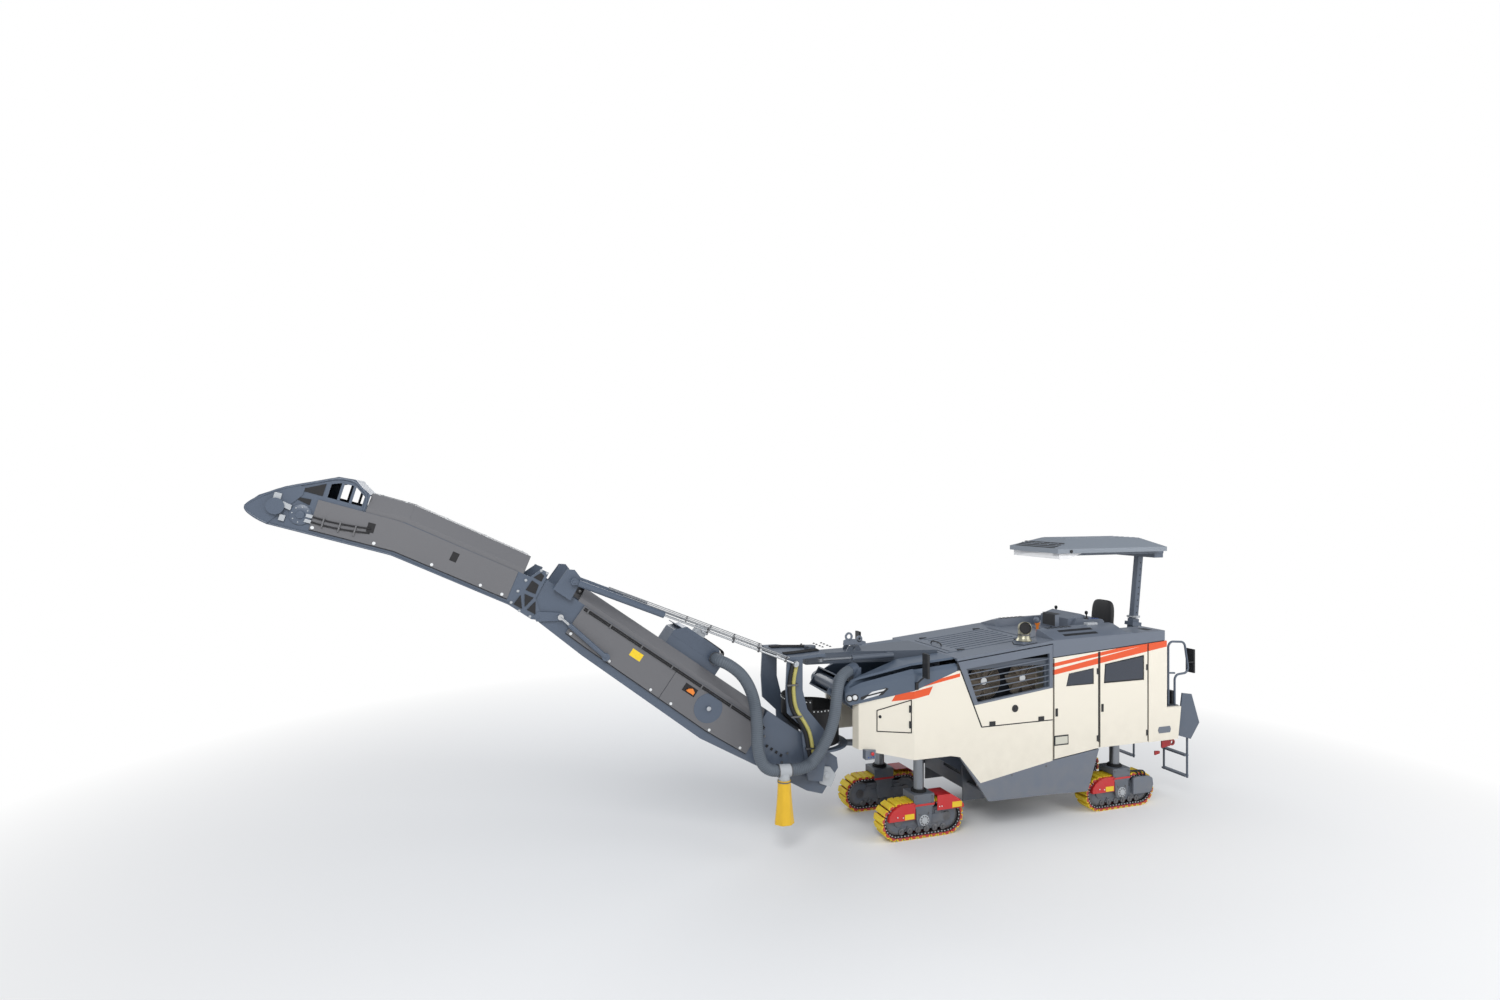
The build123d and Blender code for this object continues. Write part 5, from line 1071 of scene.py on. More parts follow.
@dataclass
class Hull:
    """Cream and grey body panels, their windows, seams, lamps and fastenings."""
    windows: dict[str, Outline] = field(default_factory=lambda: {
        "side_door_front": [(-2.825, 2.055), (-2.31, 2.055), (-2.36, 2.245), (-2.825, 2.30)],
        "side_door_rear": [(-3.79, 2.05), (-3.01, 2.05), (-3.03, 2.345), (-3.79, 2.44)]})
    pane_in: float = 0.010
    facet_run: Vector = field(default_factory=lambda: Vector((0.68, -0.37, 0)).normalized())
    facet_out: Vector = field(default_factory=lambda: Vector((0.37, 0.68, 0)).normalized())

    def on_facet(self, along: float, z: float, out: float = 0.0) -> Vector:
        """Point on the nose's slanting side panel."""
        return place(FACET, HULL_Y, z) + self.facet_run * along + self.facet_out * out

    def paint(self) -> None:
        """Give the panels their paints."""
        dress(CREAM, "side_panels", "side_door_front_left", "side_door_rear_left", "side_door_right",
              "storage_door")
        dress(HULL_GREY, "lower_skirts", "hood_shell", "engine_hood")
        dress(CHEEK_BLUE, "nose_cheeks")
        dress(FRAME_GREY, "chassis_frame", "drum_housing", "upper_beam")
        dress(CAST, "milling_drum", "engine_block")
        dress(STEEL, "scraper_blade")
        dress(CORE_METAL, "cooling_pack")
        dress(FAN_PLASTIC, "fan_front", "fan_rear")

    def flaps(self) -> None:
        """Louvred flaps each side: a frame, thin bars and a seam round it."""
        for node, side in FLAPS:
            face = side * HULL_Y
            flap = Shape(f"{node}_panel")
            for here in range(4):
                after = (here + 1) % 4
                corners = [FLAP_OUTER[here], FLAP_OUTER[after], FLAP_INNER[after], FLAP_INNER[here]]
                flap.plate(SIDE, corners, face, -side * 0.044)
            y = side * (HULL_Y - 0.010)
            for ahead in (-1.90, -1.05):
                flap.rod(place(ahead - 0.05, y, 1.585), place(ahead + 0.05, y, 1.585), 0.009)
            flap.done(FLAP_CREAM, BODY_OF[node], replaces=[node])
            bars = Shape(f"{node}_bars")
            _, low, high, back = FLAP_INNER
            for share in (row / (FLAP_BARS + 1) for row in range(1, FLAP_BARS + 1)):
                rear_z = FLAP_INNER[0][1] + share * (back[1] - FLAP_INNER[0][1])
                front_z = low[1] + share * (high[1] - low[1])
                front = low[0] + share * (high[0] - low[0]) + 0.006
                corners = [(-2.016, rear_z - 0.006), (front, front_z - 0.006), (front, front_z + 0.006),
                           (-2.016, rear_z + 0.006)]
                bars.plate(SIDE, corners, side * (HULL_Y - 0.008), -side * 0.022)
            bars.done(HULL_GREY, BODY_OF[node], bevel=0.002)
            seam = Shape(f"{node}_seam")
            for corners in ([(-2.069, 1.569), (-0.830, 1.569), (-0.838, 1.583), (-2.069, 1.583)],
                            [(-0.838, 1.583), (-0.822, 1.569), (-0.424, 2.520), (-0.438, 2.530)]):
                seam.plate(SIDE, corners, face, side * 0.0012)
            seam.done(BLACK, MACHINE)

    def fans(self) -> None:
        """Wire guards and hub caps of the fans behind the left flap."""
        for node in ("fan_front", "fan_rear"):
            centre, axis = middle(node), sideways(1)
            hub = Vector((centre.x, 0.840, centre.z))
            guard = Shape(f"{node}_guard")
            for radius in (0.075 + 0.019 * step for step in range(GUARD_RINGS)):
                guard.ring(hub + axis * 0.002, axis, radius, radius - 0.0045, 0.004, 36)
            for step in range(GUARD_SPOKES):
                angle = 2 * pi * step / GUARD_SPOKES
                spoke = Vector((cos(angle), 0, sin(angle)))
                guard.rod(hub + spoke * 0.060, hub + spoke * 0.270, 0.003)
            guard.done(GUARD_WIRE, MACHINE, sharp=60)
            cap = Shape(f"{node}_cap").lathe(Vector((centre.x, 0.8255, centre.z)), axis,
                                             [(0.052, 0), (0.050, 0.006), (0.030, 0.011)])
            cap.done(WHITE_CAP, BODY_OF[node], sharp=50)

    def panes(self) -> None:
        """Tinted panes with rubber seals, one pair to a door."""
        for key, outline in self.windows.items():
            size = len(outline)
            mid_a, mid_z = sum(a for a, _ in outline) / size, sum(z for _, z in outline) / size
            for label, side in SIDES:
                node = f"{key}_{label}" if f"{key}_{label}" in NODES else "side_door_right"
                body = BODY_OF[node] if key == "side_door_front" or side > 0 else MACHINE
                for piece, wide, tall, back, finish, bevel in (("seal", 0.995, 0.985, 0.004, BLACK, 0.0),
                                                               ("pane", 0.94, 0.88, 0.0, WINDOW, 0.002)):
                    inset = [(mid_a + (a - mid_a) * wide, mid_z + (z - mid_z) * tall) for a, z in outline]
                    pane = Shape(f"{key}_{label}_{piece}")
                    pane.plate(SIDE, inset, side * (HULL_Y - self.pane_in - back), side * 0.006)
                    pane.done(finish, body, bevel=bevel)

    def seams(self) -> None:
        """Black seals that line the belt joint between the panels and the hood, and the doors' edges."""
        for label, side in SIDES:
            seal = Shape(f"belt_seal_{label}")
            for run in ((-4.19, -2.08), (-0.42, FACET), (FACET, 0.94)):
                ends = [(a, side * (hull_side(a) - 0.006), line_height(BELT_LINE, a)) for a in run]
                low = [place(a, y, z + 0.001) for a, y, z in ends]
                high = [place(a, y, z + 0.014) for a, y, z in reversed(ends)]
                seal.prism(low + high, Vector((0, -side * 0.02, 0)))
            seal.done(BLACK, MACHINE)
        for number, (node, side, ahead, low) in enumerate(DOOR_EDGES):
            high = line_height(BELT_LINE, ahead) - 0.008
            strip = Shape(f"door_edge_{number}")
            strip.block(place(ahead - 0.009, side * HULL_Y, low),
                        place(ahead + 0.009, side * (HULL_Y + 0.0012), high))
            strip.done(BLACK, BODY_OF[node])

    def fastenings(self) -> None:
        """Hinges and latches of the doors, locks and hinges of the flaps, a door light and panel bolts."""
        for node, side, rear, front in DOORS:
            parts = Shape(f"{node}_fittings")
            for z in (1.19, 2.21):
                parts.block(place(rear + 0.004, side * HULL_Y, z - 0.01),
                            place(rear + 0.04, side * (HULL_Y + 0.006), z + 0.08))
            parts.block(place(front - 0.075, side * HULL_Y, 1.62),
                        place(front - 0.03, side * (HULL_Y + 0.005), 1.74))
            knob = place(front - 0.052, side * (HULL_Y + 0.004), 1.705)
            parts.rod(knob, knob + sideways(side) * 0.008, 0.013)
            parts.done(PLASTIC, BODY_OF[node], bevel=0.002)
        for node, side in FLAPS:
            profile = [(0.054, 0), (0.054, 0.006), (0.044, 0.010), (0.038, 0.006), (0.016, 0.006),
                       (0.014, 0.012)]
            lock = Shape(f"{node}_lock").lathe(place(-1.40, side * HULL_Y, 1.80), sideways(side), profile)
            for ahead in (-1.86, -1.01):
                lock.block(place(ahead - 0.05, side * (HULL_Y - 0.004), 1.575),
                           place(ahead + 0.05, side * (HULL_Y + 0.008), 1.645))
            lock.done(PLASTIC, BODY_OF[node], bevel=0.002)
        for name, finish, low, high in (
                ("door_light_frame", PLASTIC, (-2.35, HULL_Y, 1.185), (-2.09, HULL_Y + 0.006, 1.335)),
                ("door_light_lens", PLATE_CREAM, (-2.33, HULL_Y + 0.005, 1.205),
                 (-2.11, HULL_Y + 0.012, 1.315))):
            light = Shape(name).block(place(*low), place(*high))
            light.done(finish, BODY_OF["side_door_front_left"], bevel=0.003)
        outline = [(-4.30, 1.19), (-4.08, 1.19), (-4.06, 1.24), (-4.08, 1.29), (-4.30, 1.29), (-4.32, 1.24)]
        for label, side in SIDES:
            step = Shape(f"rear_recess_{label}").plate(SIDE, outline, side * HULL_Y, side * 0.004)
            step.done(HULL_GREY, MACHINE, bevel=0.001)
        bolts = [place(a, HULL_Y, 0.90 - (a + 1.95) * 0.12) for a in (-1.95, -1.35, -0.75)]
        ON_POINTS.lay("panel_bolts_left", bolt_item(0.010, sideways(1)), STEEL, MACHINE, bolts)

    def storage_door(self) -> None:
        """Hinges, knob and seam of the storage door in the nose's slanting panel."""
        door = Shape("storage_door_fittings")
        for z in (1.655, 1.875):
            corners = [self.on_facet(a, z + dz, -0.002) for a, dz in oblong(0.035, 0, 0.075, 0.10)]
            door.prism(corners, self.facet_out * 0.010)
        door.lathe(self.on_facet(0.475, 1.80), self.facet_out,
                   [(0.022, 0), (0.022, 0.006), (0.014, 0.008), (0.012, 0.014)])
        door.done(PLASTIC, BODY_OF["storage_door"], bevel=0.0015)
        rim = Shape("storage_door_seam")
        corners = [self.on_facet(a, z) for a, z in ((0.042, 1.592), (0.518, 1.592), (0.518, 1.886),
                                                    (0.042, 2.052))]
        for start, end in zip(corners, corners[1:] + corners[:1]):
            rim.rod(start, end, 0.006)
        rim.done(BLACK, MACHINE, sharp=60)

    def lamps(self) -> None:
        """Slit lights and round lamps in the cheeks."""
        for label, side in SIDES:
            out = Vector((CHEEK_OUT.x, CHEEK_OUT.y * side, 0))
            slits = Shape(f"cheek_slits_{label}")
            for (a0, z0), (a1, z1) in (((0.90, 2.035), (0.68, 2.125)), ((0.84, 2.105), (0.62, 2.190))):
                corners = ((a0, z0), (a0 - 0.05, z0 + 0.045), (a1, z1 + 0.012), (a1 + 0.03, z1 - 0.022))
                slits.prism([on_cheek(a, z, side) for a, z in corners], out * 0.005)
            slits.done(LENS, MACHINE)
            edge = ((0.935, 2.03), (0.93, 2.07), (0.62, 2.215), (0.585, 2.20), (0.66, 2.11))
            bezel = Shape(f"cheek_bezel_{label}").prism([on_cheek(a, z, side) for a, z in edge], out * 0.002)
            bezel.done(PLASTIC, MACHINE)
            lamps, rings = Shape(f"cheek_lamps_{label}"), Shape(f"cheek_lamp_rings_{label}")
            front_out = Vector((0.08, side * 0.18, 0)).normalized()
            for ahead, y, z in CHEEK_LAMPS:
                centre = place(ahead, side * y, z)
                lamps.lathe(centre - front_out * 0.004, front_out,
                            [(0.036, 0), (0.036, 0.008), (0.030, 0.016), (0.012, 0.020)])
                rings.ring(centre - front_out * 0.003, front_out, 0.050, 0.036, 0.012)
            lamps.done(LENS, MACHINE, sharp=50)
            rings.done(PLASTIC, MACHINE, sharp=50)

    def control_box(self) -> None:
        """Ground control box under the nose, with its stop button and keys."""
        box = Shape("ground_control_box").block(place(0.74, 0.60, 1.20), place(0.90, 0.70, 1.335))
        box.done(HULL_GREY, MACHINE, bevel=0.006)
        profile = [(0.012, 0), (0.012, 0.012), (0.024, 0.014), (0.024, 0.024), (0.018, 0.030)]
        stop = Shape("emergency_stop").lathe(place(0.80, 0.70, 1.285), sideways(1), profile)
        stop.done(STOP_RED, MACHINE, sharp=40)
        keys = Shape("control_buttons")
        for ahead in (0.775, 0.815, 0.855):
            keys.lathe(place(ahead, 0.70, 1.235), sideways(1), [(0.010, 0), (0.010, 0.006), (0.007, 0.008)])
        keys.done(BUTTON_BLUE, MACHINE, sharp=40)

    def build(self) -> None:
        """Build and dress the body."""
        self.paint()
        self.flaps()
        self.fans()
        self.panes()
        self.seams()
        self.fastenings()
        self.storage_door()
        self.lamps()
        self.control_box()


HOOD_LINE = [(-4.20, 2.800), (-2.08, 2.755), (-0.42, 2.590)]
SHOULDER_RISE = 0.115       # the vented shoulders stand this much over the hood
VENT_SLOTS = ((0.20, 0.38), (0.60, 0.78))       # parts of the way up the shoulder's slope


def on_hood(ahead: float, y: float, up: float = 0.0) -> Vector:
    """Point over the hood's top line."""
    return place(ahead, y, line_height(HOOD_LINE, ahead) + up)


@dataclass
class Bonnet:
    """Top of the body: rear vents and hatches, the exhaust, and the engine hood's fittings."""
    exhaust: tuple[float, float] = (-1.70, 0.76)
    lid_body: str = "engine_hood"

    def vents(self) -> None:
        """Raised shoulder, two long slots and a square grid each side."""
        for label, side in SIDES:
            shell = Shape(f"hood_shoulder_{label}")
            rings = []
            for ahead, top in ((-3.60, 0.012), (-3.48, SHOULDER_RISE), (-2.20, SHOULDER_RISE),
                               (-2.10, 0.100)):
                section = ((0.940, -0.002), (0.925, 0.010), (0.62, top), (0.53, top + 0.004), (0.51, -0.002))
                rings.append([shell.mesh.verts.new(on_hood(ahead, side * y, up)) for y, up in section])
            shell.skin(rings).done(HULL_GREY, MACHINE, bevel=0.004)
            # Painted shade: dark plates stand for the shaded insides of the two long slots.
            slots = Shape(f"hood_slots_{label}")
            for start, end in VENT_SLOTS:
                slots.prism([on_hood(ahead, side * (0.925 - 0.305 * part),
                                     0.010 + part * (SHOULDER_RISE - 0.010))
                             for ahead, part in oblong(-2.98, start, -2.36, end)],
                            Vector((0, side * 0.001, 0.003)))
            slots.done(PLASTIC, MACHINE)
            # Painted shade: dark tiles stand for the shaded insides of the vent grid's holes.
            points = [on_hood(-2.66 + column * 0.080, side * y, SHOULDER_RISE + 0.004)
                      for column in range(6) for y in (0.610, 0.572, 0.540)]
            ON_POINTS.lay(f"hood_vent_grid_{label}", tile_item((0.052, 0.022, 0.004)), PLASTIC, MACHINE,
                          points)

    def hatches(self) -> None:
        """Seamed hatch with its grille each side, and a small box."""
        for label, side in SIDES:
            for name, a0, a1, y0, y1, proud, finish, bevel in (
                    ("hood_hatch", -4.12, -3.62, 0.60, 0.90, 0.003, HULL_GREY, 0.001),
                    ("hood_hatch_grille", -4.06, -3.94, 0.66, 0.84, 0.005, PLASTIC, 0.0)):
                corners = [on_hood(a, side * y) for a, y in oblong(a0, y0, a1, y1)]
                Shape(f"{name}_{label}").prism(corners, UP * proud).done(finish, MACHINE, bevel=bevel)
        box = Shape("sensor_box").block(place(-3.20, 0.52, 2.868), place(-3.00, 0.61, 2.925))
        box.done(SILVER, MACHINE, bevel=0.008)

    def stack(self) -> None:
        """Bright exhaust elbow with its slanted mouth, its clamp and the six-sided plate it stands on."""
        ahead, y = self.exhaust
        out = Vector((0.45, 0.89, 0.12)).normalized()
        knee = place(ahead, y, 2.935)
        pipe = Shape("exhaust_elbow")
        pipe.lathe(place(ahead, y, 2.752), UP, [(0.120, 0), (0.098, 0.030), (0.086, 0.060), (0.084, 0.180)])
        turns = (-pi / 2 * 0.97 + pi * 0.97 * k / 12 for k in range(13))
        pipe.lathe(knee, UP, [(0.090 * cos(turn), 0.090 * sin(turn)) for turn in turns])
        pipe.lathe(knee, out, [(0.084, 0), (0.086, 0.085), (0.094, 0.112), (0.090, 0.114), (0.080, 0.088)])
        pipe.done(EXHAUST_STEEL, MACHINE, sharp=50)
        mouth = Shape("exhaust_mouth").lathe(knee + out * 0.087, out, [(0.082, 0), (0.082, 0.006)])
        mouth.done(BLACK, MACHINE)
        clamp = Shape("exhaust_clamp").ring(place(ahead, y, 2.83), UP, 0.093, 0.0845, 0.020)
        clamp.done(STEEL, MACHINE, sharp=40)
        corners = ((-0.17, 0.0), (-0.10, -0.15), (0.10, -0.15), (0.19, 0.0), (0.12, 0.16), (-0.12, 0.16))
        for name, size, proud, finish in (("exhaust_plate_edge", 1.0, 0.006, BLACK),
                                          ("exhaust_plate", 0.93, 0.012, HULL_GREY)):
            plate = Shape(name).prism([on_hood(ahead + a * size, y + b * size) for a, b in corners],
                                      UP * proud)
            plate.done(finish, MACHINE, bevel=0.001)

    def lid(self) -> None:
        """Trim strips, latches and a grab handle on the engine hood."""
        trim = Shape("lid_trim")
        for a in (-1.95, -0.60):
            z = line_height(HOOD_LINE, a) + 0.005
            trim.prism([place(x, y, z) for x, y in oblong(a - 0.03, -0.50, a + 0.03, 0.50)], UP * 0.005)
        trim.done(HULL_GREY, self.lid_body, bevel=0.002)
        latch = Shape("lid_latches")
        for side in (1, -1):
            for a in (-0.75, -1.75):
                z = line_height(HOOD_LINE, a)
                latch.block(place(a - 0.06, side * 0.525, z), place(a + 0.06, side * 0.555, z + 0.016))
        handle = ((0.15, 2.60), (0.15, 2.66), (0.0, 2.665), (-0.15, 2.66), (-0.15, 2.60))
        latch.tube([place(-0.66, y, z) for y, z in handle], 0.010)
        latch.done(PLASTIC, self.lid_body, sharp=40)

    def build(self) -> None:
        """Build the fittings."""
        self.vents()
        self.hatches()
        self.stack()
        self.lid()


# ---------------------------------------------------------------- operator's stand
@dataclass
class Stand:
    """Operator's stand: seat, consoles, ladder's neighbours, mirrors and the canopy on its mast."""
    seat: float = -3.60
    mast: float = -4.354
    mast_fall: float = 0.1051
    roof: tuple[float, float] = (-4.31, -2.86)
    hole_step: float = 0.105
    flap_drop: float = 0.105
    flap_wave: float = 0.004
    body: str = "canopy"

    def mast_at(self, z: float) -> float:
        """Station of the leaning mast's middle at a height."""
        return self.mast - self.mast_fall * (z - 1.59)

    def build_seat(self) -> None:
        """Seat with its post, swivel, cushion, back and armrests."""
        stands_for = ["operator_seat"]
        base = Shape("seat_base")
        base.lathe(place(self.seat, 0, 1.591), UP,
                   [(0.16, 0), (0.16, 0.016), (0.12, 0.024), (0.055, 0.026), (0.055, 0.54), (0.09, 0.56),
                    (0.075, 0.58), (0.10, 0.60), (0.08, 0.62), (0.11, 0.64), (0.09, 0.66), (0.14, 0.69),
                    (0.14, 0.71)])
        for side in (1, -1):
            base.block(place(-3.80, side * 0.244, 2.40), place(-3.745, side * 0.262, 2.60))
            base.block(place(-3.79, side * 0.205, 2.565), place(-3.43, side * 0.285, 2.585))
        base.block(place(-3.83, -0.20, 2.302), place(-3.39, 0.20, 2.325))
        base.done(PLASTIC, MACHINE, bevel=0.004, replaces=stands_for, sharp=40)
        arms = Shape("seat_armrests")
        for side in (1, -1):
            arms.cushion(place(-3.61, side * 0.245, 2.60), (0.185, 0.045, 0.022))
        arms.done(SEAT_CLOTH, MACHINE, replaces=stands_for, sharp=60)
        cushion = Shape("seat_cushion").cushion(place(-3.605, 0, 2.375), (0.235, 0.240, 0.065))
        cushion.done(SEAT_CLOTH, MACHINE, replaces=stands_for, sharp=60)
        back = Shape("seat_back").cushion(place(-3.832, 0, 2.805), (0.050, 0.230, 0.385), -4.4, 0.44)
        back.done(SEAT_CLOTH, MACHINE, replaces=stands_for, sharp=60)

    def build_console(self) -> None:
        """Screen, side levers, key rows and a horn cup."""
        screen = Shape("console_screen").block(place(-2.644, 0.13, 2.885), place(-2.6401, 0.37, 3.03))
        screen.done(SCREEN, MACHINE, bevel=0.001)
        hood = Shape("console_screen_hood")
        hood.block(place(-2.67, 0.10, 3.05), place(-2.555, 0.40, 3.056))
        hood.block(place(-2.56, 0.105, 2.87), place(-2.552, 0.395, 3.045))
        hood.done(PLASTIC, MACHINE, bevel=0.002)
        sticks = Shape("console_levers")
        stick = [(0.036, 0), (0.030, 0.012), (0.012, 0.030), (0.010, 0.07), (0.024, 0.085), (0.026, 0.115),
                 (0.014, 0.13)]
        for side in (1, -1):
            sticks.lathe(place(-3.20, side * 0.36, 2.945), Vector((0.06, 0, 1)), stick, 20)
        sticks.lathe(place(-2.60, 0.25, 2.90), UP, [(0.022, 0), (0.018, 0.004)], 20)
        sticks.done(PLASTIC, MACHINE, sharp=40)
        keys = [place(-3.40 + 0.045 * k, side * y, 2.948 + 0.0023 * k) for k in range(4) for side in (1, -1)
                for y in (0.345, 0.375)]
        ON_POINTS.lay("console_keys", tile_item((0.030, 0.020, 0.006)), BUTTON_BLUE, MACHINE, keys)
        foot = place(-2.30, 0.30, 2.775)
        cup = Shape("horn_cup").lathe(foot, UP, [(0.022, 0), (0.022, 0.10), (0.038, 0.13), (0.040, 0.15)])
        cup.done(SIGNAL_ORANGE, MACHINE, sharp=40)
        head = Shape("horn_head").lathe(foot + UP * 0.149, Vector((0.5, 0.25, 1)),
                                        [(0.026, 0), (0.042, 0.02), (0.046, 0.06), (0.030, 0.09)])
        head.done(HULL_GREY, MACHINE, sharp=50)

    def build_roof(self) -> None:
        """Roof ribs, slats and small lamps."""
        ribs = Shape("roof_ribs")
        low, high = self.roof
        for y in (-0.24, -0.12, 0.0, 0.12, 0.24):
            ribs.block(place(low + 0.04, y - 0.018, 4.226), place(high - 0.02, y + 0.018, 4.236))
            ribs.prism([place(high - 0.02, y - 0.018, 4.228), place(high - 0.02, y + 0.018, 4.228),
                        place(-2.56, y * 1.7 + 0.018, 4.124), place(-2.56, y * 1.7 - 0.018, 4.124)],
                       UP * 0.010)
        ribs.done(ROOF_GREY, self.body, bevel=0.003)
        slats = Shape("roof_slats")
        for ahead in (-2.485, -2.545, -2.605, -2.665):
            z = 4.09 + (-2.45 - ahead) * 0.3415
            slats.prism([place(ahead + step, y, z - step / 3) for step, y in
                         oblong(-0.012, -0.48, 0.012, 0.48)], UP * 0.006)
        slats.done(PLASTIC, self.body)
        lamp = Shape("roof_lamps")
        for side in (1, -1):
            lamp.lathe(place(-2.70, side * 0.598, 4.05), Vector((0, side, -0.2)),
                       [(0.026, 0), (0.026, 0.012), (0.020, 0.016)])
        lamp.done(PLASTIC, self.body, sharp=40)

    def build_mast(self) -> None:
        """Rows of holes in the mast, and its clamp."""
        heights = [2.95 + self.hole_step * k for k in range(9)]
        for label, side in SIDES:
            # Painted shade: black discs on the mast stand for the shaded insides of its holes.
            holes = [place(self.mast_at(z) - 0.01, side * 0.0502, z) for z in heights]
            ON_POINTS.lay(f"mast_holes_{label}", disc_item(0.013, sideways(side), 0.0012), BLACK, self.body,
                          holes)
        clamp = Shape("mast_clamp")
        ahead = self.mast_at(2.90)
        for y0, y1 in ((-0.07, -0.0515), (0.0515, 0.07)):
            clamp.block(place(ahead - 0.07, y0, 2.862), place(ahead + 0.075, y1, 2.90))
        knob = place(ahead + 0.060, 0.115, 2.881)
        clamp.rod(place(ahead + 0.060, -0.09, 2.881), knob, 0.011)
        clamp.lathe(knob, sideways(1), [(0.028, 0), (0.028, 0.020), (0.016, 0.030)])
        clamp.done(SILVER, self.body, bevel=0.002, sharp=40)

    def build_flaps(self) -> None:
        """Clear rain flaps that hang from the roof's edge."""
        rows = []
        for part in (k / 5 for k in range(6)):
            drop = self.flap_drop * part
            rows.append([place(-2.50 - drop * 0.1 + self.flap_wave * sin(c * 1.3) * part,
                               -0.56 + 1.12 * c / 24,
                               4.035 - drop) for c in range(25)])
        front = hand_over(mesh_sheet("rain_flap_front", rows), RAIN_FILM, self.body, sharp=180)
        for label, side in SIDES:
            rows = []
            for part in (k / 5 for k in range(6)):
                row = []
                for c in range(17):
                    ahead = -2.502 - 0.46 * c / 16
                    deep = self.flap_drop - (0.095 * (-2.66 - ahead) / 0.302 if ahead <= -2.66 else 0.0)
                    row.append(place(ahead, side * (0.562 + self.flap_wave * sin(c * 1.1) * part),
                                     4.035 - deep * part))
                rows.append(row)
            flap = hand_over(mesh_sheet(f"rain_flap_{label}", rows), RAIN_FILM, self.body, sharp=180)

    def build_rear(self) -> None:
        """Red lashing eyes and a socket box."""
        red = Shape("lashing_eyes")
        for side in (1, -1):
            red.plate(SIDE, [(-4.62, 0.86), (-4.45, 0.84), (-4.45, 0.95), (-4.60, 0.97)], side * 0.62,
                      side * 0.03)
            red.ring(place(-4.66, side * 0.62, 0.915), sideways(side), 0.055, 0.028, 0.03, 28)
            red.plate(SIDE, [(-4.55, 0.70), (-4.45, 0.68), (-4.45, 0.75), (-4.55, 0.74)], side * 0.48,
                      side * 0.025)
        red.done(CHAIN_RED, MACHINE, bevel=0.003, sharp=40)
        box = Shape("rear_socket_box").block(place(-4.525, 0.70, 1.60), place(-4.455, 0.84, 1.80))
        box.done(PLASTIC, MACHINE, bevel=0.006)

    def build(self) -> None:
        """Build and dress the stand."""
        dress(PLASTIC, "mirrors")
        self.build_seat()
        self.build_console()
        dress(ROOF_GREY, "canopy_roof")
        dress(RAIL_BLUE, "canopy_mast", "mast_base", "handrails", "access_ladder")
        dress(FLOOR_GREY, "operator_platform")
        dress(HULL_GREY, "control_console")
        self.build_roof()
        self.build_mast()
        self.build_flaps()
        self.build_rear()


# ---------------------------------------------------------------- slewing frame and chute
HOSE_Y = 0.66               # the suction hoses and the tee lie this far out
BUNDLE_ROUTE = [(1.93, 0.535, 2.60), (1.98, 0.535, 2.42), (1.99, 0.535, 2.22), (1.96, 0.535, 1.97),
                (1.83, 0.535, 1.78), (1.74, 0.535, 1.62), (1.70, 0.535, 1.40), (1.66, 0.535, 1.18)]


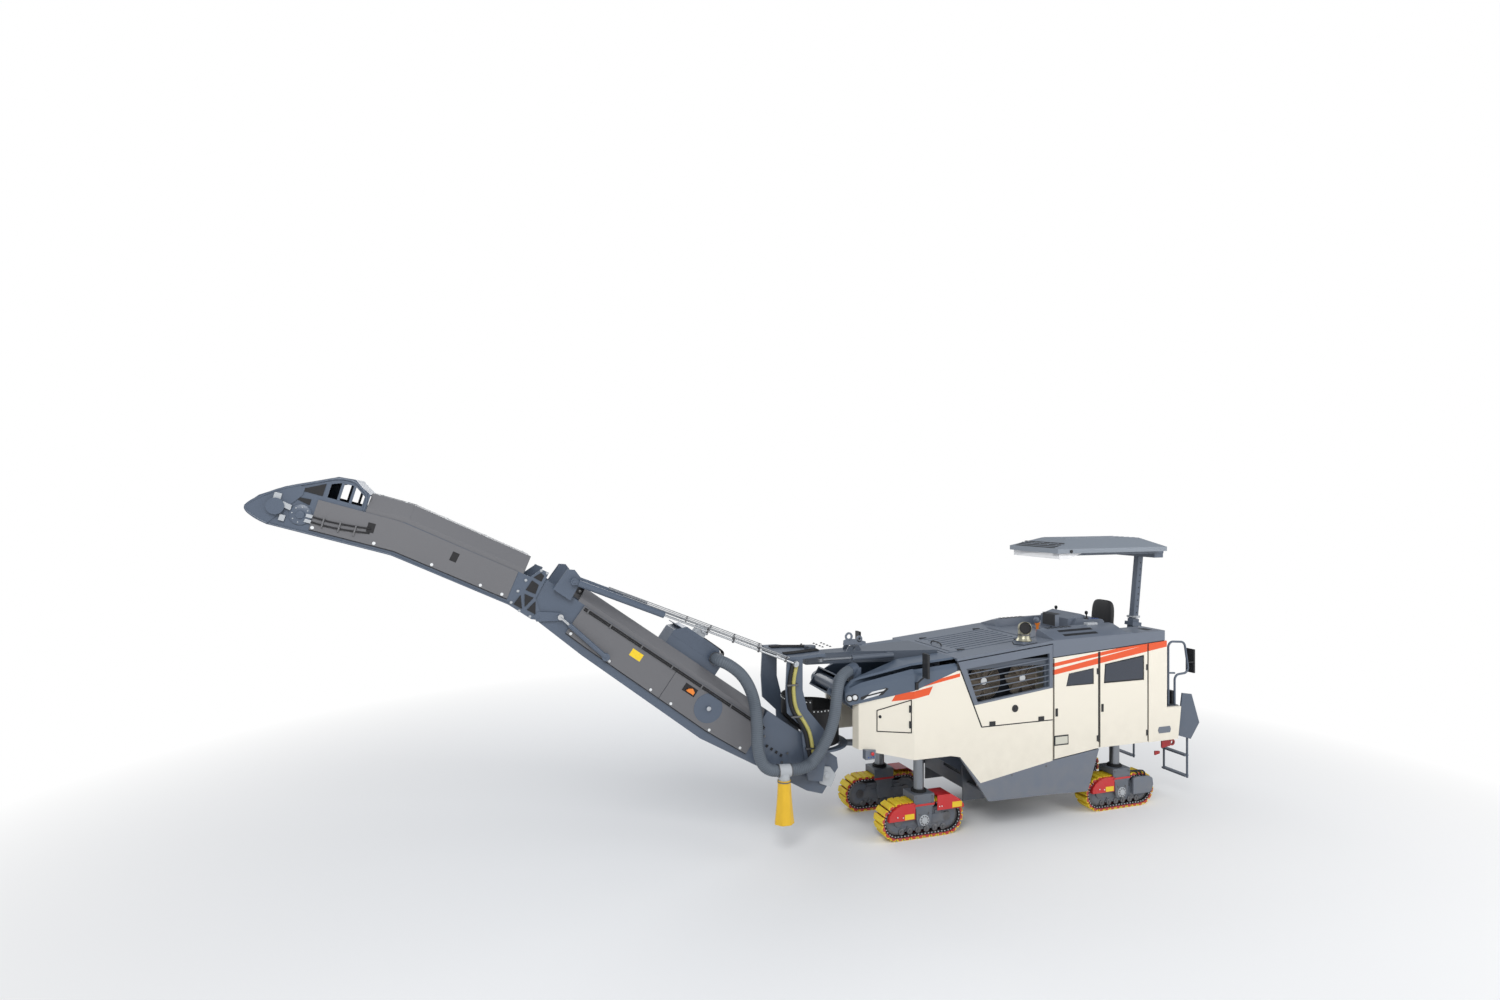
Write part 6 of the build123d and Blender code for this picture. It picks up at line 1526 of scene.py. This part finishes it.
@dataclass
class Chute:
    """Slewing frame, rubber apron, suction hoses and their catch sock, and the lines that cross over."""
    slew: float = 1.45
    apron: float = 0.42
    apron_bolts: int = 48
    hose: float = 0.080
    rib: float = 0.0028
    pitch: float = 0.013
    arm_face: float = 0.5
    body: str = "slew"

    def bolts(self) -> None:
        """Row of pale bolts that holds the apron."""
        points = []
        for spot in circle(self.apron, self.apron_bolts):
            spot += place(self.slew, 0, 0)
            high = 1.995 if spot.x > FRONT_AXLE + self.slew + 0.155 else 1.862
            points.append(Vector((spot.x, spot.y, high)))
        ON_POINTS.lay("apron_bolts", rivet_item(0.0105), WHITE_CAP, self.body, points)

    def hoses(self) -> None:
        """Two ribbed suction hoses."""
        duct = Duct()
        route = [(1.010, 0.385, 2.400), (1.20, 0.50, 2.370), (1.30, 0.60, 2.130), (1.34, 0.64, 1.860),
                 (1.44, HOSE_Y, 1.590), (1.61, HOSE_Y, 1.320), (1.80, HOSE_Y, 1.1578), (2.02, HOSE_Y, 1.170)]
        front = duct.make("suction_duct_front", [place(*spot) for spot in route], self.hose, self.rib,
                          self.pitch,
                          DUCT, "", ["suction_hose_front"])
        end = REAR.at(2.05, 0.42)
        ahead, up = end.x - FRONT_AXLE, end.z
        route = [(2.20, HOSE_Y, 1.18), (2.38, HOSE_Y, 1.19), (2.50, 0.655, 1.48), (2.49, 0.64, 1.83),
                 (2.52, 0.60, 2.18), (2.65, 0.56, 2.47), (ahead - 0.13, 0.50, up - 0.05), (ahead, 0.42, up),
                 (ahead, 0.29, up)]
        rear = duct.make("suction_duct_rear", [place(*spot) for spot in route], self.hose, self.rib,
                         self.pitch,
                         DUCT, "", ["suction_hose_rear"])
        place(1.20, 0.50, 2.37)
        place(1.61, 0.66, 1.32)
        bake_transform(front)
        place(2.50, 0.655, 1.48)
        place(ahead - 0.13, 0.50, up - 0.05)
        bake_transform(rear)

    def tee(self) -> None:
        """Tee pipe between the hoses, on its bracket, with a clamp at each hose."""
        bands = Shape("tee_clamps")
        for at, z in ((2.012, 1.170), (2.192, 1.180)):
            bands.ring(place(at, HOSE_Y, z), Vector((1, 0, 0)), 0.0895, 0.083, 0.014)
        bands.done(STEEL, self.body, sharp=40)
        tee = Shape("tee_pipe")
        tee.rod(place(2.021, HOSE_Y, 1.170), place(2.199, HOSE_Y, 1.180), 0.0857, sides=36)
        tee.rod(place(2.11, HOSE_Y, 1.015), place(2.11, HOSE_Y, 1.175), 0.080, sides=36)
        tee.block(place(1.62, self.arm_face, 1.140), place(2.10, 0.572, 1.170))
        tee.block(place(2.03, self.arm_face, 1.140), place(2.10, 0.60, 1.170))
        tee.done(SILVER, self.body, bevel=0.003, replaces=["hose_tee"], sharp=40)

    def sock(self) -> None:
        """Gathered cloth sock, tied round the tee's lower spigot and open at the foot."""
        rows = []
        high, low, around, steps = 1.052, 0.462, 60, 22
        for part in (k / steps for k in range(steps + 1)):
            radius = 0.0885 + 0.004 * sin(pi * part) + 0.046 * part ** 2
            flat = 1 - 0.12 * part
            row = []
            for angle in (2 * pi * c / around for c in range(around + 1)):
                out = radius + (0.001 + 0.005 * part) * sin(7 * angle + 0.6 * part)
                row.append(place(2.11 + out * cos(angle), HOSE_Y + out * flat * sin(angle),
                                 high + (low - high) * part))
            rows.append(row)
        made = mesh_sheet("catch_sock", rows)
        weld = bmesh.new()
        weld.from_mesh(made.data)
        bmesh.ops.remove_doubles(weld, verts=weld.verts, dist=1e-6)
        bmesh.ops.recalc_face_normals(weld, faces=weld.faces)
        weld.to_mesh(made.data)
        area = sum(face.calc_area() for face in weld.faces)
        weld.free()
        hand_over(made, SOCK_CLOTH, self.body, sharp=180)
        tie = Shape("sock_tie").ring(place(2.11, HOSE_Y, 1.020), UP, 0.0935, 0.086, 0.016)
        tie = tie.done(STEEL, self.body, sharp=40)
        area / 0.60

    def lines(self) -> None:
        """Wrapped hydraulic bundles clipped down the near arm, and short lines over the crosshead."""
        duct = Duct()
        for number, (shift, finish) in enumerate(((0.0, BLACK), (-0.062, YELLOW_WRAP))):
            path = [place(ahead + shift, y, z) for ahead, y, z in BUNDLE_ROUTE]
            duct.make(f"wrapped_bundle_{number}", path, 0.027, 0.0026, 0.011, finish, self.body)
        clips = Shape("bundle_clips")
        for ahead, z in ((1.955, 2.30), (1.90, 1.86), (1.68, 1.40)):
            clips.block(place(ahead - 0.095, self.arm_face + 0.004, z - 0.012),
                        place(ahead + 0.065, 0.567, z + 0.012))
        clips.done(STEEL, self.body, bevel=0.002)
        top = Shape("crosshead_lines")
        for y in (0.10 + 0.035 * k for k in range(4)):
            for side in (1, -1):
                top.tube([place(a, side * (y + out), z) for a, out, z in
                          ((1.40, 0, 2.692), (1.60, 0.05, 2.694), (1.80, 0.12, 2.694),
                           (1.97, 0.13, 2.692))], 0.010)
        top.done(BLACK, self.body, sharp=60)
        caps = Shape("stay_pin_caps")
        for side in (1, -1):
            caps.lathe(place(1.90, side * 0.59, 2.59), sideways(side),
                       [(0.034, 0), (0.034, 0.006), (0.022, 0.010)])
        caps.done(SILVER, self.body, sharp=40)

    def beam(self) -> None:
        """Lifting plate and bolt heads on the upper beam."""
        outline = [(0.60, 2.722), (0.97, 2.722), (0.965, 2.79), (0.93, 2.805), (0.79, 2.805), (0.66, 2.775),
                   (0.61, 2.76)]
        eyes = Shape("lifting_plate").plate(SIDE, outline, 0.105, 0.020)
        eyes.ring(place(0.88, 0.105, 2.845), sideways(1), 0.062, 0.032, 0.020)
        eyes.ring(place(0.71, 0.105, 2.800), sideways(1), 0.050, 0.024, 0.020)
        eyes.done(HULL_GREY, MACHINE, bevel=0.003, sharp=40)
        heads = [place(a, s * y, 2.722) for a in (1.20, 1.32, 1.52) for y in (0.06, 0.16) for s in (1, -1)]
        ON_POINTS.lay("beam_bolts", bolt_item(0.013), STEEL, MACHINE, heads)

    def build(self) -> None:
        """Build and dress the chute area."""
        dress(RAIL_BLUE, "slewing_frame", "pickup_conveyor")
        dress(BLACK, "chute_apron")
        dress(COLUMN_STEEL, "slew_cylinder_rod")
        self.bolts()
        self.hoses()
        self.tee()
        self.sock()
        self.lines()
        self.beam()


# ---------------------------------------------------------------- conveyors
def flat_piece(name: str, view: Slope, outlines: Sequence[Outline], y: float, depth: float, finish: Finish,
               body: str, bevel: float = 0.0) -> None:
    """Piece of flat plates with outlines on a slope, from the side y outwards by a depth."""
    shape = Shape(name)
    for outline in outlines:
        shape.plate(view, outline, y, depth)
    shape.done(finish, body, bevel=bevel)


@dataclass
class RearConveyor:
    """Lower conveyor part: side panels, latches, drum disc, lines and the suction vessel's fittings."""
    half: float = 0.435
    panel: tuple[float, float] = (0.98, 3.98)
    foot: tuple[tuple[float, float], ...] = ((0.90, -0.405), (1.66, -0.440), (3.64, -0.385), (4.06, -0.362))
    high: float = 0.046
    disc: tuple[float, float] = (1.801, -0.179)
    body: str = "conveyor_rear"

    def panels(self) -> None:
        """Warm grey side panels over the frame, with a dark slit and latches along them."""
        a0, a1 = self.panel
        for label, side in SIDES:
            face, out = side * self.half, sideways(side)
            for number, (start, end) in enumerate(((a0, 2.46), (2.466, a1))):
                foot = [(a, u) for a, u in self.foot if start < a < end]
                outline = [(start, line_height(self.foot, start)), *foot, (end, line_height(self.foot, end)),
                           (end, self.high), (start, self.high)]
                flat_piece(f"rear_side_panel_{number}_{label}", REAR, [outline], face, side * 0.003,
                           COVER_GREY,
                           self.body, 0.001)
            foot = [(a0, line_height(self.foot, a0)), *self.foot[1:-1], (a1, line_height(self.foot, a1))]
            outline = [(a, u - 0.011) for a, u in foot] + [(a, u - 0.001) for a, u in foot[::-1]]
            flat_piece(f"rear_slit_{label}", REAR, [outline], face, side * 0.0015, BLACK, self.body)
            low = [REAR.at(a, line_height(self.foot, a) + 0.028, side * (self.half + 0.003))
                   for a in (1.10, 1.62, 2.28, 2.62, 3.30, 3.92)]
            ON_POINTS.lay(f"rear_latches_low_{label}", disc_item(0.019, out, 0.007), WHITE_CAP, self.body,
                          low)
            edge = (REAR.up + out).normalized()
            high = [REAR.at(a, 0.150, side * 0.354) for a in (1.25, 1.80, 2.35, 2.90, 3.45, 4.0)]
            ON_POINTS.lay(f"rear_latches_high_{label}", disc_item(0.019, edge, 0.008), WHITE_CAP, self.body,
                          high)

    def fittings(self) -> None:
        """Disc hub, tail guard with its bearing, square holes and bolts on each side."""
        tail_outline = [(-0.40, -0.16), (-0.37, 0.02), (-0.22, 0.07), (-0.12, 0.02), (-0.10, -0.10),
                        (-0.22, -0.20)]
        bearing = [(0.062, 0), (0.062, 0.010), (0.034, 0.016), (0.030, 0.026), (0.012, 0.028)]
        square_hole_shades = [oblong(a, -0.19, a + 0.035, -0.15) for a in (0.50 + 0.085 * k for k in range(4))]
        for label, side in SIDES:
            out = sideways(side)
            hub = Shape(f"drum_disc_hub_{label}").lathe(REAR.at(*self.disc, side * (self.half + 0.035)), out,
                                                        [(0.030, 0), (0.030, 0.006), (0.018, 0.012)])
            hub.done(SILVER, self.body, sharp=40)
            tail = Shape(f"tail_guard_{label}").plate(REAR, tail_outline, side * (self.half + 0.001),
                                                      side * 0.008)
            tail.lathe(REAR.at(-0.24, -0.065, side * (self.half + 0.009)), out, bearing)
            tail.done(SILVER, self.body, bevel=0.002, sharp=40)
            # Painted shade: black plates stand for the shaded insides of the square holes.
            flat_piece(f"tail_holes_{label}", REAR, square_hole_shades, side * self.half, side * 0.001, BLACK,
                       self.body)
            points = [REAR.at(a, u, side * (self.half + 0.0005)) for a, u in
                      ((0.45, -0.10), (0.45, -0.24), (0.88, -0.08), (0.88, -0.26), (-0.02, -0.20),
                       (0.2, -0.28))]
            ON_POINTS.lay(f"tail_bolts_{label}", bolt_item(0.011, out), STEEL, self.body, points)

    def signs(self) -> None:
        """Blank label, and the orange chock in its recess, on the near side."""
        chock = [(2.09, -0.145), (2.21, -0.145), (2.19, -0.105), (2.14, -0.075), (2.09, -0.105)]
        for name, outline, out, depth, finish, bevel in (
                ("blank_label", oblong(2.96, -0.165, 3.13, -0.065), 0.003, 0.0015, LABEL_YELLOW, 0.0),
                # Painted shade: a black plate stands for the shaded hollow of the chock's recess.
                ("chock_recess", oblong(2.06, -0.165, 2.26, -0.055), 0.003, 0.002, BLACK, 0.0),
                ("orange_chock", chock, 0.004, 0.030, SIGNAL_ORANGE, 0.004)):
            flat_piece(name, REAR, [outline], self.half + out, depth, finish, self.body, bevel)

    def lines(self) -> None:
        """Hydraulic lines clipped along the upper edge of the near side."""
        y = self.half + 0.013
        pipes = Shape("rear_lines")
        for up in (0.022, -0.002):
            pipes.tube([REAR.at(a, up, y) for a in (0.95, 1.40, 2.0, 2.8, 3.5, 3.96)], 0.009)
        pipes.done(BLACK, self.body, sharp=60)
        clips = [REAR.at(a, 0.010, y) for a in (1.05, 1.55, 2.05, 2.55, 3.05, 3.55, 3.9)]
        block = Shape("clip_block").block((-0.010, -0.0125, -0.024), (0.010, 0.0125, 0.024))
        ON_POINTS.lay("rear_line_clips", block.item(), STEEL, self.body, clips,
                      turn=(0, -radians(REAR.degrees), 0))

    def vessel(self) -> None:
        """Lines, valve, seams and hose clamp of the suction vessel."""
        top = Shape("vessel_lines")
        route = ((2.30, 0.568), (2.02, 0.568), (1.897, 0.56), (1.89, 0.46), (1.885, 0.30))
        for y in (-0.06, 0.0, 0.06):
            top.tube([REAR.at(a, u, y) for a, u in route], 0.009)
        top.done(BLACK, self.body, sharp=60)
        outline = [(2.28, 0.560), (2.44, 0.560), (2.44, 0.66), (2.40, 0.69), (2.30, 0.69), (2.28, 0.66)]
        valve = Shape("vessel_valve").plate(REAR, outline, -0.08, 0.16)
        valve.rod(REAR.at(2.36, 0.64, 0.08), REAR.at(2.36, 0.64, 0.14), 0.024)
        valve.rod(REAR.at(2.24, 0.64, 0.0), REAR.at(2.30, 0.64, 0.0), 0.020)
        valve.done(SILVER, self.body, bevel=0.004, sharp=40)
        seams = [oblong(1.897, up, 2.753, up + 0.012) for up in (0.36, 0.50)]
        flat_piece("vessel_seams", REAR, seams, -0.2325, 0.465, RAIL_BLUE, self.body, 0.001)
        clamp = Shape("vessel_clamp").ring(REAR.at(2.05, 0.42, 0.296), sideways(1), 0.0895, 0.083, 0.014)
        clamp.done(STEEL, self.body, sharp=40)

    def ropes(self) -> None:
        """Ropes that run beside the stays, and their guides."""
        start, end = place(1.90, 0, 2.59), REAR.at(4.287, 0.222)
        length = (end - start).length
        along = (end - start).normalized()
        up = Vector((-along.z, 0, along.x))
        ropes, guides = Shape("stay_ropes"), Shape("stay_rope_guides")
        for side in (1, -1):
            foot = start + sideways(side) * 0.56
            for lift, shift in ((0.050, 0.0), (0.030, 0.042)):
                offset = up * lift + sideways(side) * -shift
                ropes.rod(foot + along * 0.12 + offset, foot + along * (length * 0.80) + offset, 0.0065,
                          sides=10)
            for part in (0.05, 0.18, 0.30, 0.42):
                spot = foot + along * (length * part) - along * 0.008
                guides.lathe(spot, along, [(0.030, 0), (0.030, 0.016)], 20)
                guides.lathe(spot + up * 0.040, along, [(0.017, 0), (0.017, 0.016)], 14)
        ropes.done(ROPE_STEEL, "stay_rods", sharp=60)
        guides.done(STEEL, "stay_rods", sharp=40)

    def build(self) -> None:
        """Build and dress the rear part."""
        dress(RAIL_BLUE, "conveyor_rear_frame", "dust_vessel", "stay_cylinders")
        dress(COVER_GREY, "conveyor_rear_cover")
        dress(BELT_BLACK, "conveyor_rear_belt")
        dress(CHROME, "fold_cylinder_rods", "stay_rods")
        self.panels()
        self.fittings()
        self.signs()
        self.lines()
        self.vessel()
        self.ropes()


@dataclass
class FrontConveyor:
    """Folding conveyor part with its discharge head."""
    half: float = 0.454
    low: float = 0.062
    high: float = 0.418
    chord: float = 0.012
    bend: float = FRONT_BEND
    head: float = 0.93
    body: str = "conveyor_front"
    cover_half: float = 0.445
    roller: tuple[float, float] = (1.06, 0.20)

    def side_piece(self, name: str, side: int, corners: Sequence[Vector], depth: float, finish: Finish,
                   bevel: float = 0.0) -> None:
        """Flat piece on the side face, with corners on both slopes."""
        outline = [Vector((spot.x, side * self.half, spot.z)) for spot in corners]
        Shape(name).prism(outline, sideways(side) * depth).done(finish, self.body, bevel=bevel)

    def panels(self) -> None:
        """Warm grey side panels, their square holes and latches."""
        for label, side in SIDES:
            points = [FRONT.at(0.44, self.low), FRONT.at(self.bend, self.low), TIP.at(self.head, self.low),
                      TIP.at(self.head, self.high), TIP.at(0.0, self.high), FRONT.at(0.46, self.high)]
            self.side_piece(f"front_side_panel_{label}", side, points, 0.003, COVER_GREY, 0.001)
            points = [FRONT.at(0.44, 0.052), FRONT.at(self.bend, 0.052), TIP.at(self.head, 0.052),
                      TIP.at(self.head, 0.060), FRONT.at(self.bend, 0.060), FRONT.at(0.44, 0.060)]
            self.side_piece(f"front_slit_{label}", side, points, 0.0015, BLACK)
            out, face = sideways(side), side * (self.half + 0.003)
            low = [FRONT.at(a, 0.088, face) for a in (0.52, 0.80, 1.42)] + [TIP.at(a, 0.090, face)
                                                                            for a in (0.22, 0.90)]
            ON_POINTS.lay(f"front_latches_low_{label}", disc_item(0.019, out, 0.007), WHITE_CAP, self.body,
                          low)
            edge = (FRONT.up + out).normalized()
            high = [view.at(a, 0.640, side * 0.312) for view, a in
                    ((FRONT, 0.46), (FRONT, 0.98), (FRONT, 1.50), (TIP, 0.02), (TIP, 0.34))]
            ON_POINTS.lay(f"front_latches_high_{label}", disc_item(0.019, edge, 0.008), WHITE_CAP,
                          self.body, high)
            # Painted shade: black plates stand for the shaded insides of the square holes.
            holes = Shape(f"front_holes_{label}")
            for view, a, u in ((FRONT, 1.18, 0.22), (TIP, 0.26, 0.20)):
                holes.plate(view, oblong(a, u, a + 0.085, u + 0.115), face, side * 0.001)
            holes.done(BLACK, self.body)

    def bracket(self) -> None:
        """Lattice look and pale bolts of the fold bracket."""
        openings = [[(0.04, 0.02), (0.11, 0.17), (0.16, 0.03)], [(0.15, 0.20), (0.20, 0.05), (0.27, 0.20)],
                    [(0.22, 0.02), (0.34, 0.03), (0.31, 0.17)],
                    [(0.15, 0.25), (0.28, 0.25), (0.26, 0.39), (0.16, 0.37)],
                    [(0.15, 0.42), (0.26, 0.43), (0.20, 0.52), (0.15, 0.50)]]
        pins = ((0.375, 0.04), (0.36, 0.20), (0.33, 0.36), (0.13, 0.545), (0.21, 0.545), (0.09, -0.03),
                (0.24, -0.015))
        for label, side in SIDES:
            face = side * self.half
            # Painted shade: black plates stand for the shaded openings of the lattice.
            flat_piece(f"bracket_openings_{label}", FRONT, openings, face, side * 0.0008, BLACK, self.body)
            ON_POINTS.lay(f"bracket_bolts_{label}", bolt_item(0.012, sideways(side)), SILVER, self.body,
                          [FRONT.at(a, u, face) for a, u in pins])

    def motor(self, label: str, side: int) -> None:
        """Bolted motor of the head roller, its fittings, lines and clips."""
        out, face = sideways(side), self.half + 0.003
        profile = [(0.118, 0), (0.118, 0.008), (0.104, 0.014), (0.050, 0.016), (0.044, 0.034), (0.020, 0.036)]
        motor = Shape(f"head_motor_{label}").lathe(TIP.at(*self.roller, side * self.half), out, profile, 36)
        motor.done(RAIL_BLUE, self.body, sharp=40)
        spots = [TIP.at(self.roller[0] + spot.x, self.roller[1] + spot.y, side * (self.half + 0.012))
                 for spot in circle(0.088, 8)]
        ON_POINTS.lay(f"head_motor_bolts_{label}", bolt_item(0.008, out), SILVER, self.body, spots)
        fittings = Shape(f"head_fittings_{label}")
        for outline, foot, depth in ((oblong(0.93, 0.13, 1.00, 0.17), face, 0.022),
                                     (oblong(0.93, 0.19, 1.00, 0.23), face, 0.022),
                                     ([(1.17, 0.22), (1.27, 0.24), (1.27, 0.30), (1.17, 0.28)], self.half,
                                      0.034),
                                     (oblong(1.20, 0.08, 1.26, 0.15), self.half, 0.026)):
            fittings.plate(TIP, outline, side * foot, side * depth)
        fittings.done(SILVER, self.body, bevel=0.003)
        lines = Shape(f"head_lines_{label}")
        for up in (0.150, 0.210):
            last = 0.19 + (up - 0.15) * 0.9
            lines.tube([TIP.at(a, u, side * (face + proud)) for a, u, proud in
                        ((0.94, up, 0.011), (0.78, up - 0.01, 0.011), (0.52, up + 0.01, 0.011),
                         (0.32, last, 0.011),
                         (0.30, last, 0.003))], 0.0095)
        lines.done(BLACK, self.body, sharp=60)
        clips = [oblong(a, 0.115, a + 0.018, 0.235) for a in (0.45, 0.62, 0.80)]
        flat_piece(f"head_line_clips_{label}", TIP, clips, side * face, side * 0.022, STEEL, self.body, 0.002)

    def guard(self, label: str, side: int) -> None:
        """Bars, openings, cheek and rims of the nose guard."""
        face, cover = side * self.half, side * self.cover_half
        bars = [[(0.585, 0.468), (0.615, 0.468), (0.615, 0.685), (0.585, 0.672)],
                [(0.715, 0.468), (0.745, 0.468), (0.745, 0.680), (0.715, 0.682)]]
        flat_piece(f"guard_bars_{label}", TIP, bars, cover, side * 0.0088, RAIL_BLUE, self.body, 0.001)
        # Painted shade: black plates stand for the shaded openings in the nose guard.
        dark = [[(0.90, 0.470), (1.16, 0.470), (0.90, 0.620)], [(1.00, 0.330), (1.24, 0.380), (1.0, 0.40)]]
        flat_piece(f"guard_openings_{label}", TIP, dark, face, side * 0.0008, BLACK, self.body)
        slope = radians(TIP.degrees)
        tip = (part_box("nose_guard")[1].x - TIP.origin.x + 0.145 * sin(slope)) / cos(slope)
        cheek = [(1.10, 0.425), (1.36, 0.012), (1.44, 0.03), (tip - 0.018, 0.11), (tip - 0.012, 0.15),
                 (1.505, 0.29), (1.285, 0.452), (1.16, 0.52), (1.10, 0.52)]
        flat_piece(f"head_cheek_{label}", TIP, [cheek], face, side * 0.002, RAIL_BLUE, self.body, 0.001)
        edge = [(0.44, 0.43), (0.43, 0.60), (0.52, 0.668), (0.62, 0.738), (0.80, 0.720), (0.97, 0.626),
                (1.30, 0.458),
                (1.50, 0.30), (tip - 0.022, 0.17), (tip - 0.02, 0.10), (1.46, 0.03), (1.36, 0.016)]
        rim = Shape(f"guard_rim_{label}").tube([TIP.at(a, u, cover + side * 0.004) for a, u in edge], 0.015)
        rim.done(RAIL_BLUE, self.body, sharp=60)
        points = [view.at(a, self.chord, face) for view, a in
                  ((FRONT, 0.40), (FRONT, 1.0), (FRONT, 1.86), (TIP, 0.02), (TIP, 0.6), (TIP, 1.34))]
        Shape(f"chord_rim_{label}").tube(points, 0.011).done(RAIL_BLUE, self.body, sharp=60)

    def build(self) -> None:
        """Build and dress the folding part."""
        dress(RAIL_BLUE, "conveyor_front_frame", "nose_guard")
        dress(COVER_GREY, "conveyor_front_cover")
        dress(BELT_BLACK, "conveyor_front_belt")
        self.panels()
        self.bracket()
        for label, side in SIDES:
            self.motor(label, side)
            self.guard(label, side)
        flat_piece("head_lamp", TIP, [oblong(1.30, 0.30, 1.38, 0.38)], self.half, 0.032, SILVER, self.body,
                   0.006)


# ---------------------------------------------------------------- stage
@dataclass
class Stage:
    """Plain pale floor, soft studio lamps, an even white surround and the camera."""
    camera_at: tuple[float, float, float] = (4.441, 11.2, 4.85)
    heading: float = 161.0
    lens: float = 19.97
    floor_half: float = 60.0
    floor_fade: float = 9.0     # the floor turns white this far from the machine

    def floor(self) -> bpy.types.Object:
        """Pale floor that fades into the surround far from the machine."""
        graph = Graph("studio_floor_paint")
        pale = graph.node("ShaderNodeBsdfPrincipled", None,
                          {"Base Color": (0.86, 0.86, 0.86, 1), "Roughness": 0.8})
        white = graph.node("ShaderNodeEmission", None, {"Color": (1, 1, 1, 1), "Strength": 1.0})
        x, y, _ = graph.place()
        far = (x * x + y * y).between(self.floor_fade ** 2, 1e9, 150.0)
        graph.output(graph.node("ShaderNodeMixShader", None, {0: far, 1: pale, 2: white}))
        half = self.floor_half
        ground = Shape("studio_floor").block((-half, -half, -0.05), (half, half, -0.0005)).item()
        ground.data.materials.append(graph.material)
        bpy.context.scene.collection.objects.link(ground)
        return ground

    def world(self) -> None:
        """Soft grey light from all round, with white seen behind the machine."""
        world = bpy.data.worlds.new("studio")
        world.use_nodes = True
        nodes, links = world.node_tree.nodes, world.node_tree.links
        nodes.clear()
        soft, white, path, either, mix, out = (nodes.new(f"ShaderNode{kind}") for kind in (
            "Background", "Background", "LightPath", "Math", "MixShader", "OutputWorld"))
        for light, colour, strength in ((soft, (0.80, 0.84, 0.90, 1), 0.55), (white, (1, 1, 1, 1), 1.0)):
            light.inputs["Color"].default_value = colour
            light.inputs["Strength"].default_value = strength
        either.operation = "MAXIMUM"
        for start, end in ((path.outputs["Is Camera Ray"], either.inputs[0]),
                           (path.outputs["Is Transmission Ray"], either.inputs[1]),
                           (either.outputs[0], mix.inputs[0]), (soft.outputs[0], mix.inputs[1]),
                           (white.outputs[0], mix.inputs[2]), (mix.outputs[0], out.inputs[0])):
            links.new(start, end)
        bpy.context.scene.world = world

    def lamp(self, name: str, at: tuple[float, float, float], power: float, size: float) -> bpy.types.Object:
        """Square area lamp aimed at the middle of the machine."""
        data = bpy.data.lights.new(name, "AREA")
        data.energy, data.size, data.shape = power, size, "SQUARE"
        made = linked(name, data)
        made.location = at
        made.rotation_euler = (Vector((0, 0, 1.8)) - Vector(at)).to_track_quat("-Z", "Y").to_euler()
        return made

    def build(self) -> None:
        """Build the stage and look through its camera."""
        self.world()
        pieces = [self.floor(),
                  self.lamp("key_lamp", (5.5, 10.0, 10.5), 900.0, 6.0),
                  self.lamp("fill_lamp", (-9.0, 7.0, 7.0), 380.0, 7.0),
                  self.lamp("back_lamp", (1.0, -11.0, 9.0), 420.0, 7.0)]
        data = bpy.data.cameras.new("camera")
        data.lens, data.sensor_width = self.lens, 36.0
        camera = linked("camera", data)
        camera.location = self.camera_at
        camera.rotation_euler = (pi / 2, 0, radians(self.heading))
        bpy.context.scene.camera = camera
        bpy.context.scene.view_settings.view_transform = "Standard"


def main() -> None:
    """Build every sub-assembly in order, then the stage."""
    for name in ("front_left", "front_right", "rear_left", "rear_right"):
        TrackUnit(name).build()
    for part in (Hull, Bonnet, Stand, Chute, RearConveyor, FrontConveyor, Stage):
        part().build()


if __name__ == "__main__":
    logging.basicConfig(level=logging.INFO, format="%(message)s")
    main()
